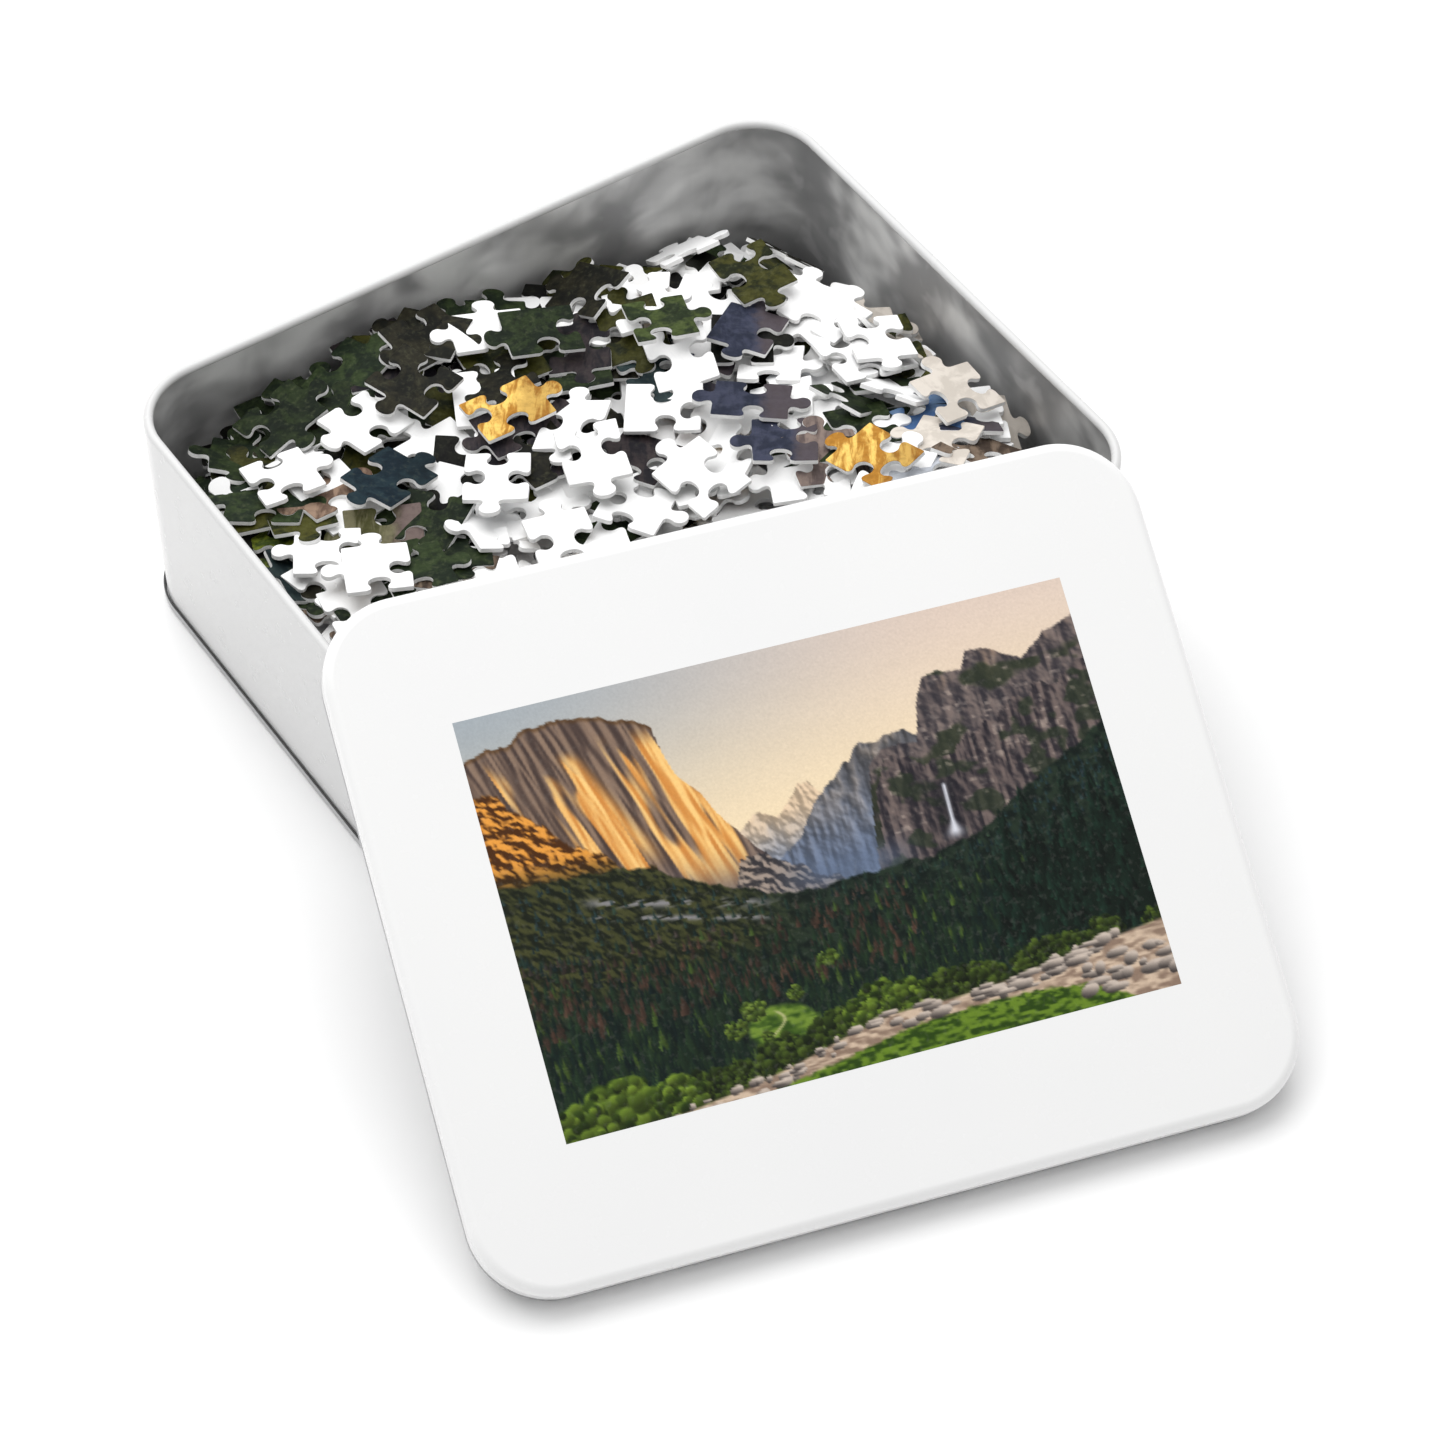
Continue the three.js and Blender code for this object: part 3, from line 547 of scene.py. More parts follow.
    ribs = slant(0.55 * F((80 * s, 8 * s), 4) + 0.45 * F((36 * s, 4 * s), 4), 0.30)
    rl = relief(ribs, 0.2, 14)
    bands = slant(F((120 * s, 15 * s), 3), 0.36)
    grey = mix(C(80, 66, 62), C(150, 127, 110), sm(0.0, 1.0, rl)[..., None])
    gold = mix(C(214, 146, 74), C(252, 210, 138), sm(0.0, 1.0, rl)[..., None])
    lit = np.clip(sm(0.52, 0.60, bands + 0.42 * (u - 0.20) - 0.08 * sm(0.35, 0.6, v)) * sm(0.10, 0.17, v) + 0.9 * sm(0.025, 0.0, np.abs(u - (0.145 + 0.33 * (v - 0.10)))) * sm(0.12, 0.16, v) * sm(0.45, 0.36, v), 0, 1) * sm(0.56, 0.46, v - 0.10 * (u - 0.3))
    cl = mix(grey, gold, lit[..., None])
    cl = mix(cl, C(112, 110, 122), (sm(0.40, 0.56, v) * 0.55)[..., None])
    over(edge(l1) * (u < 0.56), cl)
    over(edge(l1) * sm(0.014, 0.0, v - l1[None, :]) * (u < 0.30) * 0.75, C(96, 66, 34))
    # broken rock at its foot
    tl = curve([0.33, 0.38, 0.42, 0.47, 0.52, 0.56], [0.60, 0.47, 0.465, 0.52, 0.56, 0.60], 0.02, 9)
    tf = F((4 * s, 5 * s), 4)
    over(edge(tl) * (u > 0.345) * (u < 0.54) * 0.9, mix(C(58, 56, 60), C(176, 160, 148), sm(0.25, 0.9, relief(tf, 2.4, 10))[..., None]))
    # blue mist in the gap
    over(np.exp(-((v - 0.545) / 0.040) ** 2) * sm(0.40, 0.50, u) * sm(0.68, 0.58, u) * 0.62, C(104, 118, 142))
    # sunlit shoulder at the far left
    s1 = curve([0.0, 0.04, 0.08, 0.12, 0.17, 0.22], [0.175, 0.20, 0.265, 0.335, 0.385, 0.44], 0.02, 8)
    sb = F((6 * s, 8 * s), 4)
    rl = relief(sb, 2.4, 12)
    sun = sm(0.44, 0.34, v - 0.10 * u)[..., None]
    over(edge(s1, 2) * (u < 0.25), mix(mix(C(38, 36, 22), C(78, 72, 42), rl[..., None]), mix(C(84, 50, 20), C(236, 166, 76), sm(0.25, 0.85, rl)[..., None]), sun))
    # hillside and forest floor
    fo = curve([0.0, 0.06, 0.12, 0.18, 0.24, 0.30, 0.36, 0.42, 0.48, 0.55, 0.60, 0.68, 0.76, 0.84, 0.92, 1.0], [0.40, 0.41, 0.415, 0.42, 0.44, 0.49, 0.53, 0.565, 0.575, 0.57, 0.57, 0.565, 0.54, 0.47, 0.41, 0.36], 0.010, 8)
    ff = F((6 * s, 7 * s), 5)
    slope = sm(0.50, 0.30, u) * sm(0.78, 0.66, v + 0.10 * u)
    base = mix(mix(C(20, 32, 28), C(44, 58, 46), sm(0.3, 0.7, ff)[..., None]), mix(C(30, 36, 24), C(76, 78, 46), sm(0.1, 1.0, relief(ff, 2.4, 12))[..., None]), slope[..., None])
    over(edge(fo, 1.5), base)
    for off, w_ in ((0.0, 0.011), (0.035, 0.007)):
        band = np.exp(-((v - (0.47 + off + 0.36 * (u - 0.10))) / w_) ** 2) * sm(0.10, 0.16, u) * sm(0.44, 0.36, u)
        over(band * sm(0.48, 0.62, F((3 * s, 10 * s), 4)), C(142, 140, 142))

    def tree(cx, base_y, h, wd, col, k):
        x0, x1 = max(int((cx - wd) * W), 0), min(int((cx + wd) * W) + 2, W)
        y0, y1 = max(int((base_y - h) * H), 0), min(int(base_y * H) + 1, H)
        if x1 <= x0 or y1 <= y0:
            return
        uu, vv = u[y0:y1, x0:x1], v[y0:y1, x0:x1]
        rel = (vv - (base_y - h)) / h
        jag = 0.70 + 0.30 * np.abs(np.sin(rel * (6 + k % 5) * np.pi + k))
        a_ = np.clip((rel * wd * jag - np.abs(uu - cx)) * W + 0.35, 0, 1) * (rel > 0)
        side = 0.5 + 0.5 * np.clip((cx - uu) / wd, -1, 1)
        c = col[None, None, :] * (0.55 + 0.75 * side[..., None]) * (0.80 + 0.35 * jag[..., None])
        img[y0:y1, x0:x1] = img[y0:y1, x0:x1] * (1 - a_[..., None]) + c * a_[..., None]

    n = 3400
    tv = np.sort(rng.random(n) ** 0.85)
    for i in range(n):
        cx = rng.random()
        top = np.interp(cx, xs, fo)
        by = top + 0.012 + (0.97 - top) * tv[i]
        if cx < 0.46 and by < 0.44 + 0.42 * cx + 0.13:
            if rng.random() < 0.6:
                continue
        dist = max((by - 0.54) / 0.45, 0)
        h = 0.016 + 0.060 * dist ** 1.25
        q = rng.random()
        col = mix(C(16, 30, 30), C(40, 58, 38), q)
        if 0.0 < cx < 0.62 and 0.60 < by < 0.80 and rng.random() < 0.40:
            col = mix(C(50, 42, 36), C(80, 60, 50), q)
        if rng.random() < 0.05:
            col = C(66, 84, 40)
        col = mix(col, C(44, 66, 78), float(np.clip(0.55 - dist * 2.4, 0, 0.55)))
        if abs(cx - 0.365) < 0.055 and 0.80 < by < 0.93:
            continue
        tree(cx, by, h, h * 0.19 * H / W * 1.5, col, i)

    def blobs(cx, cy, r, n_, c0, c1, squash=0.8):
        for i in range(n_):
            an, rr = rng.random() * 6.283, math.sqrt(rng.random()) * r
            x, y = cx + math.cos(an) * rr, cy + math.sin(an) * rr * squash * W / H
            q = rng.random()
            b_ = r * (0.14 + 0.16 * rng.random())
            x0, x1 = max(int((x - b_) * W), 0), min(int((x + b_) * W) + 2, W)
            y0, y1 = max(int((y - b_ * W / H) * H), 0), min(int((y + b_ * W / H) * H) + 2, H)
            if x1 <= x0 or y1 <= y0:
                continue
            dx, dy = (u[y0:y1, x0:x1] - x) / b_, (v[y0:y1, x0:x1] - y) / (b_ * W / H)
            m = np.clip((1 - dx * dx - dy * dy) * 2.0, 0, 1)[..., None]
            c = mix(c0, c1, q) * (1.0 - 0.42 * dy[..., None] - 0.15 * dx[..., None])
            img[y0:y1, x0:x1] = img[y0:y1, x0:x1] * (1 - m) + c * m

    # meadow with a winding path
    wob = 0.25 * (F((9 * s, 9 * s), 3) - 0.5)
    me = 1.0 - (((u - 0.372 - 0.10 * (v - 0.85)) / 0.060) ** 2 + ((v - 0.865) / 0.058) ** 2) + wob * 2
    over(np.clip(me * 3.0, 0, 1), mix(C(58, 86, 30), C(120, 146, 60), sm(0.3, 0.7, F((4 * s, 9 * s), 4))[..., None]))
    pth = np.exp(-((u - (0.362 + 0.016 * np.sin((v - 0.82) * 62))) / 0.0030) ** 2) * sm(0.82, 0.83, v) * sm(0.925, 0.91, v)
    over(pth * 0.85, C(196, 192, 148))
    for (x, y, r) in ((0.335, 0.81, 0.020), (0.300, 0.845, 0.018), (0.405, 0.795, 0.013), (0.47, 0.735, 0.015), (0.345, 0.875, 0.010), (0.43, 0.90, 0.020)):
        blobs(x, y, r, 70, C(44, 60, 24), C(104, 122, 52))
    # tall dark conifers on the right
    for (cx, by, h, w_) in ((0.795, 0.80, 0.30, 0.034), (0.835, 0.81, 0.35, 0.040), (0.875, 0.82, 0.30, 0.036), (0.908, 0.82, 0.385, 0.044), (0.950, 0.82, 0.37, 0.042), (0.985, 0.81, 0.40, 0.046), (0.765, 0.80, 0.20, 0.028), (0.86, 0.83, 0.22, 0.03), (0.93, 0.84, 0.26, 0.034)):
        tree(cx, by, h, w_, C(20, 33, 26), int(cx * 1000))
        for j in range(40):
            q = (j + 0.6) / 41
            for side in (-1, 1):
                tree(cx + side * w_ * q * rng.uniform(0.25, 1.0), by - h * (1 - q) + 0.022, 0.030, 0.0075, C(17, 30, 24) * rng.uniform(0.7, 1.7), j)
    # bushes in front of the forest
    gb = np.interp(u, [0.0, 0.14, 0.17, 0.24, 0.30, 0.38, 0.46, 0.54, 0.64, 0.75, 0.86, 1.0], [1.2, 1.1, 1.0, 0.985, 0.975, 0.95, 0.92, 0.895, 0.895, 0.885, 0.86, 0.835])
    for i in range(60):
        x = rng.random()
        g0 = float(np.interp(x, xs, gb[0]))
        y = min(g0, 1.0) - rng.uniform(0.0, 0.035) - (0.03 if x < 0.22 else 0.0) * rng.random()
        if 0.20 < x < 0.30 and rng.random() < 0.5:
            continue
        blobs(x, y, 0.022 + 0.012 * rng.random(), 60, C(24, 34, 16), C(76, 92, 36))
    for (x, y, r) in ((0.10, 0.955, 0.055), (0.03, 0.985, 0.05), (0.19, 0.965, 0.04), (0.53, 0.855, 0.032), (0.57, 0.865, 0.03), (0.50, 0.885, 0.03)):
        blobs(x, y, r, 190, C(34, 48, 18), C(104, 124, 46))
    # pale trodden ground, grass and boulders
    pf = F((3 * s, 9 * s), 4)
    over(np.clip((v - gb) * H / 1.5, 0, 1), mix(C(150, 128, 112), C(212, 190, 168), sm(0.3, 0.7, pf)[..., None]))
    ga = np.interp(u, [0.0, 0.22, 0.34, 0.46, 0.56, 0.66, 0.76, 0.86, 0.93, 1.0], [1.2, 1.15, 0.995, 0.965, 0.935, 0.925, 0.925, 0.94, 1.0, 1.1])
    over(np.clip((v - ga - 0.01 * (F((3 * s, 5 * s), 2) - 0.5)) * H / 1.5, 0, 1), mix(C(50, 76, 22), C(112, 140, 48), sm(0.3, 0.7, F((2.5 * s, 6 * s), 4))[..., None]))
    for i in range(110):
        x = rng.uniform(0.17, 1.0)
        y = float(np.interp(x, xs, gb[0])) + rng.uniform(-0.004, 0.035 if x < 0.85 else 0.13)
        rw, rh = rng.uniform(0.006, 0.024) * (0.45 + 0.7 * x), rng.uniform(0.005, 0.015) * (0.6 + 0.6 * x)
        x0, x1 = max(int((x - rw) * W), 0), min(int((x + rw) * W) + 2, W)
        y0, y1 = max(int((y - rh) * H), 0), min(int((y + rh) * H) + 2, H)
        if x1 <= x0 or y1 <= y0:
            continue
        dx, dy = (u[y0:y1, x0:x1] - x) / rw, (v[y0:y1, x0:x1] - y) / rh
        m = np.clip((1 - np.abs(dx) ** 2.4 - np.abs(dy + 0.3 * dx) ** 2.0) * 3, 0, 1)[..., None]
        c = mix(C(74, 68, 66), C(206, 192, 180), np.clip(0.55 - 0.65 * dy + 0.2 * dx, 0, 1)[..., None])
        img[y0:y1, x0:x1] = img[y0:y1, x0:x1] * (1 - m) + c * m
    return np.clip(img * (1 + (rng.random((H, W, 1)) - 0.5) * 0.02), 0, 1)



# centre x, y, z, spin, tip, roll, sides from the lower long side counter-clockwise (1 tab, -1 socket, 0 straight), tab shifts, ink
NODED = [
['piece_green_01', -64.88, 62.54, 51.64, 0.132, -0.066, -0.217, 1, 1, -1, -1, -0.22, -0.46, -0.65, 0.24, 'G'],
['piece_teal_01', -53.73, 27.38, 53.78, 0.352, 0.049, 0.24, -1, 1, -1, 1, 0.94, -0.98, 0.92, -0.17, 'B'],
['piece_white_01', -76.12, 41.25, 54.98, -1.695, 0.023, -0.226, -1, -1, 1, -1, 0.5, 0.03, 0.13, -0.19, 'W'],
['piece_white_03', -32.42, 10.83, 55.74, -2.161, 0.028, -0.181, -1, 1, -1, -1, 0.17, -0.85, -0.89, -0.19, 'W'],
['piece_golden_01', -17.42, 29.86, 55.47, -0.053, -0.064, -0.038, -1, 1, -1, -1, 0.09, 0.21, 0.25, -0.86, 'A'],
['piece_white_04', -29.99, -16.05, 55.19, -1.863, -0.003, -0.067, -1, -1, -1, 1, -0.16, 0.57, -0.79, -0.39, 'W'],
['piece_dark_02', 25.62, 59.96, 49.94, -1.218, 0.261, -0.414, -1, -1, 0, 1, 0.99, 0.46, 0.57, 0.09, 'K'],
['piece_dark_01', -31.89, 51.19, 56.04, -1.239, 0.075, 0.053, 1, -1, -1, -1, -0.05, 0.32, -0.43, 0.95, 'K'],
['piece_dark_03', 85.26, 55.93, 34.26, -0.929, -0.771, 0.213, -1, -1, -1, -1, -0.34, -0.14, 0.25, -0.82, 'K'],
['piece_beige_01', 79.93, -28.28, 54.85, 0.03, 0.095, 0.206, -1, -1, 1, -1, -0.16, -0.49, -0.86, 0.28, 'E'],
['piece_green_02', 5.13, 49.76, 54.4, -0.313, 0.037, 0.124, -1, -1, 0, 1, 0.78, 0.49, 0.56, 0.78, 'G'],
['piece_white_05', -9.19, 2.91, 57.99, -1.922, 0.017, 0.014, -1, 1, -1, -1, -0.72, 0.06, 0.39, 0.1, 'W'],
['piece_white_06', 9.92, -17.16, 55.12, -1.429, 0.164, 0.063, -1, -1, -1, 1, 0.86, -0.42, 0.2, -0.2, 'W'],
['piece_fern_01', 31.27, 33.91, 57.13, -1.91, -0.013, -0.227, -1, -1, 1, -1, 0.88, -0.99, -0.56, -0.16, 'Q'],
['piece_white_07', 59.82, 67.12, 40.12, -1.69, 0.142, -0.653, -1, -1, 1, 1, 0.66, -0.46, -0.74, 0.25, 'W'],
['piece_olive_01', 65.47, 42.16, 49.19, -1.647, 0.076, -0.054, -1, 1, -1, -1, 0.27, -0.56, 0.62, -0.94, 'O'],
['piece_white_08', 77.52, 2.89, 50.24, -1.927, -0.102, -0.203, -1, 1, -1, -1, 0.82, 0.32, 0.51, 0.6, 'W'],
['piece_white_02', -74.04, -1.44, 58.54, -2.008, -0.014, -0.227, 1, -1, -1, 1, -0.8, -0.17, -0.98, 0.67, 'W'],
['piece_slate_01', 35.41, -1.62, 54.8, -0.689, -0.234, -0.001, -1, 1, -1, 1, 0.44, -0.31, -0.16, -0.41, 'S'],
['piece_golden_02', 47.34, -38.5, 59.12, -1.377, 0.119, -0.193, -1, -1, -1, 1, 0.49, -0.74, -0.37, 0.92, 'A'],
]
SEEN = [
[-18.62, -55.88, 5.65, 0.403, 0.249, 0.311, 1, -1, 0, 1, -0.9, -0.69, -0.56, 0.36, ''],
[-75.62, -16.88, 2.19, 5.566, -0.041, 0.027, 1, 1, -1, -1, 0.36, 0.1, -0.67, 0.11, ''],
[-59.88, -55.88, 3.21, 2.049, 0.023, -0.1, -1, -1, -1, 1, 0.82, -0.35, -0.51, -0.53, ''],
[24.88, -61.88, 5.12, 1.619, 0.051, -0.231, 1, 1, -1, -1, -0.98, 0.24, 0.63, 0.9, ''],
[-80.88, -40.12, 4.24, 0.537, -0.195, 0.052, 1, -1, 1, -1, 0.83, -0.91, 0.55, -0.96, ''],
[72.12, -55.88, 3.7, 1.236, 0.17, -0.005, -1, -1, -1, 1, -0.44, -0.7, 0.69, -0.15, ''],
[-4.38, -58.88, 5.04, 3.263, -0.282, 0.06, 1, -1, 1, 1, -0.92, 0.04, 0.57, -0.69, ''],
[-77.12, -58.12, 4.07, 3.45, -0.103, 0.148, -1, -1, -1, 1, 0.46, 0.67, 0.63, 0.66, ''],
[63.12, -64.88, 5.48, 3.623, -0.05, 0.097, 1, -1, 1, -1, 0.39, 0.08, 0.54, 0.32, ''],
[8.38, 62.62, 1.93, 0.237, -0.032, 0.012, -1, 1, 1, 1, -0.58, -0.41, -0.71, -0.42, ''],
[8.38, -63.38, 6.13, 0.772, 0.127, -0.204, 1, 1, 1, -1, -0.5, 0.01, 0.05, 0.74, ''],
[72.12, 10.12, 4.06, 5.588, -0.003, 0.098, 0, 1, -1, -1, 0.83, -0.45, -0.17, 0.76, ''],
[-50.12, -63.38, 8.58, 4.919, 0.001, 0.289, 1, -1, -1, -1, -0.19, -0.06, -0.89, -0.77, ''],
[-71.12, -65.62, 7.51, 4.014, -0.03, 0.207, -1, 1, -1, -1, 0.28, -0.83, 0.36, 0.56, ''],
[18.88, 54.38, 2.8, 1.359, 0.045, -0.128, -1, 1, -1, -1, -0.59, 0.42, 0.67, 0, ''],
[-28.38, -67.12, 8.03, 4.098, -0.165, 0.268, 1, -1, 1, -1, 0.27, 0.73, -0.62, 0.72, ''],
[-46.38, 61.88, 4.86, 4.614, 0.069, -0.148, -1, 1, 1, 1, 0.54, 0.72, -0.63, 0.58, ''],
[64.62, 49.88, 1.9, 0.608, -0.003, -0.033, 1, -1, 1, -1, 0.64, -0.12, 0.52, -0.71, ''],
[58.62, -66.38, 6.63, 4.516, 0.028, 0.129, -1, 1, -1, -1, -0.57, -0.08, 0.92, -0.17, ''],
[75.88, -57.38, 5.83, 1.072, 0.316, 0.048, 1, 1, 1, -1, 0.77, 0.84, -0.43, 0.89, ''],
[46.62, -65.62, 10.19, 0.291, 0.236, -0.294, 1, -1, 1, -1, 0.66, -0.89, 0.05, 0.14, ''],
[-66.62, 29.62, 7.01, 2.96, -0.257, 0.11, 1, 1, 1, -1, 0.15, 0.01, 0.61, -0.57, ''],
[-71.88, 49.12, 5.54, 2.99, 0.061, 0.275, -1, 1, -1, 1, 0.8, -0.01, 0.54, -0.51, ''],
[42.88, 52.88, 5.91, 2.478, 0.095, 0.228, 1, -1, -1, 1, 0.75, 0.2, 0.58, 0.41, ''],
[2.38, -67.88, 7.14, 5.994, 0.205, 0.049, -1, 1, 1, 1, -0.51, 0.57, 0.34, 0.41, ''],
[79.62, -7.88, 2.54, 3.006, -0.071, -0.06, -1, 1, 1, -1, 0.66, 0.96, -0.19, -0.8, ''],
[-85.38, -20.62, 5.84, 1.629, -0.204, 0.258, 1, -1, -1, 1, -0.45, -0.55, 0.45, -0.33, ''],
[-80.88, 58.88, 3.84, 2.2, 0.091, 0.102, -1, 1, 1, -1, 0.27, -0.58, -0.55, 0.25, ''],
[-84.62, -61.12, 6.27, 3.854, 0.021, 0.257, -1, 1, -1, 1, 0.82, 0.66, 0.09, 0.65, ''],
[-9.62, -64.52, 10.04, 3.965, 0.03, 0.021, 1, -1, -1, -1, -0.29, -0.76, -0.15, 0.54, ''],
[-50.12, -69.38, 8.84, 0.053, 0.279, -0.029, -1, 1, 1, 1, -0.86, -0.79, 0.26, -0.06, ''],
[-37.38, 63.38, 6.57, 2.599, 0.18, -0.041, 1, -1, 1, -1, -0.28, 0.66, -0.18, -0.95, ''],
[-61.96, -65.22, 11.08, 4.255, 0.086, 0.12, -1, 1, -1, -1, -0.56, -0.6, -0.25, -0.1, ''],
[80.38, -1.88, 4.75, 3.793, -0.041, 0.041, -1, 1, -1, -1, -0.89, -0.19, -0.24, 0.32, ''],
[-6.62, 65.62, 3.73, 5.305, -0.106, -0.111, -1, -1, -1, 1, 0.92, 0.8, 0.9, -0.31, ''],
[-66.62, -8.62, 5.71, 5.597, -0.047, -0.02, 1, -1, 1, 0, -0.15, 0.44, 0.79, -0.38, ''],
[-62.88, 64.88, 4.53, 0.058, -0.096, 0.012, 1, -1, -1, 1, -0.03, -0.08, -0.85, 0.98, ''],
[-32.12, -67.15, 10.68, 3.399, -0.234, 0.016, 1, -1, -1, -1, -0.39, -0.07, -0.59, -0.28, ''],
[-13.38, -65.22, 11.57, 5.161, 0.011, 0.038, -1, 0, 1, 1, -0.89, 0.66, -0.4, 0.67, ''],
[-80.79, -47.08, 9.85, 1.027, -0.133, -0.041, 1, -1, 1, -1, -0.4, -0.94, -0.09, -0.86, ''],
[37.62, 55.88, 6.39, 5.059, -0.004, -0.259, -1, -1, -1, 1, -1, 0.52, -0.42, 0.37, ''],
[-1.38, 69.38, 4.72, 1.648, 0.048, 0.106, 1, -1, 1, 1, 0.86, 0.94, 0.95, 0.87, ''],
[69.17, -65.91, 8.35, 5.711, 0.049, 0.248, -1, 1, -1, 1, -0.29, -0.26, -0.92, -0.81, ''],
[-78.62, 62.62, 5.87, 1.671, -0.036, 0.08, -1, 1, 1, -1, -0.38, -0.76, 0.32, 0.65, ''],
[-85.38, 46.88, 10.24, 5.814, -0.095, 0.324, 1, -1, 1, 1, 0.82, 0.12, -0.78, -0.13, ''],
[33.88, -67.12, 8.77, 1.883, -0.277, -0.186, 1, -1, 1, -1, -0.34, 0.94, -0.91, -0.53, ''],
[21.12, -63.38, 10.4, 5.971, 0.13, -0.026, -1, 1, -1, 1, 0.68, 0.14, 0.13, -0.74, ''],
[-83.14, -54.75, 11.06, 5.468, 0.263, 0.007, 1, -1, 1, -1, 0.86, -0.91, 0.86, 0.34, ''],
[81.88, -5.62, 6.25, 2.258, -0.024, 0.001, 1, -1, -1, -1, -0.11, 0.22, 0.84, 0.69, ''],
[75.88, 12.38, 8.61, 6.107, 0.019, 0.038, -1, 1, -1, 1, 0.14, 0.33, -0.26, 0.16, ''],
[-57.78, 65.91, 8.39, 1.622, 0.116, 0.25, -1, 1, -1, -1, -0.31, -0.13, 0.04, 0.33, ''],
[76.62, -45.38, 10.07, 2.62, 0.194, -0.064, 1, -1, 1, 1, -0.17, 0.97, -0.24, 0.01, ''],
[-85.38, -7.88, 5.25, 2.653, 0.021, 0.26, 1, -1, -1, -1, -0.22, 0.27, -0.36, 0.57, ''],
[-89.12, -31.88, 13.36, 1.829, 0.312, -0.275, -1, 1, 0, -1, 0.7, -0.53, 0.47, 0.92, ''],
[81.12, 21.38, 9.75, 3.891, 0.045, -0.274, -1, -1, 1, 1, -0.65, -0.79, 0.21, 0.59, ''],
[-7.38, -67.15, 12.99, 3.941, -0.026, 0.051, -1, 1, -1, 0, 0.94, -0.9, 0.18, -0.02, ''],
[-86.12, -38.62, 14.14, 0.774, 0.261, 0.104, -1, 1, 1, -1, -0.2, 0.6, -0.12, 0.94, ''],
[-66.62, -61.88, 12.41, 0.797, -0.009, -0.158, -1, -1, -1, 1, 0.73, -0.1, -0.87, 0.75, ''],
[66.12, 55.88, 7.25, 4.06, 0.022, -0.201, -1, 1, 0, 1, 0.59, -0.94, -0.65, -0.98, ''],
[82.62, -20.62, 6.84, 5.829, -0.087, 0.171, 1, 1, -1, -1, 0.62, 0.08, -0.59, -0.18, ''],
[-49.38, 67.15, 9.2, 5.318, -0.215, -0.131, 1, 1, 1, -1, -0.19, -0.59, 0.95, -0.84, ''],
[-75.62, -23.62, 15.17, 3.405, -0.008, -0.141, 0, 1, 1, -1, -0.57, -0.18, -0.69, 0.4, ''],
[-18.62, 65.22, 9.71, 1.05, -0.156, 0.247, 1, 1, -1, -1, -0.77, -0.94, 0.49, 0.56, ''],
[51.88, 58.88, 10.42, 0.08, -0.198, 0.119, -1, 1, 1, -1, -0.2, -0.69, 0.88, 0, ''],
[-80.79, 10.88, 7.65, 0.16, -0.049, -0.218, -1, 1, 1, 1, 0.89, 0.47, 0.72, -0.69, ''],
[11.38, -62.09, 15.44, 4.601, 0.058, 0.003, -1, 1, -1, -1, -0.93, 0.97, -0.19, 0.52, ''],
[69.88, -35.62, 11.91, 6.117, 0.028, 0.026, 1, 1, 1, -1, 0.74, -0.46, -0.63, 0.9, ''],
[24.88, -67.15, 15.3, 2.735, -0.067, -0.273, -1, -1, -1, 1, -0.13, -0.27, 0.48, -0.84, ''],
[76.62, 17.62, 13.12, 0.579, -0.108, -0.017, 1, 1, -1, -1, 0.74, 0.86, -0.02, -0.28, ''],
[61.62, -34.88, 13.38, 2.018, -0.049, -0.053, 1, 1, -1, -1, -0.07, -0.43, 0.81, -0.63, ''],
[-29.12, 63.82, 11.54, 1.174, -0.158, 0.081, 1, 1, 0, -1, -0.88, -0.88, -0.26, -0.14, ''],
[81.03, 1.88, 13.64, 1.771, -0.091, -0.232, 1, -1, 1, -1, -0.74, 0.38, 0.75, -0.44, ''],
[25.62, 63.38, 11.97, 4.271, -0.012, -0.195, 1, -1, 1, 1, -0.26, -0.68, 0.97, 0.84, ''],
[-48.62, -62.09, 13.69, 4.891, 0.055, 0.144, -1, 1, -1, 1, 0.2, -0.09, -0.38, 0.28, ''],
[69.87, -67.15, 9.68, 4.528, -0.192, 0.141, 1, -1, 1, -1, -0.57, -0.69, -0.6, -0.18, ''],
[3.88, -67.15, 18.86, 0.685, 0.089, -0.026, -1, 1, 1, 1, -0.5, 0.51, 0.81, -0.8, ''],
[-80.1, 36.38, 12.43, 5.698, -0.059, 0.096, 1, -1, -1, 1, 0.25, -1, 0.07, 0.24, ''],
[-83.14, -45.38, 16.57, 2.472, -0.103, 0.134, 1, -1, -1, 1, -0.36, 0.18, -0.38, 0.92, ''],
[-83.14, -4.88, 15.03, 2.714, 0.236, 0.244, 1, 1, 1, -1, 0.8, -0.51, -0.3, 0.09, ''],
[-53.88, 72.2, 10.49, 3.128, 0.231, -0.003, -1, 1, -1, 1, -0.89, -0.94, -0.73, 0.44, ''],
[78.88, 31.12, 12.4, 3.591, 0.24, -0.114, -1, 1, -1, -1, -0.86, 0.35, -0.28, -0.58, ''],
[-76.65, -60.95, 16.31, 3.515, -0.198, 0.309, -1, 1, 1, -1, -0.53, 0.97, 0.07, 0.93, ''],
[-31.38, -67.15, 14.36, 0.664, 0.281, -0.144, 1, 1, 1, -1, 0.32, 0.79, -0.9, 0.6, ''],
[-35.88, 67.15, 12.66, 5.647, 0.061, -0.177, -1, 1, -1, -1, -0.78, 0.75, 0.59, 0.28, ''],
[-71.03, -67.15, 17.67, 0.697, 0.094, -0.259, 1, 1, 1, -1, 0.74, 0.11, 0.85, 0.78, ''],
[55.92, -66.61, 15.36, 5.334, 0.024, 0.103, -1, 1, -1, 1, 0.99, 0.87, 0.85, 0.75, ''],
[-78, -67.15, 18.39, 1.983, -0.235, -0.116, -1, 1, -1, 1, 0.42, -0.74, 0.71, 0.95, ''],
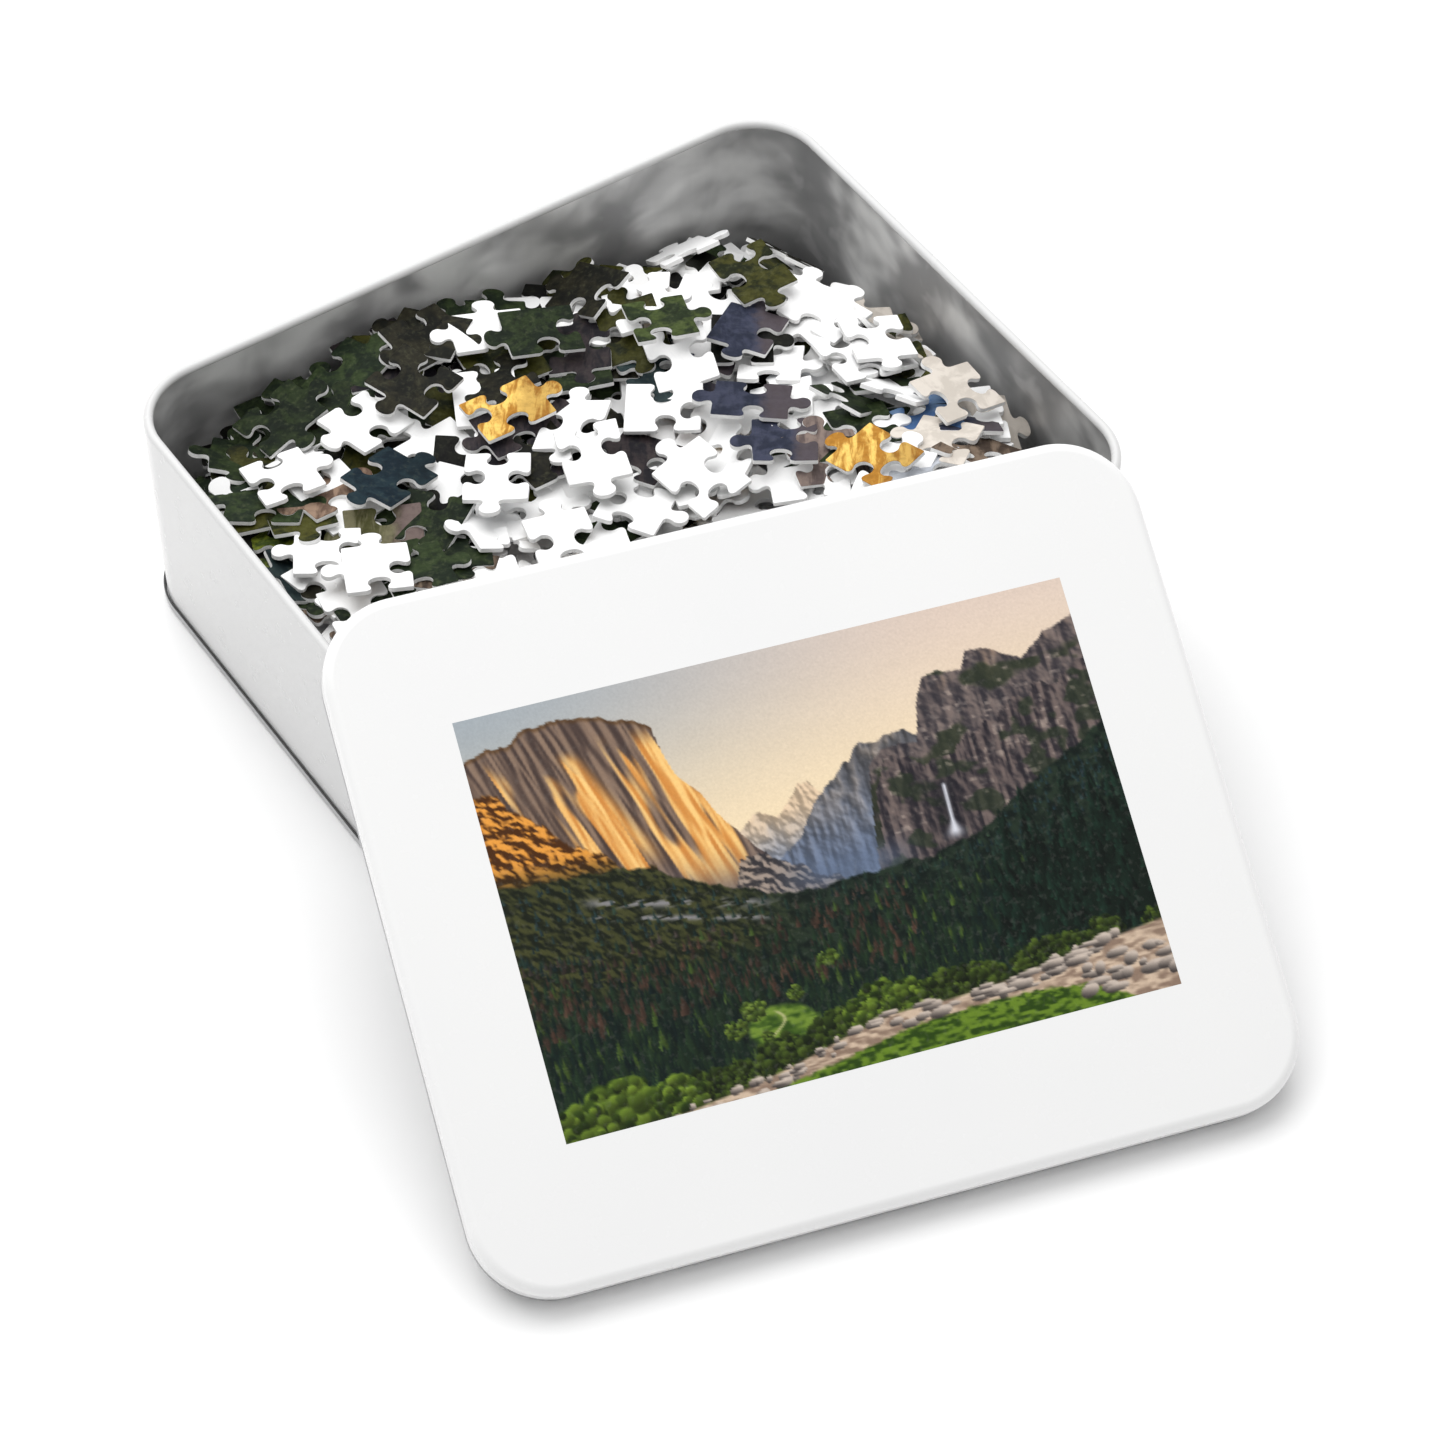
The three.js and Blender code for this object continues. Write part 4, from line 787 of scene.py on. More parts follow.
[43.62, -67.15, 15.79, 1.976, -0.26, -0.224, -1, 1, -1, 1, 0.61, -0.9, 0.72, 0.78, ''],
[-3.62, -67.15, 20.67, 4.06, -0.005, 0.046, -1, 1, 1, 1, -0.76, -0.98, -0.86, -0.28, ''],
[86.38, -10.88, 12.64, 1.678, 0.016, -0.218, -1, 1, -1, 1, 0.07, 0.67, 0.11, -0.74, ''],
[66.88, -13.12, 14.93, 3.934, -0.008, -0.284, -1, 1, 1, 1, 0.87, -0.52, -0.8, -0.63, ''],
[-40.38, -60.38, 17.9, 0.553, -0.027, -0.152, -1, 1, -1, -1, -0.99, -0.88, -0.28, -0.64, ''],
[-50.88, -67.15, 16.71, 4.45, -0.029, 0.413, -1, 1, -1, -1, -0.74, -0.89, -0.53, 0.08, ''],
[-26.12, -72.2, 14.93, 3.261, -0.241, -0.025, 1, -1, -1, -1, -0.64, 0.4, 0.46, 0.33, ''],
[-83.14, 22.12, 15.15, 5.111, -0.028, 0.057, 1, -1, -1, 1, 0.56, -0.04, -0.38, 0.48, ''],
[84.88, -34.12, 11.93, 4.332, -0.292, 0.005, -1, -1, -1, 1, 0.07, 0.11, -0.28, 0.63, ''],
[-83.14, -4.88, 17.32, 6.037, -0.223, -0.117, -1, 1, -1, -1, -0.48, -0.55, -0.9, -0.99, ''],
[24.88, -67.15, 18.78, 4.148, -0.166, 0.1, -1, 1, -1, 1, -0.59, 0.55, 0.18, -0.77, ''],
[-83.14, -3.38, 18.53, 5.621, -0.156, -0.179, 1, -1, -1, 1, -0.47, -0.08, 0.91, 0.65, ''],
[-78.62, 61.88, 11.97, 5.423, -0.199, -0.097, -1, -1, 1, 1, -0.25, 0.03, -0.22, -0.73, ''],
[75.88, 40.12, 11.58, 3.599, 0.219, -0.107, -1, 1, -1, 1, -0.77, -0.05, -0.44, 0.19, ''],
[-88.38, 58.12, 14.85, 0.001, -0.107, 0.017, 1, -1, 1, -1, 0.42, 0.09, 0.91, -0.66, ''],
[8.38, 67.15, 12.97, 3.193, 0.287, 0.095, 1, -1, -1, 1, 0.47, -0.82, 0.46, 0.43, ''],
[-79.4, -64.52, 20.38, 5.278, 0.224, 0.106, 1, -1, -1, -1, 0.02, 0.48, -0.29, -0.21, ''],
[18.88, 67.15, 15.72, 4.218, -0.024, -0.109, 1, -1, -1, 1, 0.79, 0.87, -0.77, -0.24, ''],
[-59.12, -62.09, 21.67, 1.634, -0.02, -0.156, 1, -1, -1, 1, 0.64, 0.76, 0.22, 0.15, ''],
[-2.12, 67.15, 13.21, 5.747, -0.164, -0.283, 0, 1, -1, 1, 0.71, -0.07, 0.82, -0.21, ''],
[65.38, 52.12, 11.05, 3.798, -0.133, -0.232, 1, -1, -1, -1, -0.14, 0.65, -0.87, -0.29, ''],
[59.38, -62.09, 19.64, 4.515, 0.159, -0.007, -1, 1, -1, -1, 0.52, 0.76, 0.8, -0.04, ''],
[-43.38, 67.15, 14.09, 4.89, 0.053, -0.122, 1, 1, 1, -1, 0.9, -0.01, -0.02, -0.95, ''],
[-83.14, -16.12, 21.3, 0.712, 0.134, -0.069, -1, 1, -1, 1, -0.47, -0.5, 0.72, 0.19, ''],
[-83.14, 39.38, 18.08, 4.207, 0.064, 0.03, 1, -1, 1, 1, -0.51, 0.7, -0.55, 0.58, ''],
[71.38, -61.88, 20.86, 1.321, 0.225, -0.005, -1, 1, -1, -1, 0.27, -0.66, 0.62, 0.75, ''],
[3.88, -67.15, 23.27, 3.714, -0.052, 0.079, -1, 1, -1, -1, 0.1, 0.83, -0.57, 0.25, ''],
[-83.14, -52.66, 21.59, 0.157, -0.251, -0.139, -1, -1, 1, 1, 0.91, -0.49, 0.41, 0.43, ''],
[44.38, -67.15, 19.04, 3.744, -0.01, 0.209, -1, 1, 1, 1, -0.5, -0.42, 0.69, 0.55, ''],
[-66.62, 63.38, 13.75, 4.376, 0.006, 0.023, 1, 1, 0, -1, -0.75, -0.28, -0.41, -0.92, ''],
[37.62, -67.15, 20.5, 4.387, -0.06, 0.143, 1, 1, -1, -1, 0.96, -0.72, -0.3, 0.7, ''],
[-83.14, -61.03, 24.41, 4.637, 0.048, 0.02, 1, -1, 1, -1, -0.56, -0.23, 0.12, 0.49, ''],
[-16.38, 67.15, 15.55, 5.379, 0.044, 0.031, -1, 0, 1, -1, -0.69, -0.73, 0.67, 0.65, ''],
[76.62, 37.12, 14.44, 3.882, 0.129, -0.049, 1, -1, 1, 1, -0.58, 0.99, 0.44, 0.41, ''],
[-63.62, 5.62, 12.58, 5.765, 0.238, 0.006, -1, 1, 1, 1, -0.21, 0.76, -0.65, 0.46, ''],
[-83.14, 53.36, 18.64, 0.844, -0.075, 0.128, -1, 1, -1, 1, -0.78, -0.79, -0.1, -0.47, ''],
[80.38, -10.12, 16.06, 1.118, 0.038, -0.017, -1, -1, 1, 1, -0.7, -0.44, -0.38, -0.05, ''],
[-83.14, 31.12, 19.44, 6.123, 0.088, -0.059, -1, 1, 1, 1, 0.09, -0.04, 0.9, -0, ''],
[82.62, -65.62, 19.12, 6.132, 0.002, 0.301, -1, -1, 1, 1, 0.32, 0.28, 0.93, 0.99, ''],
[-53.12, -46.88, 23.02, 1.029, -0.022, 0.148, -1, 1, 1, 1, -0.77, -0.06, -0.26, -0.36, ''],
[-89.4, 13.12, 18.84, 1.645, 0.069, -0.076, -1, 1, -1, -1, -0.11, -0.22, 0.46, -0.33, ''],
[14.38, -72.2, 23.19, 2.889, -0.374, -0.299, 1, -1, 0, 1, -0.97, 0.14, 0.67, 0.88, ''],
[-9.62, -67.15, 22.98, 3.989, 0.293, 0.088, 1, -1, -1, -1, 0.09, -0.6, -0.7, 0.76, ''],
[-89.4, -51.38, 24.56, 1.661, -0.107, 0.281, 1, 1, -1, -1, 0.85, -0.23, 0.61, -0.8, ''],
[-35.12, 67.15, 17.82, 4.287, 0.094, -0.014, 1, -1, 1, -1, -0.63, -0.9, 0.94, 0.39, ''],
[-43.38, 67.15, 18.71, 0.454, -0.03, -0.077, 1, -1, 1, 1, 0.44, 0.71, -0.27, 0.94, ''],
[-83.14, -67.15, 26.67, 5.294, 0.117, 0.253, -1, -1, -1, 1, 0.8, -0.02, 0.53, 0.39, ''],
[-83.14, 5.62, 21.64, 0.925, -0.228, 0.033, 1, 1, -1, -1, 0.37, -0.97, -1, -0.08, ''],
[-83.14, -22.12, 22.53, 5.16, -0.009, 0.085, 1, -1, -1, 1, 0.64, -0.46, -0.74, -0.65, ''],
[-44.88, -67.15, 21.51, 2.116, 0.035, -0.281, -1, 1, -1, 1, -0.04, -0.06, -0.31, 0.62, ''],
[-83.14, -20.62, 24.19, 3.268, -0.047, -0.051, 1, -1, 1, -1, -0.19, 0.58, -0.88, -0.82, ''],
[-68.88, 46.88, 19.14, 3.904, -0.147, -0.161, 1, 1, -1, -1, -0.49, -0.13, 0.02, 0.65, ''],
[-83.14, 28.88, 21.66, 2.175, 0.017, -0.042, 1, -1, 1, -1, -0.85, 0.65, 0, -0.69, ''],
[-35.12, 54.38, 20.28, 3.92, -0.023, 0.037, 1, 1, -1, -1, -0.96, 0.82, 0.25, -0.15, ''],
[-31.38, -49.88, 19.68, 0.361, -0.082, 0.2, -1, -1, -1, 1, -0.39, 0.05, 0.78, -0.96, ''],
[-70.84, -62.09, 26.55, 4.525, -0.103, -0.129, -1, 1, 1, -1, -0.61, -0.35, -0.5, 0.17, ''],
[-83.14, 49.12, 22.25, 2.733, 0.043, 0.051, -1, 1, -1, -1, 0.95, 0.26, 0.43, 0.64, ''],
[78.24, -64.52, 22.25, 5.084, -0.223, 0.115, -1, -1, -1, 1, 0.67, -0.4, -0.12, -0.89, ''],
[68.38, -25.88, 17.63, 5.998, 0.091, 0.103, -1, 1, -1, -1, 0.68, -0.88, -0.64, 0.04, ''],
[33.88, 65.91, 15.64, 2.032, 0.115, -0.059, -1, 1, 1, 1, 0.44, 0.16, 0.36, -0.31, ''],
[-83.14, -35.62, 24.88, 0.517, 0.123, 0.07, -1, -1, 1, 1, 0.06, -0.05, 0.34, -0.97, ''],
[74.05, -67.15, 24.94, 0.997, 0.062, -0.038, 1, -1, 1, -1, 0.52, 0.21, 0.63, -0.3, ''],
[-32.88, 67.15, 21.52, 0.966, 0.074, 0.138, 1, -1, -1, -1, -0.31, -0.33, -0.39, -0.88, ''],
[-76.88, -62.09, 28.9, 0.94, -0.016, 0.112, -1, 0, -1, 1, 0.85, -0.88, 0.6, 0.06, ''],
[14.38, 67.15, 19.06, 3.823, 0.082, -0.057, -1, 1, 1, -1, -0.53, -0.49, -0.51, 0.78, ''],
[-83.14, 40.12, 24.04, 0.462, 0.104, -0.013, -1, 1, -1, 1, 0.89, 0.4, -0.23, -0.27, ''],
[40.62, -52.88, 23.93, 4.751, 0.077, -0.133, -1, 1, 1, 1, -0.9, -0.18, -0.66, 0.27, ''],
[55.62, -67.15, 24.43, 4.88, -0.249, 0.082, 1, -1, -1, -1, 0.22, 0.39, -0.11, -0.28, ''],
[37.62, -67.15, 26.65, 1.679, -0.112, 0.039, -1, 1, 1, -1, 0.97, 0.91, -0.45, 0.22, ''],
[12.88, -49.88, 23.1, 5.115, -0.23, -0.151, -1, 1, 1, -1, 0.84, 0.01, 0.47, 0.55, ''],
[-66.84, 67.15, 15.53, 0.55, -0.034, -0.045, 1, -1, 1, -1, 0.49, 0.6, 0.33, -0.13, ''],
[-83.14, 49.12, 25.68, 5.517, 0.064, -0.1, -1, -1, -1, 1, 0.43, 0.16, 0.01, 0.27, ''],
[52.62, -67.15, 26.91, 5.818, -0.101, 0.249, -1, 1, 1, 1, 0.33, 0.94, -0.01, 0.61, ''],
[-89.4, -20.62, 29.11, 4.501, -0.316, -0.312, -1, 1, -1, -1, 0.95, -0.81, -0.91, 0.04, ''],
[-83.14, 40.88, 27.13, 4.505, -0.032, 0.179, 1, 1, 1, -1, -0.3, -0.92, -0.26, -0.57, ''],
[-82.89, -67.15, 32.51, 3.312, -0.308, 0.278, -1, 1, -1, -1, -0.34, -0.15, 0.85, -0.1, ''],
[-61.96, 67.15, 17.94, 2.712, -0.032, 0.144, 1, -1, -1, -1, 0.76, 0.47, -0.24, -0.44, ''],
[-83.14, 54.75, 28.2, 0.263, -0.28, 0.015, 1, -1, -1, -1, 0.08, -0.6, -0.11, 0.81, ''],
[-20.88, 67.15, 21.16, 1.58, 0.17, 0.068, -1, -1, -1, 1, 0.79, -0.87, 0.16, 0.71, ''],
[83.12, -36.38, 15.18, 5.928, 0.219, 0.236, 1, 1, -1, -1, 0.42, 0.59, 0.93, -0.67, ''],
[-63.36, -67.15, 28.43, 1.905, 0.171, -0.186, 1, -1, 1, -1, -0.4, -0.19, 0.96, -0.08, ''],
[2.38, -67.15, 27.04, 5.114, 0.024, 0.027, 1, -1, -1, 1, -0.1, 0.08, -0.53, 0.73, ''],
[59.38, -67.15, 29.73, 5.023, -0.063, -0.299, 1, 1, 1, -1, -0.61, 0.21, -0.65, -0.57, ''],
[24.12, -67.15, 27.82, 0.456, -0, -0.034, 1, 1, 1, -1, -0.26, -0.66, 0.9, 0.3, ''],
[-83.14, -12.38, 28.24, 0.307, -0.093, 0.234, 1, -1, 1, 1, -0.84, -0.98, 0.29, 0.38, ''],
[40.62, 65.22, 16.15, 3.397, -0.089, -0.203, 1, -1, -1, -1, -0.02, 0.66, 0.66, -0.85, ''],
[-13.38, -67.15, 25.22, 5.789, 0.214, -0.305, 1, -1, -1, 1, -0.44, -0.2, 0.88, -0.67, ''],
[79.62, -52.12, 24.64, 5.694, -0.263, -0.002, 1, -1, -1, -1, -0.2, -0.24, -0.3, 0.63, ''],
[3.12, 67.15, 21.99, 4.913, 0.252, 0.328, -1, -1, 1, 1, 0.91, 0.94, -0.03, 0.42, ''],
[40.62, -67.15, 32.53, 3.627, 0.174, -0.027, -1, -1, 1, 1, -0.41, -0.29, 0.31, 0.57, ''],
[-4.38, 67.15, 23.65, 1.973, -0.193, -0.219, 1, -1, 1, 1, 0.24, 0.39, -0.72, -0.66, ''],
[-41.88, 72.2, 23.01, 3.315, -0.186, 0.232, -1, -1, -1, 1, -0.14, 0.28, 0.78, -0.01, ''],
[74.05, -67.15, 30.92, 6.187, -0.145, 0.145, -1, -1, 1, 1, -0.77, -0.79, -0.91, -0.49, ''],
[-83.14, -31.88, 31.75, 3.214, -0.101, -0.28, -1, 1, -1, -1, -0.41, -0.16, -0.41, -0.05, ''],
[-59.88, -67.15, 29.26, 3.183, -0.15, -0.229, 1, -1, 1, -1, 0.59, 0.39, -0.57, -0.52, ''],
[-56.88, 50.62, 19.3, 4.944, -0.104, 0.146, 1, -1, -1, 1, -0.56, 0, 0.25, -0.99, ''],
[71.38, -72.2, 33.55, 6.184, -0.087, 0.115, -1, 1, -1, 1, -0.35, 0.91, -0.87, -0.28, ''],
[-57.62, -67.15, 30.57, 4.005, -0.227, -0.028, 1, -1, -1, -1, -0.58, -0.52, 0.8, -0.45, ''],
[-5.12, -72.2, 28.68, 3.084, 0.034, 0.109, -1, 1, 0, 1, 0, 0.52, 0.27, -0.6, ''],
[-62.66, -67.15, 34.27, 1.357, 0.291, -0.304, -1, 1, 1, 1, 0.56, -0.56, 0.45, 0.34, ''],
[72.12, 2.62, 19.68, 4.146, 0.004, 0.113, 1, 1, 1, -1, -0.06, 0.7, -0.37, -0.1, ''],
[-27.62, 67.15, 25.69, 1.506, 0.027, -0.16, 1, -1, -1, -1, 0.38, -0.67, 0.81, -0.75, ''],
[68.38, -49.88, 28.78, 5.61, 0.009, -0.213, -1, 1, -1, 0, 0.88, 0.34, -0.78, -0.62, ''],
[31.62, -49.12, 27.19, 1.984, 0.177, 0.203, 1, -1, -1, 1, -0.59, 0.54, -0.96, 0.29, ''],
[-83.14, -5.62, 29.27, 5.84, -0.176, 0.062, -1, -1, 1, 1, 0.66, 0.88, -0.62, 0.15, ''],
[-51.62, -67.15, 33.58, 4.402, -0.31, 0.079, -1, -1, 1, 0, -0.39, -0.25, -0.34, 0.07, ''],
[-21.62, 67.15, 27.36, 4.523, 0.009, 0.138, 1, -1, 1, -1, 0.16, 0.62, 0.37, 0.53, ''],
[-41.12, -72.2, 37.16, 6.076, -0.31, -0.219, -1, -1, 1, 1, 0.13, -0.14, -0.89, 0.43, ''],
[-83.14, 26.62, 25.6, 3.98, -0.167, 0.196, 0, 1, -1, 1, 0.58, 0.07, 0.18, 0.91, ''],
[-83.14, 31.12, 28.46, 0.94, 0.046, -0.176, 1, -1, 1, 1, -0.17, -0.47, 0.7, -0.91, ''],
[-8.88, 67.15, 28.6, 6.271, 0.125, 0.104, -1, 1, 1, -1, -0.95, 0.23, 0.94, -0.26, ''],
[-59.17, 67.15, 21.68, 4.388, 0.183, 0.034, 1, -1, -1, -1, -0.58, 0.64, -0.02, 0.94, ''],
[4.62, -67.15, 30.64, 1.1, -0.072, 0.091, -1, 1, -1, 1, 0.36, -0.89, 0.63, -0.93, ''],
[78.12, 51.38, 16.16, 3.183, 0.223, -0.18, 1, -1, -1, -1, 0.24, 0.2, 0.33, -0.31, ''],
[-83.14, -53.36, 32.71, 4.008, 0.129, -0.253, 1, -1, 1, -1, -0.78, 0.28, 0.84, -0.43, ''],
[-3.62, 67.15, 30.74, 3.498, 0.013, -0.094, -1, -1, 1, 1, 0.96, -0.63, -0.38, -0.85, ''],
[83.12, 6.38, 20.7, 4.112, -0.094, -0.16, -1, -1, 1, 1, 0.01, 0.74, 0.99, 0.67, ''],
[-83.14, -47.78, 34.97, 2.272, 0.069, 0.02, -1, 1, -1, 1, -0.6, 0.3, 0.58, -0.57, ''],
[-49.38, -67.15, 38.27, 4.03, -0.052, -0.096, 1, -1, -1, -1, -0.23, -0.83, 0.62, -0.03, ''],
[-83.14, 2.62, 29.82, 2.164, 0.237, 0.032, 1, -1, 1, -1, -0.27, -0.02, 0.72, -0.68, ''],
[26.38, 67.15, 20.29, 1.61, 0.096, 0.057, -1, -1, -1, 1, 0.35, -0.67, 0.1, 0.49, ''],
[-69.63, -67.15, 37.77, 5.668, 0.115, 0.344, 1, -1, -1, 1, 0.06, -0.89, -0.35, 0.39, ''],
[24.12, -67.15, 31.21, 2.545, -0.121, 0.247, 1, -1, 1, -1, -0.4, 0.61, 0.95, 0.56, ''],
[-83.14, 13.88, 30.12, 4.101, 0.089, -0.047, 0, -1, 1, 1, -0.88, 0.4, 0.29, 0.46, ''],
[-23.88, 67.15, 30.36, 0.39, -0.077, -0.137, 1, -1, -1, 1, -0.97, -0.95, -0.65, 0.65, ''],
[-22.38, -55.88, 25.4, 0.933, -0.103, 0.057, 1, -1, 1, 0, -0.32, 0.48, -0.87, 0.04, ''],
[-89.4, 49.12, 33.14, 1.38, -0.289, -0.248, -1, -1, -1, 1, -0.59, 0.61, 0.8, -0.87, ''],
[58.62, -67.15, 35.88, 4.28, 0.045, -0.066, -1, 1, -1, -1, -0.57, -0.96, 0.88, 0.41, ''],
[-83.14, -48.48, 36.67, 0.326, 0.052, 0.004, -1, 1, -1, 1, -0.91, 0.89, -0.31, -0.38, ''],
[42.12, -67.15, 36.05, 2.317, -0.007, 0.026, 1, 1, 1, -1, -0.14, -0.27, -0.88, -0.4, ''],
[11.38, 67.15, 29.91, 0.305, 0.067, 0.294, -1, -1, 1, 1, 0.78, -0.64, -0.6, 0.21, ''],
[-10.38, -67.15, 30.07, 5.408, 0.124, -0.136, -1, -1, 1, 1, -0.91, 0.38, -0.5, 0.59, ''],
[57.12, -67.15, 37.7, 3.855, -0.01, -0.051, 0, 1, 1, -1, -0.23, 0.01, -0.88, -1, ''],
[-41.12, -56.62, 36.72, 3.133, 0.071, 0.333, 1, -1, -1, 1, -0.16, 0.74, 0.18, 0.29, ''],
[-83.14, 22.88, 31.22, 2.888, 0.013, 0.043, 1, 1, 1, -1, -0.14, 0.82, -0.05, 0.84, ''],
[-83.14, -54.06, 41.42, 2.296, -0.036, 0.217, -1, -1, -1, 1, -0.73, -0.11, -0.14, 0.45, ''],
[58.62, 67.88, 12.44, 0.999, 0.015, 0.347, -1, 1, -1, 1, -0.18, -0.75, 0.03, -0.42, ''],
[-83.14, -11.62, 33.22, 5.306, -0.007, -0.098, 1, 1, -1, -1, -0.93, 0.59, -0.45, 0.96, ''],
[61.38, -62.09, 38.88, 4.857, -0.031, -0.084, -1, 1, 1, 1, 0.9, -0.36, -0.72, 0.75, ''],
[-20.88, 67.15, 32.62, 3.74, 0.01, 0.074, -1, 1, -1, 1, 0.88, 0.64, -0.05, 0.43, ''],
[42.12, -67.15, 38.69, 3.632, 0.168, 0.078, -1, -1, 1, 1, 0.69, -0.84, -0.96, 0.54, ''],
[-83.14, 53.36, 37.43, 5.064, 0.006, 0.053, -1, 1, 1, -1, -0.59, 0.23, -0.17, 0.61, ''],
[-30.62, 67.15, 33.13, 2.102, -0.088, 0.108, -1, -1, -1, 1, -0.69, 0.44, 0.8, 0.68, ''],
[-54.62, 67.15, 23.97, 1.497, -0.142, 0.016, 1, -1, 1, 1, 0.61, 0.24, -0.97, -0.84, ''],
[64.98, -67.15, 40.86, 3.993, -0.043, -0.094, 1, 1, 1, -1, -0.04, 0.66, 0.63, 0.84, ''],
[61.5, -67.15, 43.1, 2.4, 0.004, 0.04, 1, -1, 1, 1, -0.61, -0.03, -0.13, -0.05, ''],
[76.84, -67.15, 43.1, 4.403, -0.204, -0.156, 1, -1, -1, 1, 0.89, -0.21, -0.81, -0.43, ''],
[5.38, 67.15, 33.45, 1.512, 0.306, 0.07, -1, -1, -1, 1, -0.33, -0.49, 0.71, 0.56, ''],
[32.38, 67.15, 22.32, 5.5, -0.195, -0.058, -1, 1, 1, -1, 0.06, -0.81, -0.62, -0.74, ''],
[36.88, -67.15, 39.45, 5.84, 0.009, -0.188, -1, 1, 1, 1, 0.12, -0.84, -0.1, 0.9, ''],
[15.88, 67.15, 31.49, 0.887, 0.276, 0.244, -1, 0, -1, 1, -0.86, 0.98, 0.99, -0.18, ''],
[-25.38, 67.15, 35.24, 3.983, 0.097, 0.028, -1, -1, -1, 1, -0.62, 0.43, 0.59, -0.79, ''],
[69.88, 67.12, 19.29, 4.915, 0.243, 0.265, 1, -1, 1, 1, 0.41, 0.1, -0.03, 0.74, ''],
[5.38, -62.09, 32.27, 1.368, 0.018, 0.163, -1, 1, 1, 1, -0.36, -0.58, -0.09, 0.42, ''],
[9.88, -72.2, 34.79, 0.097, -0.049, 0.136, -1, 1, -1, -1, 0.52, -0.12, 0.38, -0.35, ''],
[-82.89, -67.15, 43.29, 4.604, 0.091, 0.276, -1, -1, -1, 1, 0.98, 0.07, -0.43, 0.28, ''],
[-71.12, -49.12, 41.93, 4.778, -0.26, -0.226, -1, 1, -1, 1, 0.06, -0, -0.1, 0.85, ''],
[-73.12, -67.15, 45.65, 3.612, -0.205, -0.021, -1, -1, -1, 1, 0.81, -0.13, -0.81, 0.34, ''],
[-55.38, 67.15, 25.78, 2.122, -0.045, 0.058, 1, -1, -1, -1, 0.75, -0, 0.64, -0.62, ''],
[26.38, -50.62, 30.75, 2.197, 0.355, 0.176, -1, 1, -1, -1, 0.98, -0.95, -0.36, 0.32, ''],
[-50.12, -67.15, 40.16, 1.62, 0.154, -0.005, -1, 0, 1, -1, 0.49, 0.96, 0.17, -0.6, ''],
[-83.14, -60.33, 48.13, 1.531, -0.104, 0.073, 1, 1, 1, -1, 0.54, 0.99, -0.9, 0.57, ''],
[83.14, -18.38, 17.12, 2.436, -0.023, -0.104, -1, -1, -1, 1, 0.68, 0.18, 0.62, 0.13, ''],
[-23.12, -67.15, 36.95, 5.622, -0.158, 0.261, -1, 1, 1, 1, 0.95, 0.83, 0.14, -0.52, ''],
[-83.14, -20.62, 35.7, 0.423, 0.022, -0.04, 1, -1, 1, 1, -0.81, 0.8, -0.07, 0.52, ''],
[63.12, -38.62, 27.81, 5.968, -0.087, -0.217, 1, 1, -1, -1, 0.81, 0.46, -0.76, 0.49, ''],
[-80.1, -67.15, 50.48, 4.222, -0.078, 0.057, -1, -1, -1, 1, 0.31, -0.23, 0.01, -0.9, ''],
[-50.88, 67.15, 27.78, 3.466, 0.08, 0.039, 1, -1, 1, 1, 0.96, -0.83, 0.09, 0.64, ''],
[-83.14, -6.38, 36.43, 3.145, 0.197, 0.032, 1, -1, -1, -1, 0.07, -0.8, 0.94, 0.72, ''],
[-70.38, 72.2, 25.11, 6.194, 0.076, -0.284, -1, 1, -1, -1, 0.03, 0.39, 0.87, 0.49, ''],
[84.88, 32.62, 17.25, 0.96, -0.011, 0.036, 1, -1, 1, -1, -0.85, -0.79, -0.65, 0.1, ''],
[3.12, 51.38, 35.24, 1.809, -0.032, -0.209, -1, 1, 1, 1, -0.41, 0.61, 0.03, -0.13, ''],
[-16.38, -67.15, 36.7, 3.479, -0.18, -0.3, -1, -1, -1, 1, 0.45, 0.56, -0.53, 0.89, ''],
[-83.14, -20.62, 38.14, 2.206, -0.012, -0.062, -1, 1, 0, 1, -0.74, 0.52, -0.22, -0.02, ''],
[-83.14, -60.33, 52.58, 5.064, -0.059, 0.006, -1, -1, -1, 1, -0.24, -0.75, 0.95, 0, ''],
[-83.14, -11.62, 39.92, 0.723, -0.029, 0.1, -1, -1, 1, 1, -0.08, -0.48, -0.06, 0.03, ''],
[-42.62, 62.09, 32.36, 4.748, 0.002, 0.225, -1, -1, -1, 1, 0.06, 0.63, 0.56, 0.87, ''],
[26.38, -72.2, 40.21, 2.905, 0.332, 0.335, -1, -1, 0, 1, -0.22, -0.78, 0.33, 0.29, ''],
[-76.61, 67.15, 38.2, 1.172, -0.124, 0.146, -1, 1, -1, 1, 0.59, 0.18, 0.89, 0.33, ''],
[-42.62, -40.12, 31.38, 5.009, -0.29, -0.337, 1, -1, 1, 1, -0.57, 0.94, -0.54, -0.06, ''],
[39.88, -67.15, 43.77, 0.885, -0.075, 0.035, 1, 1, -1, -1, -0.52, -0.78, -0.32, -0.53, ''],
[83.14, -11.62, 20.64, 2.896, -0.136, 0.006, 1, -1, 1, 1, 0.89, -0.65, -0.84, 0.19, ''],
[67.62, -30.38, 28.86, 5.159, 0.074, -0.214, 1, 1, -1, -1, 0.23, 0.76, -0.9, -0, ''],
[83.14, -23.62, 20.95, 2.361, -0.134, -0.026, 1, -1, 1, 1, -0.96, -0.59, -0.65, -0.91, ''],
[-83.14, 38.62, 37.34, 6.144, 0.183, -0.03, -1, 1, 1, -1, -0.14, -0.32, -0.59, -0.14, ''],
[-83.14, 10.88, 34.43, 5.252, -0.028, -0.22, -1, 1, -1, -1, -0.43, -0.06, 0.36, -0.8, ''],
[-58.38, -28.88, 29.72, 5.684, -0.11, -0.246, -1, 1, 0, -1, 0.89, 0.28, 0.99, 0.26, ''],
[-31.38, -67.15, 41.48, 1.219, -0.023, -0.112, -1, 1, -1, -1, -0.06, -0.53, 0.84, -0.55, ''],
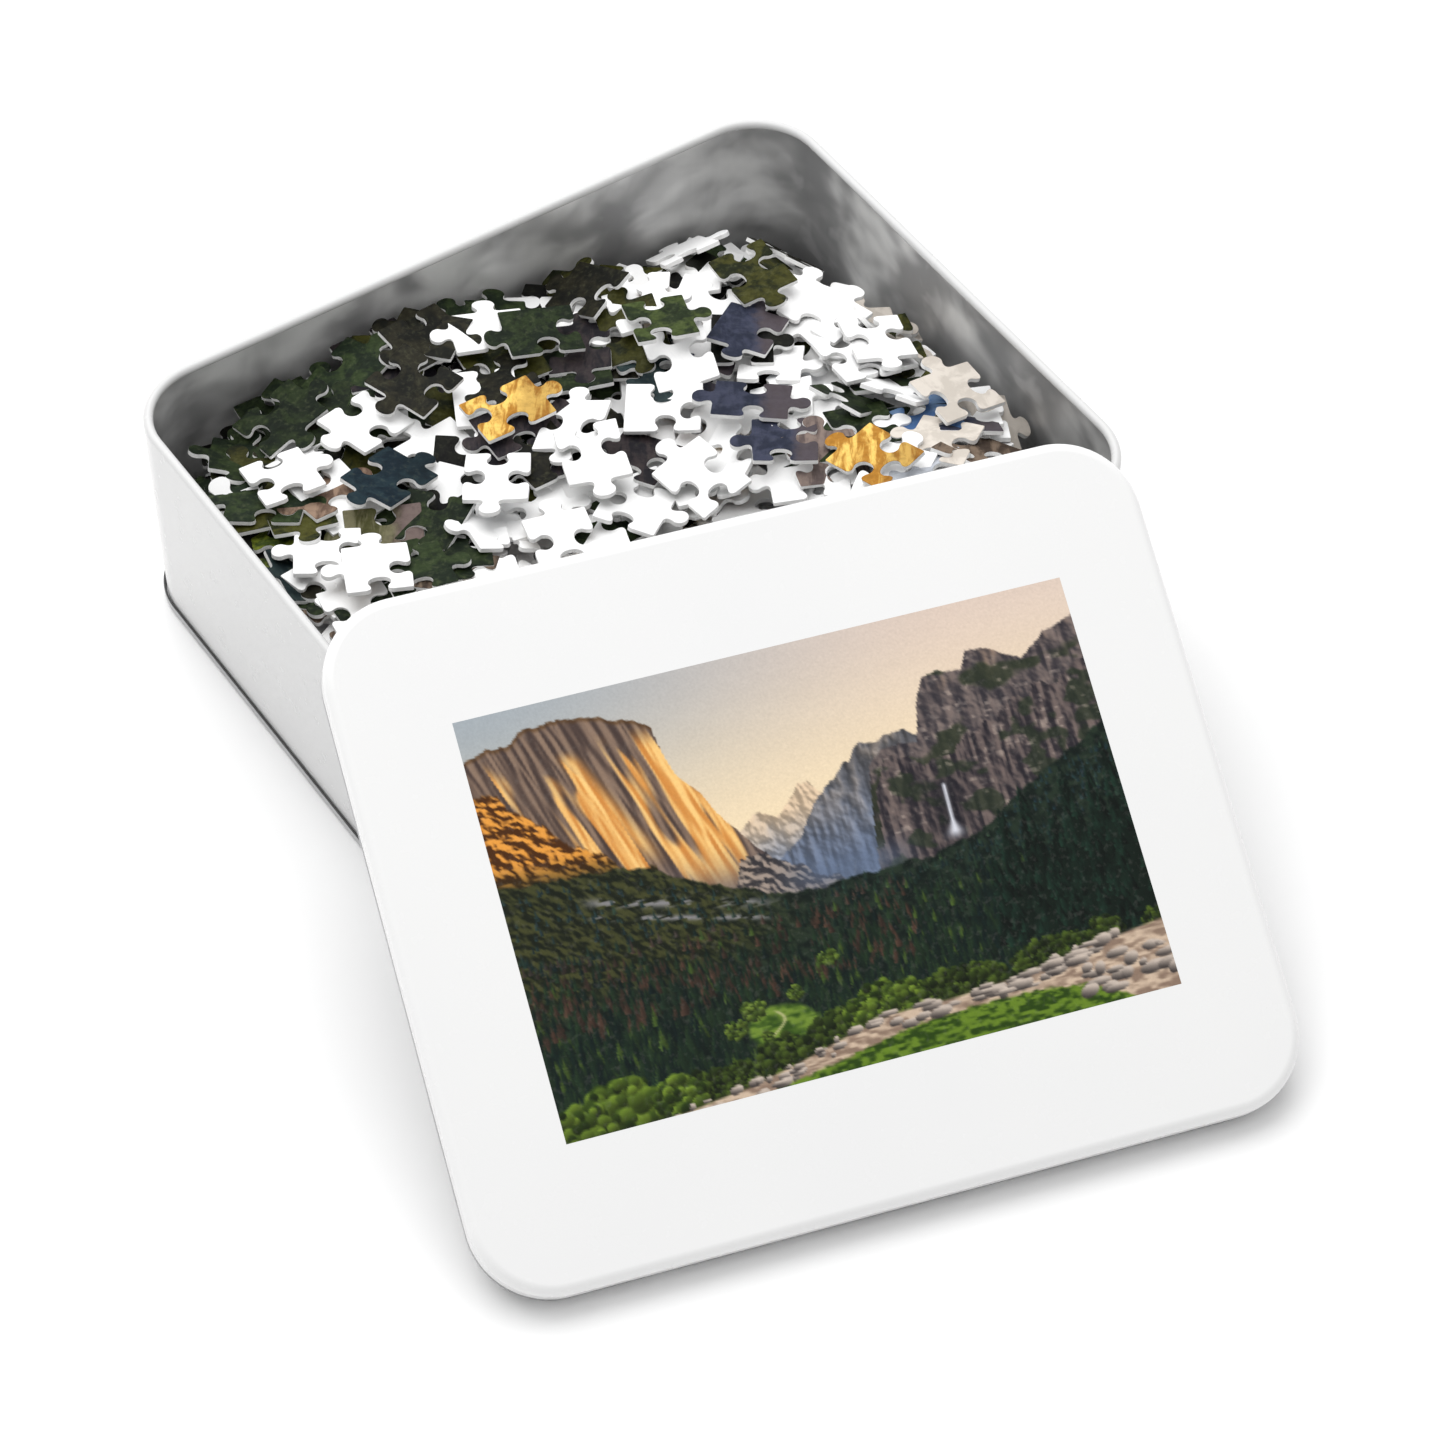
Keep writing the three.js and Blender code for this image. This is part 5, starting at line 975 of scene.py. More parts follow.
[-83.14, 40.12, 39.21, 4.288, 0.016, 0.195, -1, 1, 1, -1, 0.99, -0.54, 0.06, -0.94, ''],
[6.88, 67.15, 36.91, 4.462, -0.173, -0.205, 1, -1, -1, -1, 0.45, 0, 0.37, 0.11, ''],
[33.88, 48.38, 28.3, 6.079, 0.208, 0.069, 1, -1, 1, 1, 0.21, 0.39, 0.5, -0.69, ''],
[-52.38, -67.15, 44.78, 4.396, 0.035, 0.326, -1, 1, -1, 1, -0.56, -0.03, 0.13, 0.09, ''],
[62.89, -67.15, 46.53, 0.542, -0.02, -0.051, -1, -1, -1, 1, 0.8, 0.87, 0.1, 0.07, ''],
[-11.88, -67.15, 37.6, 1.324, 0.195, 0.013, 1, 1, -1, -1, 0.38, 0.02, 0.08, 0.73, ''],
[-12.62, 67.15, 38.32, 5.123, 0.111, -0.062, 1, 1, 1, -1, 0.19, 0.32, 0.31, 0.85, ''],
[-24.62, -62.09, 43.94, 1.574, 0.049, -0.02, -1, 0, -1, 1, -0.5, -0.14, 0.97, -0.69, ''],
[-12.62, 55.12, 39.56, 3.877, 0.074, 0.18, -1, -1, -1, 1, -0.85, -0.21, 0.88, 0.06, ''],
[-25.38, -67.15, 45.35, 1.62, 0.073, -0.045, 1, -1, 1, -1, 0.73, 0.46, -0.83, -0.84, ''],
[-20.88, -67.15, 46.58, 0.67, 0.124, 0.005, -1, 0, 1, -1, 0.01, 0.19, -0.64, -0.01, ''],
[84.88, -46.12, 30.86, 1.861, 0.098, -0.279, -1, 1, -1, 1, -0.28, -0.27, 0.86, 0.63, ''],
[-83.14, 38.62, 40.96, 2.231, -0.084, -0.106, -1, 1, 1, 0, 0.55, 0.72, 0.28, 0.62, ''],
[-43.38, 67.15, 36.13, 1.796, -0.234, -0.282, 1, 1, 0, -1, -0.47, 0.08, 0.25, 0.42, ''],
[-83.14, -2.62, 40.52, 2.55, 0.135, 0.062, -1, 1, 1, 1, 0.04, 0.77, 0.35, 0.39, ''],
[38.38, -67.15, 45.35, 5.689, -0.072, -0.098, 1, -1, 1, -1, 0.64, -0.59, -0.06, 0.28, ''],
[33.12, 67.15, 31.18, 3.526, -0.12, -0.217, -1, 1, -1, 1, -0.35, -0.72, 0.93, 0.59, ''],
[-32.12, -41.62, 35.86, 0.751, 0.058, 0.253, 1, 1, 1, -1, -0.41, 0.52, 0.42, 0.71, ''],
[-11.88, -48.38, 37.6, 1.253, -0.248, 0.178, 1, 1, -1, -1, -0.99, -0.7, -0.99, -0.19, ''],
[24.12, -67.15, 44.56, 5.928, 0.103, -0.233, 1, -1, -1, 1, 0.7, 0.99, -0.85, 0.63, ''],
[-83.14, 48.38, 43.67, 5.933, 0.068, 0.004, 1, -1, -1, 1, 0.43, 0.75, -0.56, -0.74, ''],
[78.88, 22.88, 22.21, 2.308, 0.2, -0.013, -1, -1, -1, 1, 0.48, 0.48, -0.8, -0.44, ''],
[37.62, -34.88, 24.26, 3.22, 0.29, -0.169, -1, 1, 1, 1, -0.74, -0.96, 0.37, 0.49, ''],
[-19.38, -67.15, 48.13, 0.11, 0.12, 0.012, 1, -1, 1, -1, 0.63, 0.58, 0.62, -0.5, ''],
[84.12, 49.88, 18.39, 1.029, 0.242, 0.209, 1, -1, -1, -1, -0.69, 0.41, -0.18, 0.94, ''],
[-66.62, -48.38, 42.98, 3.298, 0.218, -0.196, 1, -1, -1, 1, 0.94, -0.86, 0.41, 0.43, ''],
[-24.62, -67.15, 49.72, 0.923, 0.009, -0.108, 1, -1, -1, 1, -0.33, 0.99, 0.37, 0.62, ''],
[-29.88, 67.15, 39.85, 3.987, -0.087, 0.016, 1, -1, -1, -1, -0.91, -0.97, 0.73, -0.4, ''],
[-14.88, -62.09, 51.37, 4.752, -0.117, -0.012, 0, 1, 1, -1, -0.57, 0.37, -0.51, 0.86, ''],
[83.14, 11.62, 24.13, 2.477, 0.066, -0.023, 1, -1, 1, 1, 0.57, -0.52, 0.89, -0.31, ''],
[-83.14, 12.38, 37.52, 3.989, 0.302, -0.234, -1, -1, -1, 1, 0.21, 0.9, -0.33, -0.83, ''],
[-27.62, 67.15, 41.3, 2.45, 0.021, -0.111, -1, 1, 1, 1, 0.61, -0.13, -0, -0.78, ''],
[66.38, -67.15, 48.31, 5.341, -0.031, 0.015, 1, 0, 1, 1, 0.71, -0.18, -0.01, 0.26, ''],
[81.12, 25.12, 24.44, 5.902, -0.123, -0.046, -1, 1, 1, -1, -0.55, 0.5, -0.37, 0.83, ''],
[-43.38, -67.15, 47.54, 3.05, -0.266, 0.012, 1, -1, 1, -1, -0.64, -0.34, 0.23, -0.5, ''],
[-83.14, -20.62, 42.05, 2.415, -0.053, -0.177, 1, -1, -1, -1, -0.14, -0.48, 0.67, 0.46, ''],
[-83.14, -5.62, 43.48, 4.811, 0, -0.187, 1, 1, 1, -1, -0.39, -0.02, 0.41, 0.5, ''],
[-21.62, 67.15, 42.29, 1.141, 0.136, 0.052, 1, 1, 1, -1, -0.36, -0.41, -0.75, 0.18, ''],
[-83.14, 29.62, 41.16, 3.755, -0.12, 0.098, -1, 1, -1, 1, -0.16, -0.6, 0.59, 0.72, ''],
[-22.38, 67.15, 44.28, 0.467, 0.022, 0.069, -1, -1, 1, 1, 0.13, -0.11, -0.01, -0.15, ''],
[43.62, -62.09, 46.45, 4.812, 0.042, -0.146, -1, 1, -1, -1, -0.7, -0.15, -0.49, 0.11, ''],
[62.19, -67.15, 49.96, 5.279, -0.013, -0.041, 1, 1, 1, -1, -1, -0.31, 0.7, -0.34, ''],
[-69.63, -67.15, 51.01, 2.592, -0.029, -0.313, 1, -1, 1, 1, 0.43, -0.63, -0.38, 0.05, ''],
[-70.38, -32.62, 41.23, 0.881, -0.164, 0.182, 1, 1, -1, -1, -0.12, 0.26, -0.81, -0.36, ''],
[36.12, -67.15, 48.64, 0.073, -0.045, -0.044, 1, -1, -1, -1, -0.03, -0.52, -0.59, -0.83, ''],
[-83.14, -18.38, 46.27, 3.99, -0.098, 0.083, 1, 1, 1, -1, -0.22, 0.17, -0.3, -0.71, ''],
[-83.14, 4.88, 42.79, 1.816, 0.031, 0.271, -1, 1, 1, -1, 0.52, 0.22, -0.05, -0.73, ''],
[-41.88, 67.15, 42.5, 2.464, -0.276, 0.232, -1, 1, 1, -1, 0.83, -0.81, -0.29, -0.86, ''],
[-83.14, 44.62, 45.13, 5.944, 0.007, -0.004, 1, -1, -1, -1, 0.06, 0.51, -0.44, 0.25, ''],
[-22.38, 67.15, 46.37, 3.652, -0.1, -0.011, 1, -1, -1, 1, 0.33, 0.34, 0.3, -0.13, ''],
[76.62, 20.62, 27.39, 4.17, -0.083, 0.021, 1, -1, 1, 1, 0.85, -0.86, 0.19, -0.02, ''],
[9.12, -67.15, 42.6, 3.672, 0.212, 0.113, 1, -1, 1, -1, 0.18, 0.73, 0.05, -0.65, ''],
[83.12, 39.38, 25.04, 0.735, -0.264, 0.285, 1, 1, -1, -1, 0.28, 0.48, 0.42, 0.3, ''],
[-65.12, 26.62, 38.55, 0.851, -0.041, 0.197, -1, 0, -1, 1, 0.35, -0.02, -0.64, -0.56, ''],
[-5.88, 67.15, 45.43, 1.485, 0.3, 0.009, -1, -1, -1, 1, 0.24, -0.33, 0.99, -0.63, ''],
[3.12, 67.15, 44.66, 4.298, -0.188, -0.16, -1, 1, 1, 1, 0.05, 0.47, -0.51, -0.4, ''],
[-30.62, 72.2, 48.5, 6.277, 0.035, -0.013, 1, 1, -1, -1, -0.93, 0.02, 0.21, -0.87, ''],
[-83.14, 40.12, 46.76, 5.385, -0.048, 0.011, 1, -1, 1, -1, -0.45, -0.14, -0.55, 0.37, ''],
[-83.14, -19.88, 47.73, 6.201, 0.089, 0.042, -1, 1, 1, -1, 0.82, -0.1, 0.93, -0.58, ''],
[52.62, 67.15, 27.06, 0.497, -0.321, -0.115, 1, -1, 1, -1, 0.81, -0.39, 0.8, 0.1, ''],
[-19.38, 52.12, 44.53, 6.172, 0.3, 0.174, -1, -1, -1, 1, -0.91, -0.14, 0.54, -0.11, ''],
[-83.14, -9.38, 49.66, 3.601, 0.059, -0.024, 1, -1, 1, 1, 0, 0.05, 0.43, 0.66, ''],
[33.12, 67.15, 33.02, 0.387, 0.11, 0.183, -1, -1, -1, 1, -0.67, -0.88, -0.67, -0.13, ''],
[-31.38, 46.12, 45.59, 0.647, 0.24, -0.224, -1, -1, 1, 1, 0.81, -0.78, -0.52, -0.43, ''],
[83.14, -29.62, 33.03, 0.272, -0.226, 0.167, -1, -1, 1, 1, 0.82, -0.56, -0.99, -0.41, ''],
[-83.14, 28.88, 47.27, 2.373, -0.121, -0.225, 1, 1, 1, 0, -0.26, 1, -0.77, 0.02, ''],
[-35.12, -28.12, 35.13, 3.114, 0.361, -0.124, -1, 1, 1, 1, 0.86, 0.3, -0.11, 0.27, ''],
[-52.38, -67.15, 50.12, 5.694, 0.034, 0.123, 1, 1, 1, -1, 0.62, -0.29, 0.56, -0.99, ''],
[11.38, 52.88, 40.95, 3.861, -0.259, 0.225, -1, -1, 0, 1, 0.08, 0.36, 0.66, -0.92, ''],
[84.12, 61.88, 21.4, 6.179, 0.098, 0.18, 1, -1, 1, -1, -0.12, 0.25, -0.14, -0.5, ''],
[-83.14, 39.38, 50.62, 1.206, -0.065, 0.177, -1, 1, -1, 0, -0.23, 0.31, 0.41, 0.54, ''],
[-83.14, -37.12, 44.27, 3.896, -0.247, 0.248, -1, 1, -1, 0, -0.44, -0.93, -0.72, -0.32, ''],
[71.38, -46.88, 47.03, 1.208, -0.017, 0.231, -1, -1, -1, 1, -0.28, -0.12, 0.57, 0.7, ''],
[83.14, -22.12, 32.75, 5.788, -0.283, 0.008, 1, -1, -1, -1, -0.25, 0.83, 0.02, 0.33, ''],
[21.88, -51.38, 43.43, 4.596, 0.034, -0.233, -1, 1, -1, 1, 0.23, -0.94, -0.03, 0.16, ''],
[-39.62, 20.62, 29.33, 2.023, -0.135, 0.108, -1, 1, -1, 1, 0.78, 0.69, 0.91, -0.37, ''],
[-83.14, 10.88, 44.65, 0.37, -0.263, 0.34, -1, -1, -1, 1, -0.73, 0.69, -0.94, -0.64, ''],
[-83.14, 10.88, 48.43, 5.285, -0.261, 0.011, 1, 1, -1, -1, 0.82, -0.23, -0.06, -0.95, ''],
[66.38, -67.15, 51.58, 4.649, -0.036, -0.026, 1, -1, 1, 1, 0.95, -0.01, 0.39, -0.04, ''],
[-18.62, -27.38, 37.31, 4.084, 0.058, 0.057, 1, -1, -1, -1, -0.1, -0.09, 0.51, 0.92, ''],
[83.14, -19.88, 34.07, 3.213, 0.256, -0.105, 1, 1, -1, -1, -0.1, 0.7, -0.8, -0.75, ''],
[67.77, -67.15, 53.27, 1.201, 0.069, -0.016, -1, -1, -1, 1, -0.68, -0.92, 0.26, -0.81, ''],
[20.38, 67.15, 41.7, 5.559, -0.149, -0.011, -1, 1, -1, -1, -0.23, -0.88, 0.76, -0.26, ''],
[-53.12, 26.62, 37.49, 0.367, 0.295, 0.229, 1, -1, -1, 0, 0.7, 0.83, 0.31, 0.5, ''],
[11.38, -67.15, 46.03, 2.307, -0.124, 0.108, 1, -1, -1, -1, -0.21, -0.75, 0.77, 0.65, ''],
[-83.14, -4.12, 51.2, 3.248, 0.055, -0.051, -1, -1, 1, 1, -0.95, 0.58, -0.18, 0.94, ''],
[83.14, 6.38, 26.87, 3.546, -0.155, -0.008, -1, 1, 1, -1, -0.76, 0.52, 0.03, 0.92, ''],
[-58.47, -67.15, 52.49, 5.914, -0.044, -0.011, 1, 1, -1, -1, 0.98, 0.67, -0.3, 0.28, ''],
[3.12, -47.62, 38.77, 6.056, -0.284, 0.292, -1, 0, 1, 1, 0.62, 0.29, 1, -0.47, ''],
[15.88, -40.12, 41.77, 2.562, 0.173, 0.222, -1, 1, 1, 1, -0.42, 0.65, 0.74, -0.17, ''],
[-60.62, 44.62, 35.68, 3.851, 0.229, -0.234, 1, 1, 0, -1, -0.47, -0.54, -0.71, -0.12, ''],
[72.88, -10.88, 32.78, 6.187, -0.282, -0.24, -1, 1, -1, -1, -0.78, -0.49, 0.86, -0.54, ''],
[83.14, 6.38, 28.32, 5.85, 0.109, 0.118, 0, 1, -1, -1, 0.8, 0.08, -0.06, 0.42, ''],
[83.14, -7.88, 35.49, 0.121, -0.244, 0.116, -1, -1, -1, 1, 0.35, -0.1, -0.44, 0.41, ''],
[69.88, 40.88, 27.25, 3.691, 0.096, -0.127, 0, -1, -1, 1, 0.33, -0.31, 0.11, -0.15, ''],
[48.88, -39.38, 29.46, 0.96, -0.301, 0.019, 1, -1, -1, 1, -0.01, -0.28, -0.63, 0.67, ''],
[22.62, 48.38, 42.72, 2.261, -0.228, -0.147, -1, 1, -1, -1, 0.39, -0.2, 0.61, 0.41, ''],
[42.88, -67.15, 50.47, 0.916, 0.012, 0.043, -1, 1, -1, -1, -0.78, 0.14, 0.72, 0.92, ''],
[-14.12, -67.15, 53.03, 1.769, 0.055, -0.055, 1, 1, 1, -1, -1, 0.95, -0.77, -0.98, ''],
[-70.38, 66.38, 40.29, 0.632, 0.054, 0.141, -1, 1, -1, 1, -0.36, 0.93, -0.33, 0.64, ''],
[-5.12, 67.15, 48.08, 0.115, -0.083, 0.159, -1, -1, 1, 1, -0.2, 0.21, -0.06, -0.97, ''],
[-18.62, -40.12, 38.76, 3.564, 0.069, 0.108, -1, -1, 1, 1, -0.85, -0.22, 0.08, 0.13, ''],
[-53.12, 67.15, 41.13, 4.132, 0.177, 0.255, -1, 1, 1, -1, -0.22, 0.78, -0.19, -0.69, ''],
[14.38, 44.62, 42.1, 4.922, 0.303, 0.301, 1, -1, 1, 1, 0.83, 0.1, -0.13, -0.97, ''],
[-83.14, 37.88, 52.65, 5.616, -0.161, -0.043, -1, 1, -1, 1, 0.45, 0.15, 0, -0.62, ''],
[-64.39, -62.09, 53.87, 1.571, 0.017, 0.019, -1, -1, -1, 1, 0.15, 0.99, -0.51, -0.79, ''],
[-83.14, -29.62, 48.49, 6.07, 0.061, 0.055, 1, 1, -1, -1, 0.16, -0.3, -0.11, 0.69, ''],
[-37.38, -47.62, 46.64, 3.55, 0.336, -0.239, -1, 1, -1, 1, 0.36, 0.91, -0.66, -0.46, ''],
[-83.14, -19.88, 51.99, 5.756, 0.137, 0.07, -1, 1, 1, 1, 0.52, 0.59, 0.66, 0.93, ''],
[-45.62, 39.38, 44.43, 5.005, 0.234, -0.099, 1, -1, 1, -1, -0.12, -0.26, -0.47, 0.85, ''],
[-59.88, 72.2, 43.1, 3.052, -0.012, 0.096, -1, 1, 1, 1, -0.22, 0.81, 0.03, -0.07, ''],
[-21.62, -16.88, 38, 5.759, -0.136, -0.126, -1, -1, 1, 1, 0.44, -0.45, 0.8, -0.37, ''],
[83.14, -21.38, 38.3, 3.466, -0.053, 0.026, 1, -1, 1, -1, -1, -0.73, -0.78, -0.25, ''],
[45.88, 67.15, 31.93, 3.476, -0.043, -0.214, -1, -1, -1, 1, -0.73, 0.81, 0.56, 0.66, ''],
[54.12, -48.38, 49.68, 2.767, 0.209, 0.051, 1, -1, 1, 1, -0.9, 0.61, -0.4, 0.45, ''],
[-83.14, 16.12, 49.55, 0.995, 0.046, 0.234, 1, -1, 1, 1, -0.42, -0.13, 0.29, 0.83, ''],
[-2.88, 34.12, 31.25, 4.791, 0.257, 0.361, 1, -1, -1, 1, -0.95, 0.96, -0.13, -0.26, ''],
[-59.88, -34.12, 43.34, 5.377, -0.24, -0.054, 1, -1, -1, 1, 0.35, -0.13, -0.78, -0.88, ''],
[12.12, 67.15, 42.11, 5.624, -0.136, -0.084, 1, -1, 0, -1, 0.42, -0.24, 0.67, 0.21, ''],
[-21.62, 42.38, 46.08, 3.74, -0.3, 0.012, 1, 1, -1, -1, 0.62, -0.32, 0.48, 0.68, ''],
[-51.62, -48.38, 50.43, 5.365, -0.024, -0.2, -1, 1, 1, -1, 0.45, 0.89, -0.76, 0.69, ''],
[-37.38, -15.38, 36.61, 5.725, 0.203, -0.172, -1, -1, -1, 1, 0.62, -0.24, -0.61, 0.94, ''],
[83.14, -24.38, 39.9, 4.487, -0.041, -0.016, 1, -1, 1, -1, -0.7, -0.5, 0.79, 0.23, ''],
[57.88, 68.62, 29.91, 1.777, 0.127, 0.045, -1, -1, -1, 1, -0.47, -0.53, -0.3, -0.46, ''],
[3.88, -51.38, 44.71, 6.064, -0.072, -0.343, 1, 1, 1, -1, -0.35, 0.16, 0.84, -0.33, ''],
[-53.88, 7.12, 35.85, 1.963, 0.085, -0.241, -1, 1, 0, -1, -0.22, -0.82, 0.62, 0.67, ''],
[83.14, 10.12, 31.34, 1.538, 0.098, -0.24, 1, -1, -1, 1, -0.33, -0.98, -0.49, -0.08, ''],
[83.14, 16.88, 34.72, 3.849, 0.113, -0.116, 1, 1, -1, -1, 0.8, -0.72, -0.69, -0.95, ''],
[-5.12, -25.88, 39.55, 5.44, -0.265, -0.117, -1, 1, -1, -1, -0.72, -0.49, 0.11, -0.89, ''],
[-8.12, 45.38, 46.24, 5.743, -0.031, 0.26, 1, -1, -1, 1, 0.03, 0.18, 0.6, 0.01, ''],
[-47.12, -22.88, 38.37, 4.009, 0.218, 0.006, 1, 1, 1, -1, -0.15, 0.61, -0.79, 0.35, ''],
[59.38, 45.38, 33.06, 0.089, -0.018, 0.071, 1, -1, -1, -1, -0.27, -0.8, 0.62, 0.61, ''],
[72.88, 32.62, 32.34, 3.396, -0.144, -0.17, 1, -1, -1, -1, 0.49, -0.16, -0.47, 0, ''],
[-24.62, 26.62, 44.46, 1.453, 0.187, -0.19, -1, 1, 1, -1, 0.48, 0.72, -0.64, 0.38, ''],
[42.12, -22.12, 28.71, 5.815, -0.025, 0.239, -1, -1, 1, 1, -0.84, -0.99, -0.37, 0.89, ''],
[41.38, 67.15, 34.97, 0.42, -0.029, 0.103, 1, -1, -1, -1, -0.27, 0.97, -0.89, -0.03, ''],
[-58.38, -10.12, 36.53, 4.178, -0.248, 0.216, 1, -1, -1, 1, -0.21, -0.67, -0.72, 0.71, ''],
[-50.88, 67.15, 45.33, 5.808, 0.11, 0.015, 1, -1, 1, -1, 0.46, -0.01, -0.37, 0.34, ''],
[83.14, -22.88, 41.4, 5.538, -0.053, -0.007, 1, -1, 1, 1, 0.29, -0.57, 0.3, -0.09, ''],
[-68.88, 50.62, 46.81, 2.62, 0.284, -0.202, 1, -1, -1, 1, -0.04, 0.21, -0.68, 0.6, ''],
[41.38, -46.88, 48.74, 0.506, -0.225, -0.219, -1, 1, -1, -1, 0.12, 0.07, -0.03, 0.09, ''],
[83.14, 18.38, 38.36, 5.865, -0.08, 0.115, -1, 1, 1, 1, -0.7, -0.91, -0.78, 0.23, ''],
[6.88, -67.15, 48.35, 0.526, -0.066, -0.241, 1, 1, -1, -1, -0.44, 0.66, 0.28, 0.2, ''],
[23.38, 30.38, 39.26, 2.421, -0.24, -0.266, -1, -1, 1, 1, -0.74, 0.42, 0.62, -0.14, ''],
[46.62, -67.15, 53.14, 4.21, -0.033, 0.07, -1, 1, 1, 1, -0.63, 0.22, 0.62, 0.07, ''],
[6.12, -24.38, 39.51, 2.123, 0.226, 0.114, 1, 1, -1, -1, 0.63, 0.21, 0.36, 0.11, ''],
[57.12, -16.88, 33.74, 0.144, 0.134, -0.251, 1, 1, -1, -1, 0.92, -0.9, -0.02, -0.93, ''],
[-41.88, 54.38, 48.39, 1.058, -0.095, -0.185, 0, -1, 1, 1, 0.97, 0.96, 0.68, -0.61, ''],
[64.62, -25.12, 40.19, 0.409, -0.075, -0.24, -1, 1, -1, 1, 0.11, 0.51, -0.96, 0.69, ''],
[19.62, -35.62, 42.45, 2.018, 0.078, 0.296, 1, -1, -1, 1, 0.73, 0.47, -0.67, 0.79, ''],
[40.62, -36.38, 49.25, 3.641, 0.244, 0.128, 1, -1, 1, 1, -0.96, -0.69, -0.66, 0.8, ''],
[57.88, 52.12, 34.41, 5.37, -0.103, -0.014, 1, 1, -1, -1, 0.99, 0.04, 0.27, 0.97, ''],
[-7.38, -28.12, 42.63, 6.165, -0.116, 0.028, -1, -1, 0, 1, -0.46, -0.16, 0.14, 0.95, ''],
[83.14, 5.62, 40.15, 0.127, -0.005, 0.151, 1, -1, 1, -1, -0.93, -0.96, 0.14, 0.34, ''],
[46.62, 30.38, 38.05, 5.644, -0.175, 0.089, -1, 1, 1, 1, 0.66, -0.35, 0.17, 0.05, ''],
[72.66, 66.61, 27.31, 1.526, -0.025, 0.218, 1, -1, -1, 1, 0.47, 0.83, -0.85, -0.51, ''],
[-83.14, -29.62, 51.74, 1.392, -0.049, -0.213, 1, -1, 1, -1, -0.6, 0.75, -0.97, -0.15, ''],
[35.38, -48.38, 50.81, 3.104, 0.023, 0.237, -1, 1, 1, -1, 0.11, 0.5, -0.35, 0.67, ''],
[-20.88, 27.38, 47, 3.962, -0.091, 0.054, -1, 1, -1, 1, -0.95, 0.53, -0.32, 0.39, ''],
[-83.14, -37.88, 52.04, 0.651, 0.064, -0.158, 1, -1, 1, -1, -0.39, 0.34, 0.38, 0.72, ''],
[-59.88, 67.15, 46.46, 5.169, 0.087, 0.049, 1, -1, 1, -1, 0.4, -0.9, -0.52, 0.92, ''],
[-54.62, 47.62, 48.2, 2.753, -0.081, -0.031, -1, 1, 1, -1, -0.75, 0.87, 0.63, -0.08, ''],
[-83.14, 5.62, 52.77, 4.927, -0.092, 0.031, -1, -1, -1, 1, -0.26, 0.28, -0.62, -0.61, ''],
[9.88, 22.88, 37.41, 6.127, 0.239, -0.198, 1, -1, -1, 1, -0.45, -0.92, -0.16, -0.21, ''],
[27.12, -19.88, 39.16, 3.08, 0.147, -0.242, 1, -1, -1, -1, -0.47, 0.66, -0.29, 0.66, ''],
[69.87, 67.15, 30.68, 4.994, -0.21, -0.015, 1, -1, -1, 0, 0.6, 0.84, -0.26, -0.14, ''],
[0.88, -37.88, 45.27, 1.393, -0.117, 0.02, 1, -1, 1, -1, 0.49, -0.45, -0.58, 0.66, ''],
[-34.38, 24.38, 47.79, 4.042, -0.025, 0.194, 1, -1, -1, -1, 0.62, 0.59, -0.42, -0.11, ''],
[62.38, 16.88, 38.35, 3.883, 0.24, 0.248, -1, -1, -1, 1, 0.16, 0.92, -0.3, -0.69, ''],
[-30.62, 67.15, 50.87, 2.529, 0.074, 0.039, 1, -1, 1, 1, -0.84, -0.72, 0.43, -0.04, ''],
[6.88, -1.12, 37.86, 1.612, 0.173, -0.034, -1, 1, 1, 1, 0.76, 0.19, 0.83, 0.88, ''],
[10.62, 31.12, 41.35, 1.229, 0.013, -0.072, -1, -1, 1, 1, -0.73, 0.12, -0.61, 0.48, ''],
[-37.38, -1.88, 37.67, 2.933, 0.098, -0.069, 1, 1, -1, -1, -0.48, -0.05, 0.66, 0.69, ''],
[-16.38, 15.38, 46.53, 0.45, 0.16, 0.073, 1, 1, 1, -1, 0.27, 0.14, -0.06, -0.95, ''],
[66.88, 13.88, 41.74, 3.581, -0.022, 0.277, -1, 1, 1, 1, 0.84, 0.55, 0.48, -0.24, ''],
[47.38, 48.38, 37.59, 5.082, 0.036, 0.07, -1, -1, 1, 1, 0.86, 0.69, 0.78, -0.86, ''],
[-43.38, -35.62, 48.19, 3.504, 0.321, -0.223, -1, 1, -1, -1, 0.41, -0.56, -1, 0.46, ''],
[39.88, -25.12, 48.78, 4.34, 0.269, -0.147, -1, 1, 1, 1, 0.72, 0.51, 0.22, 0.28, ''],
[36.88, 7.12, 34.37, 2.731, 0.122, 0.077, -1, 1, 1, 1, 0.08, -0.19, 0.14, 0.81, ''],
[78.12, 34.88, 38.13, 3.521, 0.269, -0.078, 1, -1, -1, -1, 0.97, -0.89, 0.98, 0.45, ''],
[11.38, -28.88, 45.83, 1.191, 0.004, 0.251, 1, -1, 1, 1, -0.63, 0.41, -0.58, -0.14, ''],
[23.38, -6.38, 39.06, 4.808, -0.032, -0.225, 1, -1, 1, -1, 0.46, 0.03, 0.84, 0.01, ''],
[31.62, 38.62, 43.56, 4.604, -0.089, 0.102, 1, -1, -1, -1, -0.29, -0.75, 0.35, -0.44, ''],
[19.62, -20.62, 44.86, 2.021, 0.178, 0.113, 1, -1, 1, -1, 0.48, -0.9, 0.45, 0.43, ''],
[12.88, -67.15, 51.6, 5.898, 0.129, -0.072, 1, -1, 1, -1, -0.43, 0.31, -0.51, -0.64, ''],
[-59.88, -20.62, 45.38, 5.072, 0.019, -0.284, 1, 1, 1, -1, 0.77, 0.72, 0.68, -0.13, ''],
[-54.62, 33.38, 47.26, 5.466, 0.185, 0.317, 1, -1, 0, 1, 0.01, 0.17, 0.05, -0.16, ''],
[-25.38, 2.62, 45.83, 3.235, -0.194, 0.25, 1, -1, -1, -1, -0.1, -0.63, 0.27, -0.11, ''],
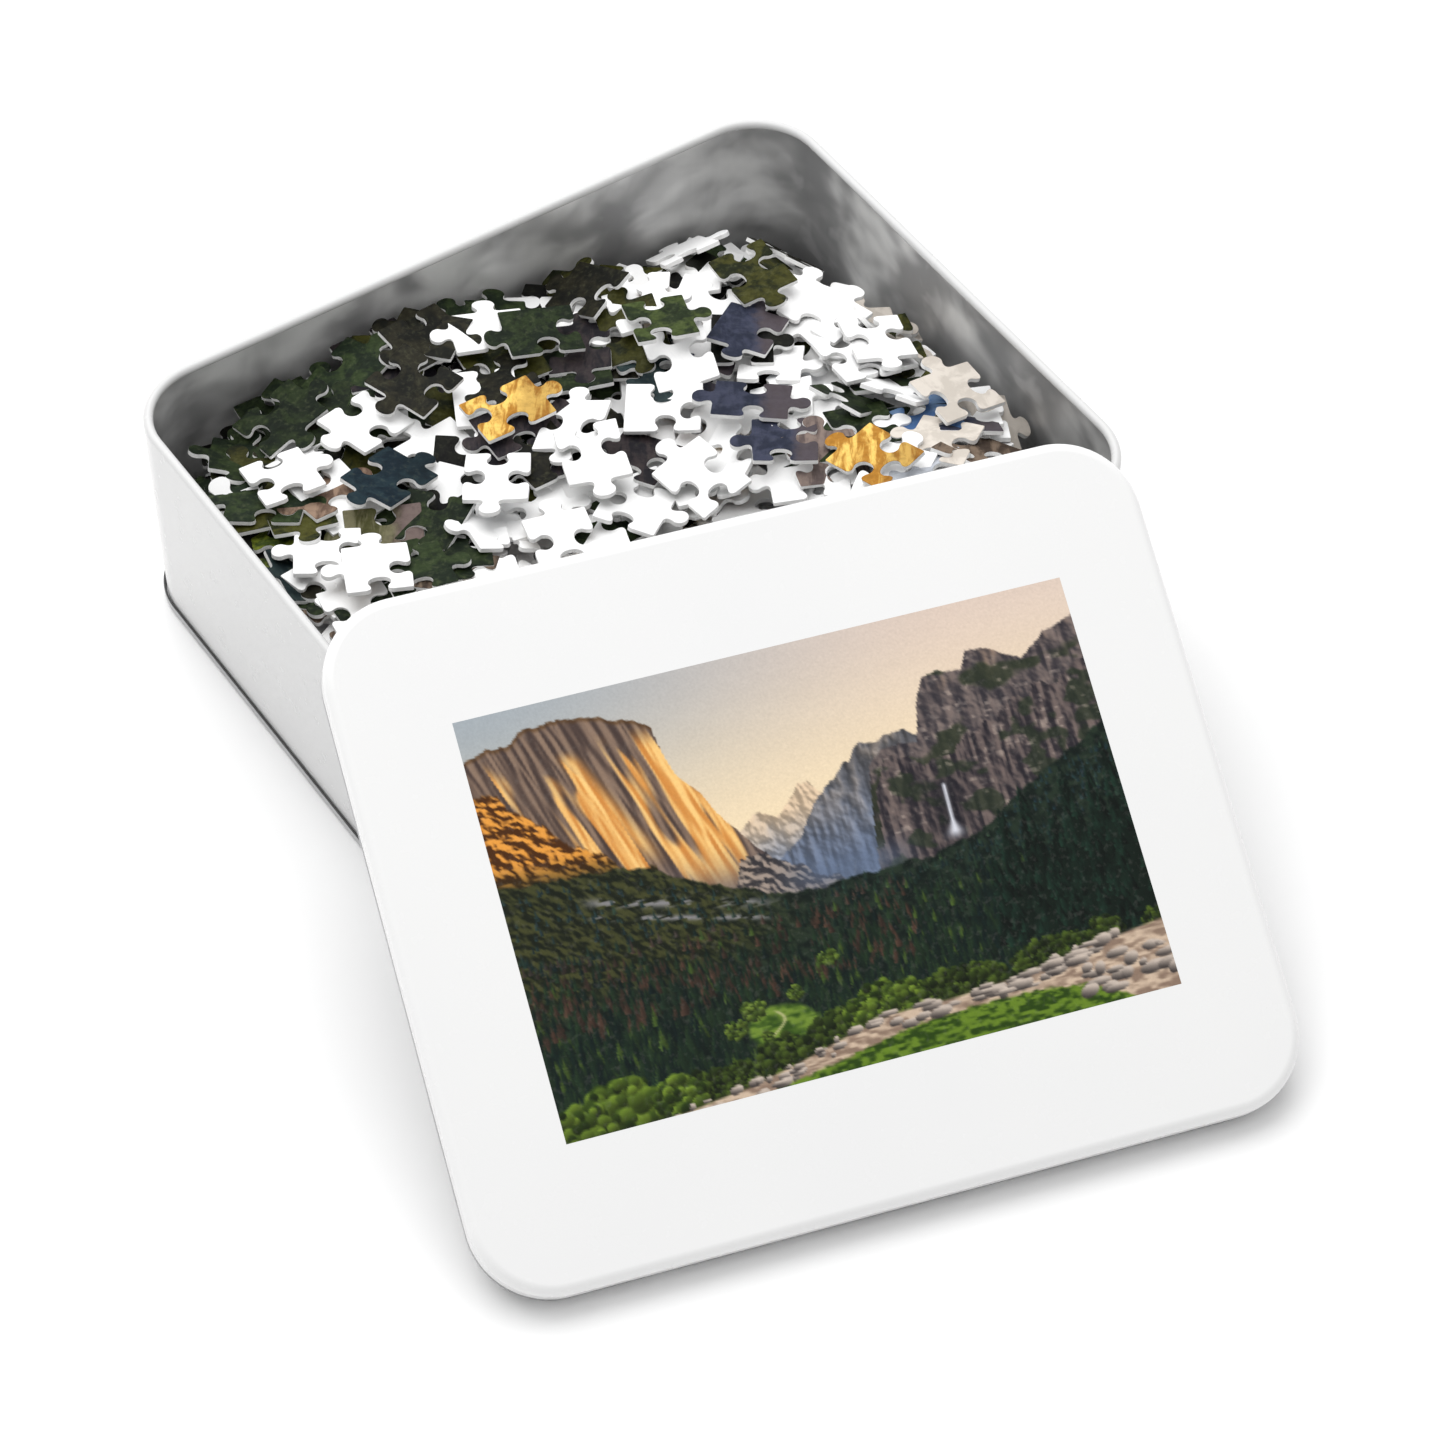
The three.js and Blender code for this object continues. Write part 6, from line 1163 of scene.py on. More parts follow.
[50.38, 10.88, 38.89, 2.904, -0.206, 0.174, -1, 1, 0, -1, -0.57, 0.77, 0.32, -0.68, ''],
[83.14, -19.12, 42.73, 2.003, 0.075, 0.024, -1, 1, -1, -1, -0.16, 0.59, -0.66, -0.26, ''],
[9.88, -67.15, 52.79, 2.051, -0.114, -0.035, -1, 1, -1, 1, -0.65, -0.59, 0.41, 1, ''],
[-4.38, 31.12, 46.59, 5.97, -0.157, 0.276, 1, -1, 1, 1, -0.4, -0.8, -0.82, -0.57, ''],
[-65.12, -1.12, 50.99, 6.223, 0.012, 0.202, -1, -1, -1, 1, 0.1, -0.89, -0.07, 0.81, ''],
[27.12, 54.38, 46.08, 4.04, -0.05, -0.14, -1, 1, 0, -1, 0.01, 0.35, 0.53, -0.31, ''],
[-42.62, 67.15, 51.35, 3.436, 0.142, 0.187, -1, 1, 1, 1, -0.68, -0.4, -0.12, -0.44, ''],
[-62.88, -14.62, 51.54, 1.965, 0.1, -0.082, 1, -1, 1, 1, 0.93, 0.38, -0.01, 0.47, ''],
[-83.14, 58.24, 45.4, 0.586, -0.274, -0.108, -1, 1, -1, 1, 0.07, -0.53, -0.71, -0.53, ''],
[75.88, 52.88, 33.42, 0.343, -0.043, 0.168, -1, -1, -1, 1, -0.92, 0.63, 0.3, -0.33, ''],
[20.38, 21.38, 41.57, 1.078, 0.185, -0.138, -1, 1, 1, 1, -0.07, -0.05, 0.3, -0.72, ''],
[75.12, -38.62, 46.37, 1.898, 0.191, 0.211, -1, -1, -1, 1, 0.71, -0.21, -0.95, 0.37, ''],
[51.12, -0.38, 39.15, 1.08, -0.055, -0.242, 1, -1, -1, 1, -0.18, 0.77, -0.55, 0.93, ''],
[-26.88, -5.62, 44.93, 2.293, -0.325, -0.099, -1, -1, -1, 1, -0.68, 0.49, -0.82, -0.18, ''],
[66.88, -47.62, 51.26, 5.438, -0.242, -0.108, -1, 1, -1, -1, -0.07, 0.66, -0.23, -0.67, ''],
[18.88, 6.38, 40.26, 0.523, 0.24, 0.02, -1, 1, 1, -1, -0.43, -0.55, -0.06, -0.12, ''],
[41.38, 67.15, 38, 5.369, -0.116, -0.206, 0, -1, -1, 1, -0.16, 0.83, 0.34, -0.92, ''],
[83.14, 6.38, 42.62, 1.259, -0.026, 0.074, -1, -1, -1, 1, 0.2, 0.3, -0.4, 0.65, ''],
[-18.62, 67.15, 52.34, 2.212, 0.033, 0.085, -1, 1, -1, 1, 0.59, 0.36, 0.08, 0.26, ''],
[-83.14, 49.12, 49.31, 1.089, -0.008, 0.114, 1, 1, -1, -1, -0.18, 0.97, -0.96, 0.38, ''],
[83.14, -31.88, 45.98, 4.198, -0.024, -0.264, -1, 1, -1, -1, -0.52, -0.54, 1, 0.36, ''],
[66.38, 67.15, 31.57, 3.734, -0.048, -0.162, 0, 1, 1, -1, 0.63, 0.24, 0.6, -0.61, ''],
[41.38, 43.88, 44.59, 4.229, -0.228, 0.033, 1, -1, 1, -1, -0.57, -0.95, 0.6, 0.33, ''],
[11.38, -11.62, 44.93, 2.101, 0.056, 0.262, -1, 1, 1, 1, 0.76, 0.14, 0.46, -0.15, ''],
[61.62, 1.12, 42.52, 4.751, 0.014, 0.139, -1, 1, 1, -1, -0.98, 0.17, 0.05, -0.73, ''],
[0.12, 28.88, 46.93, 0.16, 0.007, 0.326, 1, -1, 1, -1, 0.15, -0.63, 0.81, -0.51, ''],
[-38.12, 16.88, 46.9, 2.267, -0.178, -0.053, -1, 1, -1, 1, 0.02, -0.98, 0.72, 0.92, ''],
[15.88, 40.12, 46.25, 2.658, 0.032, -0.023, -1, -1, -1, 1, 0.03, -0.66, 0.29, -0.65, ''],
[56.38, -11.62, 41.82, 0.135, 0.157, -0.156, 1, -1, -1, -1, -0.3, -0.02, 0.97, 0.11, ''],
[58.62, 28.88, 40.82, 6.264, -0.19, -0.027, 1, 1, 1, -1, -0.82, -0.89, 0.95, 0.72, ''],
[32.38, -38.62, 51.54, 2.755, 0.01, 0.276, -1, 1, -1, -1, -0.89, 0.14, 0.82, 0.29, ''],
[-47.88, 7.12, 46.13, 4.595, 0.15, 0.239, -1, 1, -1, 1, 0.22, -0.03, 0.82, 0.32, ''],
[43.62, 4.88, 40.24, 2.214, -0.271, 0.059, 1, 1, 1, -1, -0.68, -0.05, -0.65, 0.73, ''],
[-0.62, 12.38, 46.73, 1.34, 0.235, -0.246, 1, 1, 1, -1, -0.59, -1, 0.55, -0.56, ''],
[-23.12, -31.88, 43.58, 1.486, -0.22, -0.081, 1, -1, -1, -1, -0.73, 0.96, 0.46, -0.7, ''],
[38.38, -6.38, 43.28, 5.301, 0.305, 0.31, -1, -1, -1, 1, 0.27, -0.14, -0.82, 0.27, ''],
[83.14, -28.12, 46.92, 1.122, -0.029, 0.263, -1, -1, 1, 1, -0.19, 0.98, -0.67, 0.93, ''],
[32.38, 17.62, 42.4, 0.85, 0.043, 0.081, 1, -1, -1, 1, -0.13, 0.13, -0.78, -0.42, ''],
[-47.88, -62.09, 53.99, 1.675, 0.005, -0.005, -1, 1, -1, 1, 0.62, -0.19, -0.08, 0.38, ''],
[63.12, 41.62, 39.68, 4.355, 0.095, -0.22, 0, -1, -1, 1, -0.7, 0.84, -0.66, -0.39, ''],
[-53.12, 53.62, 50.17, 5.677, 0.146, 0.036, -1, 1, 1, -1, -0.18, -0.75, -0.16, -0.58, ''],
[-83.14, -46.88, 54.06, 2.408, 0.004, -0.002, 1, -1, -1, 1, -0.27, 0.72, 0.57, 0.6, ''],
[-44.88, -17.62, 47.81, 0.653, 0.251, 0.286, -1, 1, -1, -1, -0.62, 0.98, -0.93, 0.12, ''],
[-6.62, 49.12, 49.98, 3.058, -0.041, -0.006, 1, -1, 1, 1, -0.01, 0.1, 0.08, 0.91, ''],
[49.62, -13.88, 48.21, 0.973, 0.234, 0.122, -1, 1, 1, -1, 0.63, -0.66, 0.33, -0.05, ''],
[36.12, 52.12, 48.11, 0.958, -0.005, 0.055, -1, -1, -1, 1, 0.74, -0.2, -0.84, -0.67, ''],
[52.62, 42.38, 44.06, 2.286, 0.055, -0.191, -1, 1, -1, -1, -0.18, 0.81, -0.64, -0.96, ''],
[-17.12, 1.88, 49.24, 2.643, -0.117, -0.103, 1, -1, -1, 0, -0.42, 0.72, -0.97, -0.74, ''],
[-22.38, 14.62, 51.25, 2.826, 0.08, 0.118, -1, 0, -1, 1, -0.62, 0.72, -0.81, -0.9, ''],
[-2.12, -13.12, 45.29, 4.062, 0.246, -0.003, -1, 1, 1, 1, -0.9, -0.39, -0.44, 0.07, ''],
[-35.12, -22.12, 46.68, 0.879, 0.128, 0.243, 1, -1, -1, 1, -0.47, -0.69, 0.4, 0.69, ''],
[-17.88, 40.12, 51.16, 4.25, -0.001, 0.005, 0, 1, -1, -1, -0.33, -0.96, 0.07, -0.88, ''],
[54.12, 56.62, 40.89, 5.615, -0.261, -0.213, -1, 1, 1, 1, -0.41, -0.27, 0.96, -0.28, ''],
[75.12, 49.12, 32.08, 0.523, -0.074, 0.205, 1, 1, -1, -1, 0.62, 0.86, 0.25, -0.83, ''],
[6.88, 3.38, 46.6, 1.135, 0.067, -0.092, 1, -1, -1, -1, -0, 0.8, -0.4, -0.05, ''],
[44.38, -1.88, 49.28, 4.195, 0.248, -0.268, -1, -1, 1, 1, 0.95, 0.5, 0.98, 0.75, ''],
[-50.88, -28.88, 52.08, 5.859, -0.034, 0.015, 1, -1, -1, -1, 0.84, -0.24, 0.77, -0.3, ''],
[-4.38, -10.12, 48.82, 3.079, -0.081, -0.042, 1, 1, -1, -1, 0.25, 0.92, -0.73, -0.55, ''],
[51.88, 13.88, 46.33, 0.909, -0.037, 0.307, 1, -1, -1, -1, -0.92, 0.5, -0.83, -0.36, ''],
[-12.62, -44.62, 49.81, 0.632, -0.325, -0.028, 1, -1, 1, -1, -0.2, 0.34, 0.78, 0.02, ''],
[43.62, 27.38, 44.91, 5.918, 0.073, -0.045, -1, 1, 1, 1, -0.22, 0.77, -0.95, -0.11, ''],
[-24.62, -37.12, 49.05, 0.546, -0.073, -0.009, 0, -1, 1, 1, -0.32, 0.34, -0.61, 0.72, ''],
[-17.12, 25.88, 52.55, 3.073, 0.021, 0.009, -1, 1, -1, 1, -0.38, 0.25, -0.32, 0.19, ''],
[-60.62, 12.38, 50.02, 2.692, 0.175, 0.063, -1, 1, 1, -1, -0.08, 0.53, 0.47, -0.6, ''],
[-67.38, 30.38, 52.16, 4.816, -0.06, 0.117, -1, 1, -1, -1, 0.34, 0.86, -0.79, 0.03, ''],
[72.88, 34.12, 42.98, 2.046, 0.13, 0.011, 1, -1, -1, 1, 0.22, -0.46, 0.48, -0.06, ''],
[24.88, -0.38, 48.19, 3.699, 0.009, 0.076, -1, 1, -1, 1, -0.08, -0.11, 0.07, -0.92, ''],
[66.88, -13.88, 45.73, 0.488, 0.117, 0.215, -1, -1, 1, 1, -0.96, -0.9, 0.19, 0.59, ''],
[66.12, -30.38, 49.75, 4.054, 0.201, -0.014, 1, 1, 0, -1, 0.49, 0.57, -0.25, -0.27, ''],
[74.38, 22.12, 45.83, 1.853, 0.061, 0.006, 1, 1, -1, -1, -0.51, 0.1, -0.83, 0.32, ''],
[-47.88, -11.62, 50.83, 0.341, 0.015, 0.302, 1, -1, -1, 0, 0.31, 0.32, 0.47, -0.86, ''],
[54.12, -26.62, 51.82, 4.909, -0.104, -0.151, -1, 1, 1, -1, -0.11, 0.69, -0.44, -0.93, ''],
[-77.86, 59.78, 46.6, 0.942, 0.213, 0.401, -1, 1, 1, 1, -0.43, 0.82, -0.07, -0.72, 'G'],
[-85.56, 23.63, 50.75, -1.935, 0.07, -0.216, -1, -1, -1, -1, 0.91, -0.85, -0.15, 0.79, 'Y'],
[-48.27, 47.97, 53.26, 0.314, 0.094, 0.207, -1, 1, -1, 1, -0.56, 0.5, -0.76, -0.43, 'W'],
[-52.68, 10.69, 52.66, -1.021, 0.114, -0.196, -1, 0, -1, 1, -0.91, 0.23, -0.11, 0.6, 'G'],
[-39.77, -0.76, 51.58, -1.835, -0.347, -0.2, 1, -1, 1, -1, -0.67, 0.59, -0.19, 0.77, 'W'],
[-86.17, 12.73, 50.3, -1.763, -0.43, -0.044, 1, -1, -1, -1, -0.71, -0.21, 0.6, -0.28, 'C'],
[-76.96, 32.27, 51.74, -1.878, -0.003, -0.227, -1, 1, -1, -1, -0.7, 0.16, -0.32, 0.47, 'O'],
[8.22, 38.02, 48.79, -1.96, 0.038, -0.224, -1, 1, -1, -1, 0.51, -0.82, -0.01, -0.56, 'G'],
[33.67, 20.4, 46.69, -2.381, -0.015, -0.226, -1, 1, -1, -1, -0.21, 0.18, -0.03, 0.66, 'S'],
[59.78, -10.99, 50.12, 0.353, 0.019, 0.591, 1, -1, -1, -1, 0.56, -0.19, 0.56, -0.62, 'G'],
[-20.16, -13.69, 50.86, -1.956, 0.043, -0.223, -1, 1, -1, -1, 0.69, 0.8, 0.45, 0.13, 'W'],
[-61.95, 53.58, 48.06, -1.418, -0.058, -0.436, 1, -1, -1, 1, -0.52, 0.61, -0.89, 0.07, 'W'],
[-69.24, 33.43, 52.41, -1.521, -0.068, -0.21, 1, -1, 1, -1, 0.75, 0.66, -0.09, -0.84, 'N'],
[-27.98, -0.45, 50.47, -1.902, 0.09, -0.208, -1, -1, 1, -1, -0.88, 0.48, -0.19, 0.96, 'W'],
[-51.36, -1.76, 53.05, -2.056, -0.018, -0.226, -1, 1, -1, 1, -0.94, 0.48, 0.54, 0.69, 'G'],
[-79.79, -2.54, 53.2, -1.704, 0.01, -0.227, 1, -1, -1, 1, -0.47, 0.3, -0.8, 0.48, 'G'],
[-12.69, 43.95, 51.7, -0.175, -0.166, -0.085, 1, -1, -1, -1, -0.98, -0.76, -0.58, 0.22, 'K'],
[-17.33, 13.86, 52.79, -1.577, 0.047, -0.062, 1, -1, -1, -1, 0.96, 0.98, -0.44, -0.66, 'K'],
[-17.68, -13.92, 50.3, 0.208, 0.072, 0.215, -1, -1, -1, 1, -0.96, 0.96, -0.58, -0.25, 'G'],
[12.85, 43.93, 48.91, -2.099, 0.106, -0.12, -1, 1, -1, 1, 0.61, 0.81, 0.58, -0.57, 'D'],
[23.62, 26.4, 48.65, -1.84, -0.045, -0.222, -1, 1, -1, -1, -0.2, -0.75, 0.34, 0.72, 'C'],
[45.05, 56.34, 40.12, 0.085, 0.072, 0.215, -1, -1, 1, 1, 0.54, -0.34, -0.41, -0.69, 'W'],
[50.28, 24.6, 47.21, -2.166, -0.006, -0.086, 0, -1, 1, -1, -0.29, -0.03, -0.63, 0.24, 'X'],
[72.81, -6.34, 45.1, -0.32, -0.495, 0.099, 1, -1, -1, -1, -0.14, 0.98, 0.02, 0.53, 'G'],
[79.31, -33.1, 49.28, -2.087, -0.122, -0.493, -1, -1, -1, -1, 0.64, -0.07, 0.99, -0.44, 'S'],
[-82.56, -7.11, 54.6, -1.761, -0.015, -0.146, -1, -1, -1, 1, 0.32, -0.74, -0.19, 0.17, 'W'],
[-48.81, -8.22, 53.55, -1.934, 0.016, -0.146, -1, 1, -1, -1, -0.91, 0.1, 0.42, 0.13, 'W'],
[-89.92, 37.35, 47.15, -1.67, 0.08, 0.464, -1, 0, -1, 1, -0.84, 0.74, -0.43, 0.63, 'W'],
[-34.77, 65.47, 50.72, -1.901, 0.06, -0.219, 0, 1, -1, 1, 0.58, 0.09, -0.18, -0.97, 'D'],
[-19.57, 65.88, 52.77, 0.158, 0.173, 0.146, -1, 1, -1, 1, 0, -0.8, -0.61, 0.65, 'K'],
[-57.73, -10.29, 55.22, -0.743, -0.224, -0.034, -1, -1, -1, 1, 0.19, -0.18, 0.89, -0.63, 'H'],
[-5.04, 58.94, 52.54, -0.357, -0.139, 0.06, -1, -1, 1, 1, 0.58, -0.09, -0.78, -0.3, 'W'],
[3.67, 1.54, 49.8, -2.562, -0.026, -0.225, 1, -1, -1, 0, -0.33, -0.06, -0.35, 0.64, 'D'],
[22.76, 69.92, 41.93, -1.22, 0.226, -0.511, -1, -1, 1, -1, 0.74, 0.95, -0.01, -0.35, 'O'],
[71.76, -16.7, 50.42, 0.469, -0.073, 0.624, -1, -1, 1, -1, 0.95, -0.98, -0.98, -0.19, 'W'],
[88.56, 8.9, 40.16, -2.177, -0.45, -0.464, -1, 1, -1, 1, -0.45, 0.89, 0.53, 0.91, 'E'],
[85.39, -32.87, 46.01, -0.319, 0.288, 0.558, -1, 1, -1, -1, 0.27, -0.63, -0.52, 0.25, 'E'],
[54.7, -23.72, 53.08, -1.87, -0.034, -0.224, -1, 1, -1, -1, 0.55, 0.7, 0.34, -0.78, 'G'],
[32.46, 44.88, 51.77, -1.841, 0.051, -0.221, -1, -1, 1, -1, 0.87, -0.29, 0.88, 0.66, 'W'],
[12.03, -12.8, 49.48, -1.861, 0.038, -0.224, -1, -1, 1, -1, -0.85, -0.07, 0.23, -0.56, 'W'],
[-79.62, 13.52, 54.48, -2.107, -0.026, -0.225, 1, -1, -1, -1, -0.81, -0.06, 0.85, -0.48, 'W'],
[-65.56, -5.61, 56.74, -1.822, 0.009, -0.227, -1, -1, 1, -1, 0.37, -0.41, -0.31, 0.52, 'G'],
[-7.79, -14.25, 52.64, 0.633, 0.069, 0.216, 1, -1, -1, -1, 0.47, 0.33, -0.93, -0.83, 'W'],
[26.87, 40.55, 50.3, -1.91, 0.218, 0.063, -1, 1, -1, 1, -0.13, 0.3, 0.62, 0.59, 'O'],
[58.44, 54.16, 40.74, 0.364, 0.029, 0.13, -1, -1, -1, 0, 0.68, 0.27, 0.57, 0.52, 'X'],
[79.17, 46.45, 37.5, 0.35, 0.21, 0.71, 1, -1, 1, -1, -0.62, -0.42, -0.48, 0.13, 'O'],
[73.21, 21.86, 44.64, -1.615, 0.073, -0.215, 1, -1, -1, -1, -0.12, 0.13, -0.94, -0.77, 'W'],
[87.45, 15.54, 36.29, 0.168, 0.337, 0.969, -1, -1, 1, 1, -0.24, 0.9, 0.84, -0.98, 'W'],
[73.29, 0.03, 46.83, -0.069, -0.313, 0.167, -1, -1, -1, -1, 0.2, -0.04, -0.63, 0.36, 'W'],
[48.96, -16.25, 51.05, 0.196, 0.046, 0.142, -1, -1, 1, 1, -0.21, 0.47, -0.59, 0.16, 'W'],
[39.73, -19.35, 51.82, -2.123, 0.164, -0.211, -1, -1, -1, -1, 0.33, 0.71, 0.9, 0.36, 'G'],
[33.44, -19.19, 56.56, -2.147, 0.006, -0.227, 1, -1, -1, -1, 0.17, -0.79, 0.89, -0.98, 'S'],
[22.71, -11.24, 51.73, 0.54, -0.38, -0.062, -1, -1, -1, 1, -0.2, -0.88, 0.23, -0.1, 'W'],
[-36.68, 31.9, 48.38, 0.11, 0.129, 0.022, -1, 0, 1, -1, 0.77, 0.91, 0.17, -0.85, 'W'],
[-63.53, 13.62, 51.03, -0.463, 0.212, -0.026, -1, 0, -1, 1, -0.67, 0.19, -0.49, 0.16, 'M'],
[-6.43, 17.05, 54.03, -2.358, 0.195, -0.091, -1, 1, -1, 1, -0.96, 0.47, -0.31, 0.94, 'W'],
[17.35, 11.54, 51.56, -0.63, 0.05, -0.07, -1, -1, -1, 0, 0.97, -1, 0.27, 0.33, 'W'],
[30.09, 23.09, 53.11, -1.907, 0.155, 0.074, -1, 1, -1, -1, 0.59, -0, 0.83, -0.26, 'W'],
[69.59, 1.01, 49.55, -1.699, -0.138, -0.131, -1, -1, 1, -1, -0.7, -0.03, -0.65, 0.93, 'W'],
[90.34, 39.34, 22.92, 0.129, 0.499, 0.763, -1, -1, 1, 1, 0.59, -0.87, -0.11, 0.48, 'W'],
[69.52, -29.87, 51.33, -1.724, 0.071, -0.216, 1, -1, -1, -1, -0.89, -0.49, -0.6, 0.07, 'L'],
[72.41, -46.84, 54.27, -2.705, 0.068, -0.457, -1, -1, -1, 0, -0.6, -0.53, -0.09, 0.27, 'H'],
[39.96, -28.05, 53.93, -0.28, 0.131, 0.185, -1, -1, 1, -1, 0.91, 0.06, -0.15, 0.87, 'm'],
[49.31, -44.04, 56.92, 0.619, -0.009, -0.013, -1, 1, -1, -1, 0.59, -0.45, 0.06, -0.02, 'W'],
[52.45, 25.33, 49.08, 0.622, 0.048, 0.231, -1, 1, 0, 1, 0.01, 0.84, 0.78, 0.39, 'S'],
[66.82, -40.35, 55.14, 0.651, -0.069, 0.216, -1, -1, 1, -1, -0.06, 0.04, 0.18, -0.46, 'E'],
[33.26, -30.08, 53.33, -0.484, 0.002, -0.082, -1, -1, 1, 1, 0.87, -0.73, 0.74, -0.21, 'W'],
[56.17, -46.69, 57.03, -2.296, 0.07, -0.216, -1, -1, -1, -1, 0.02, -0.25, -0.34, 0.54, 'R'],
]
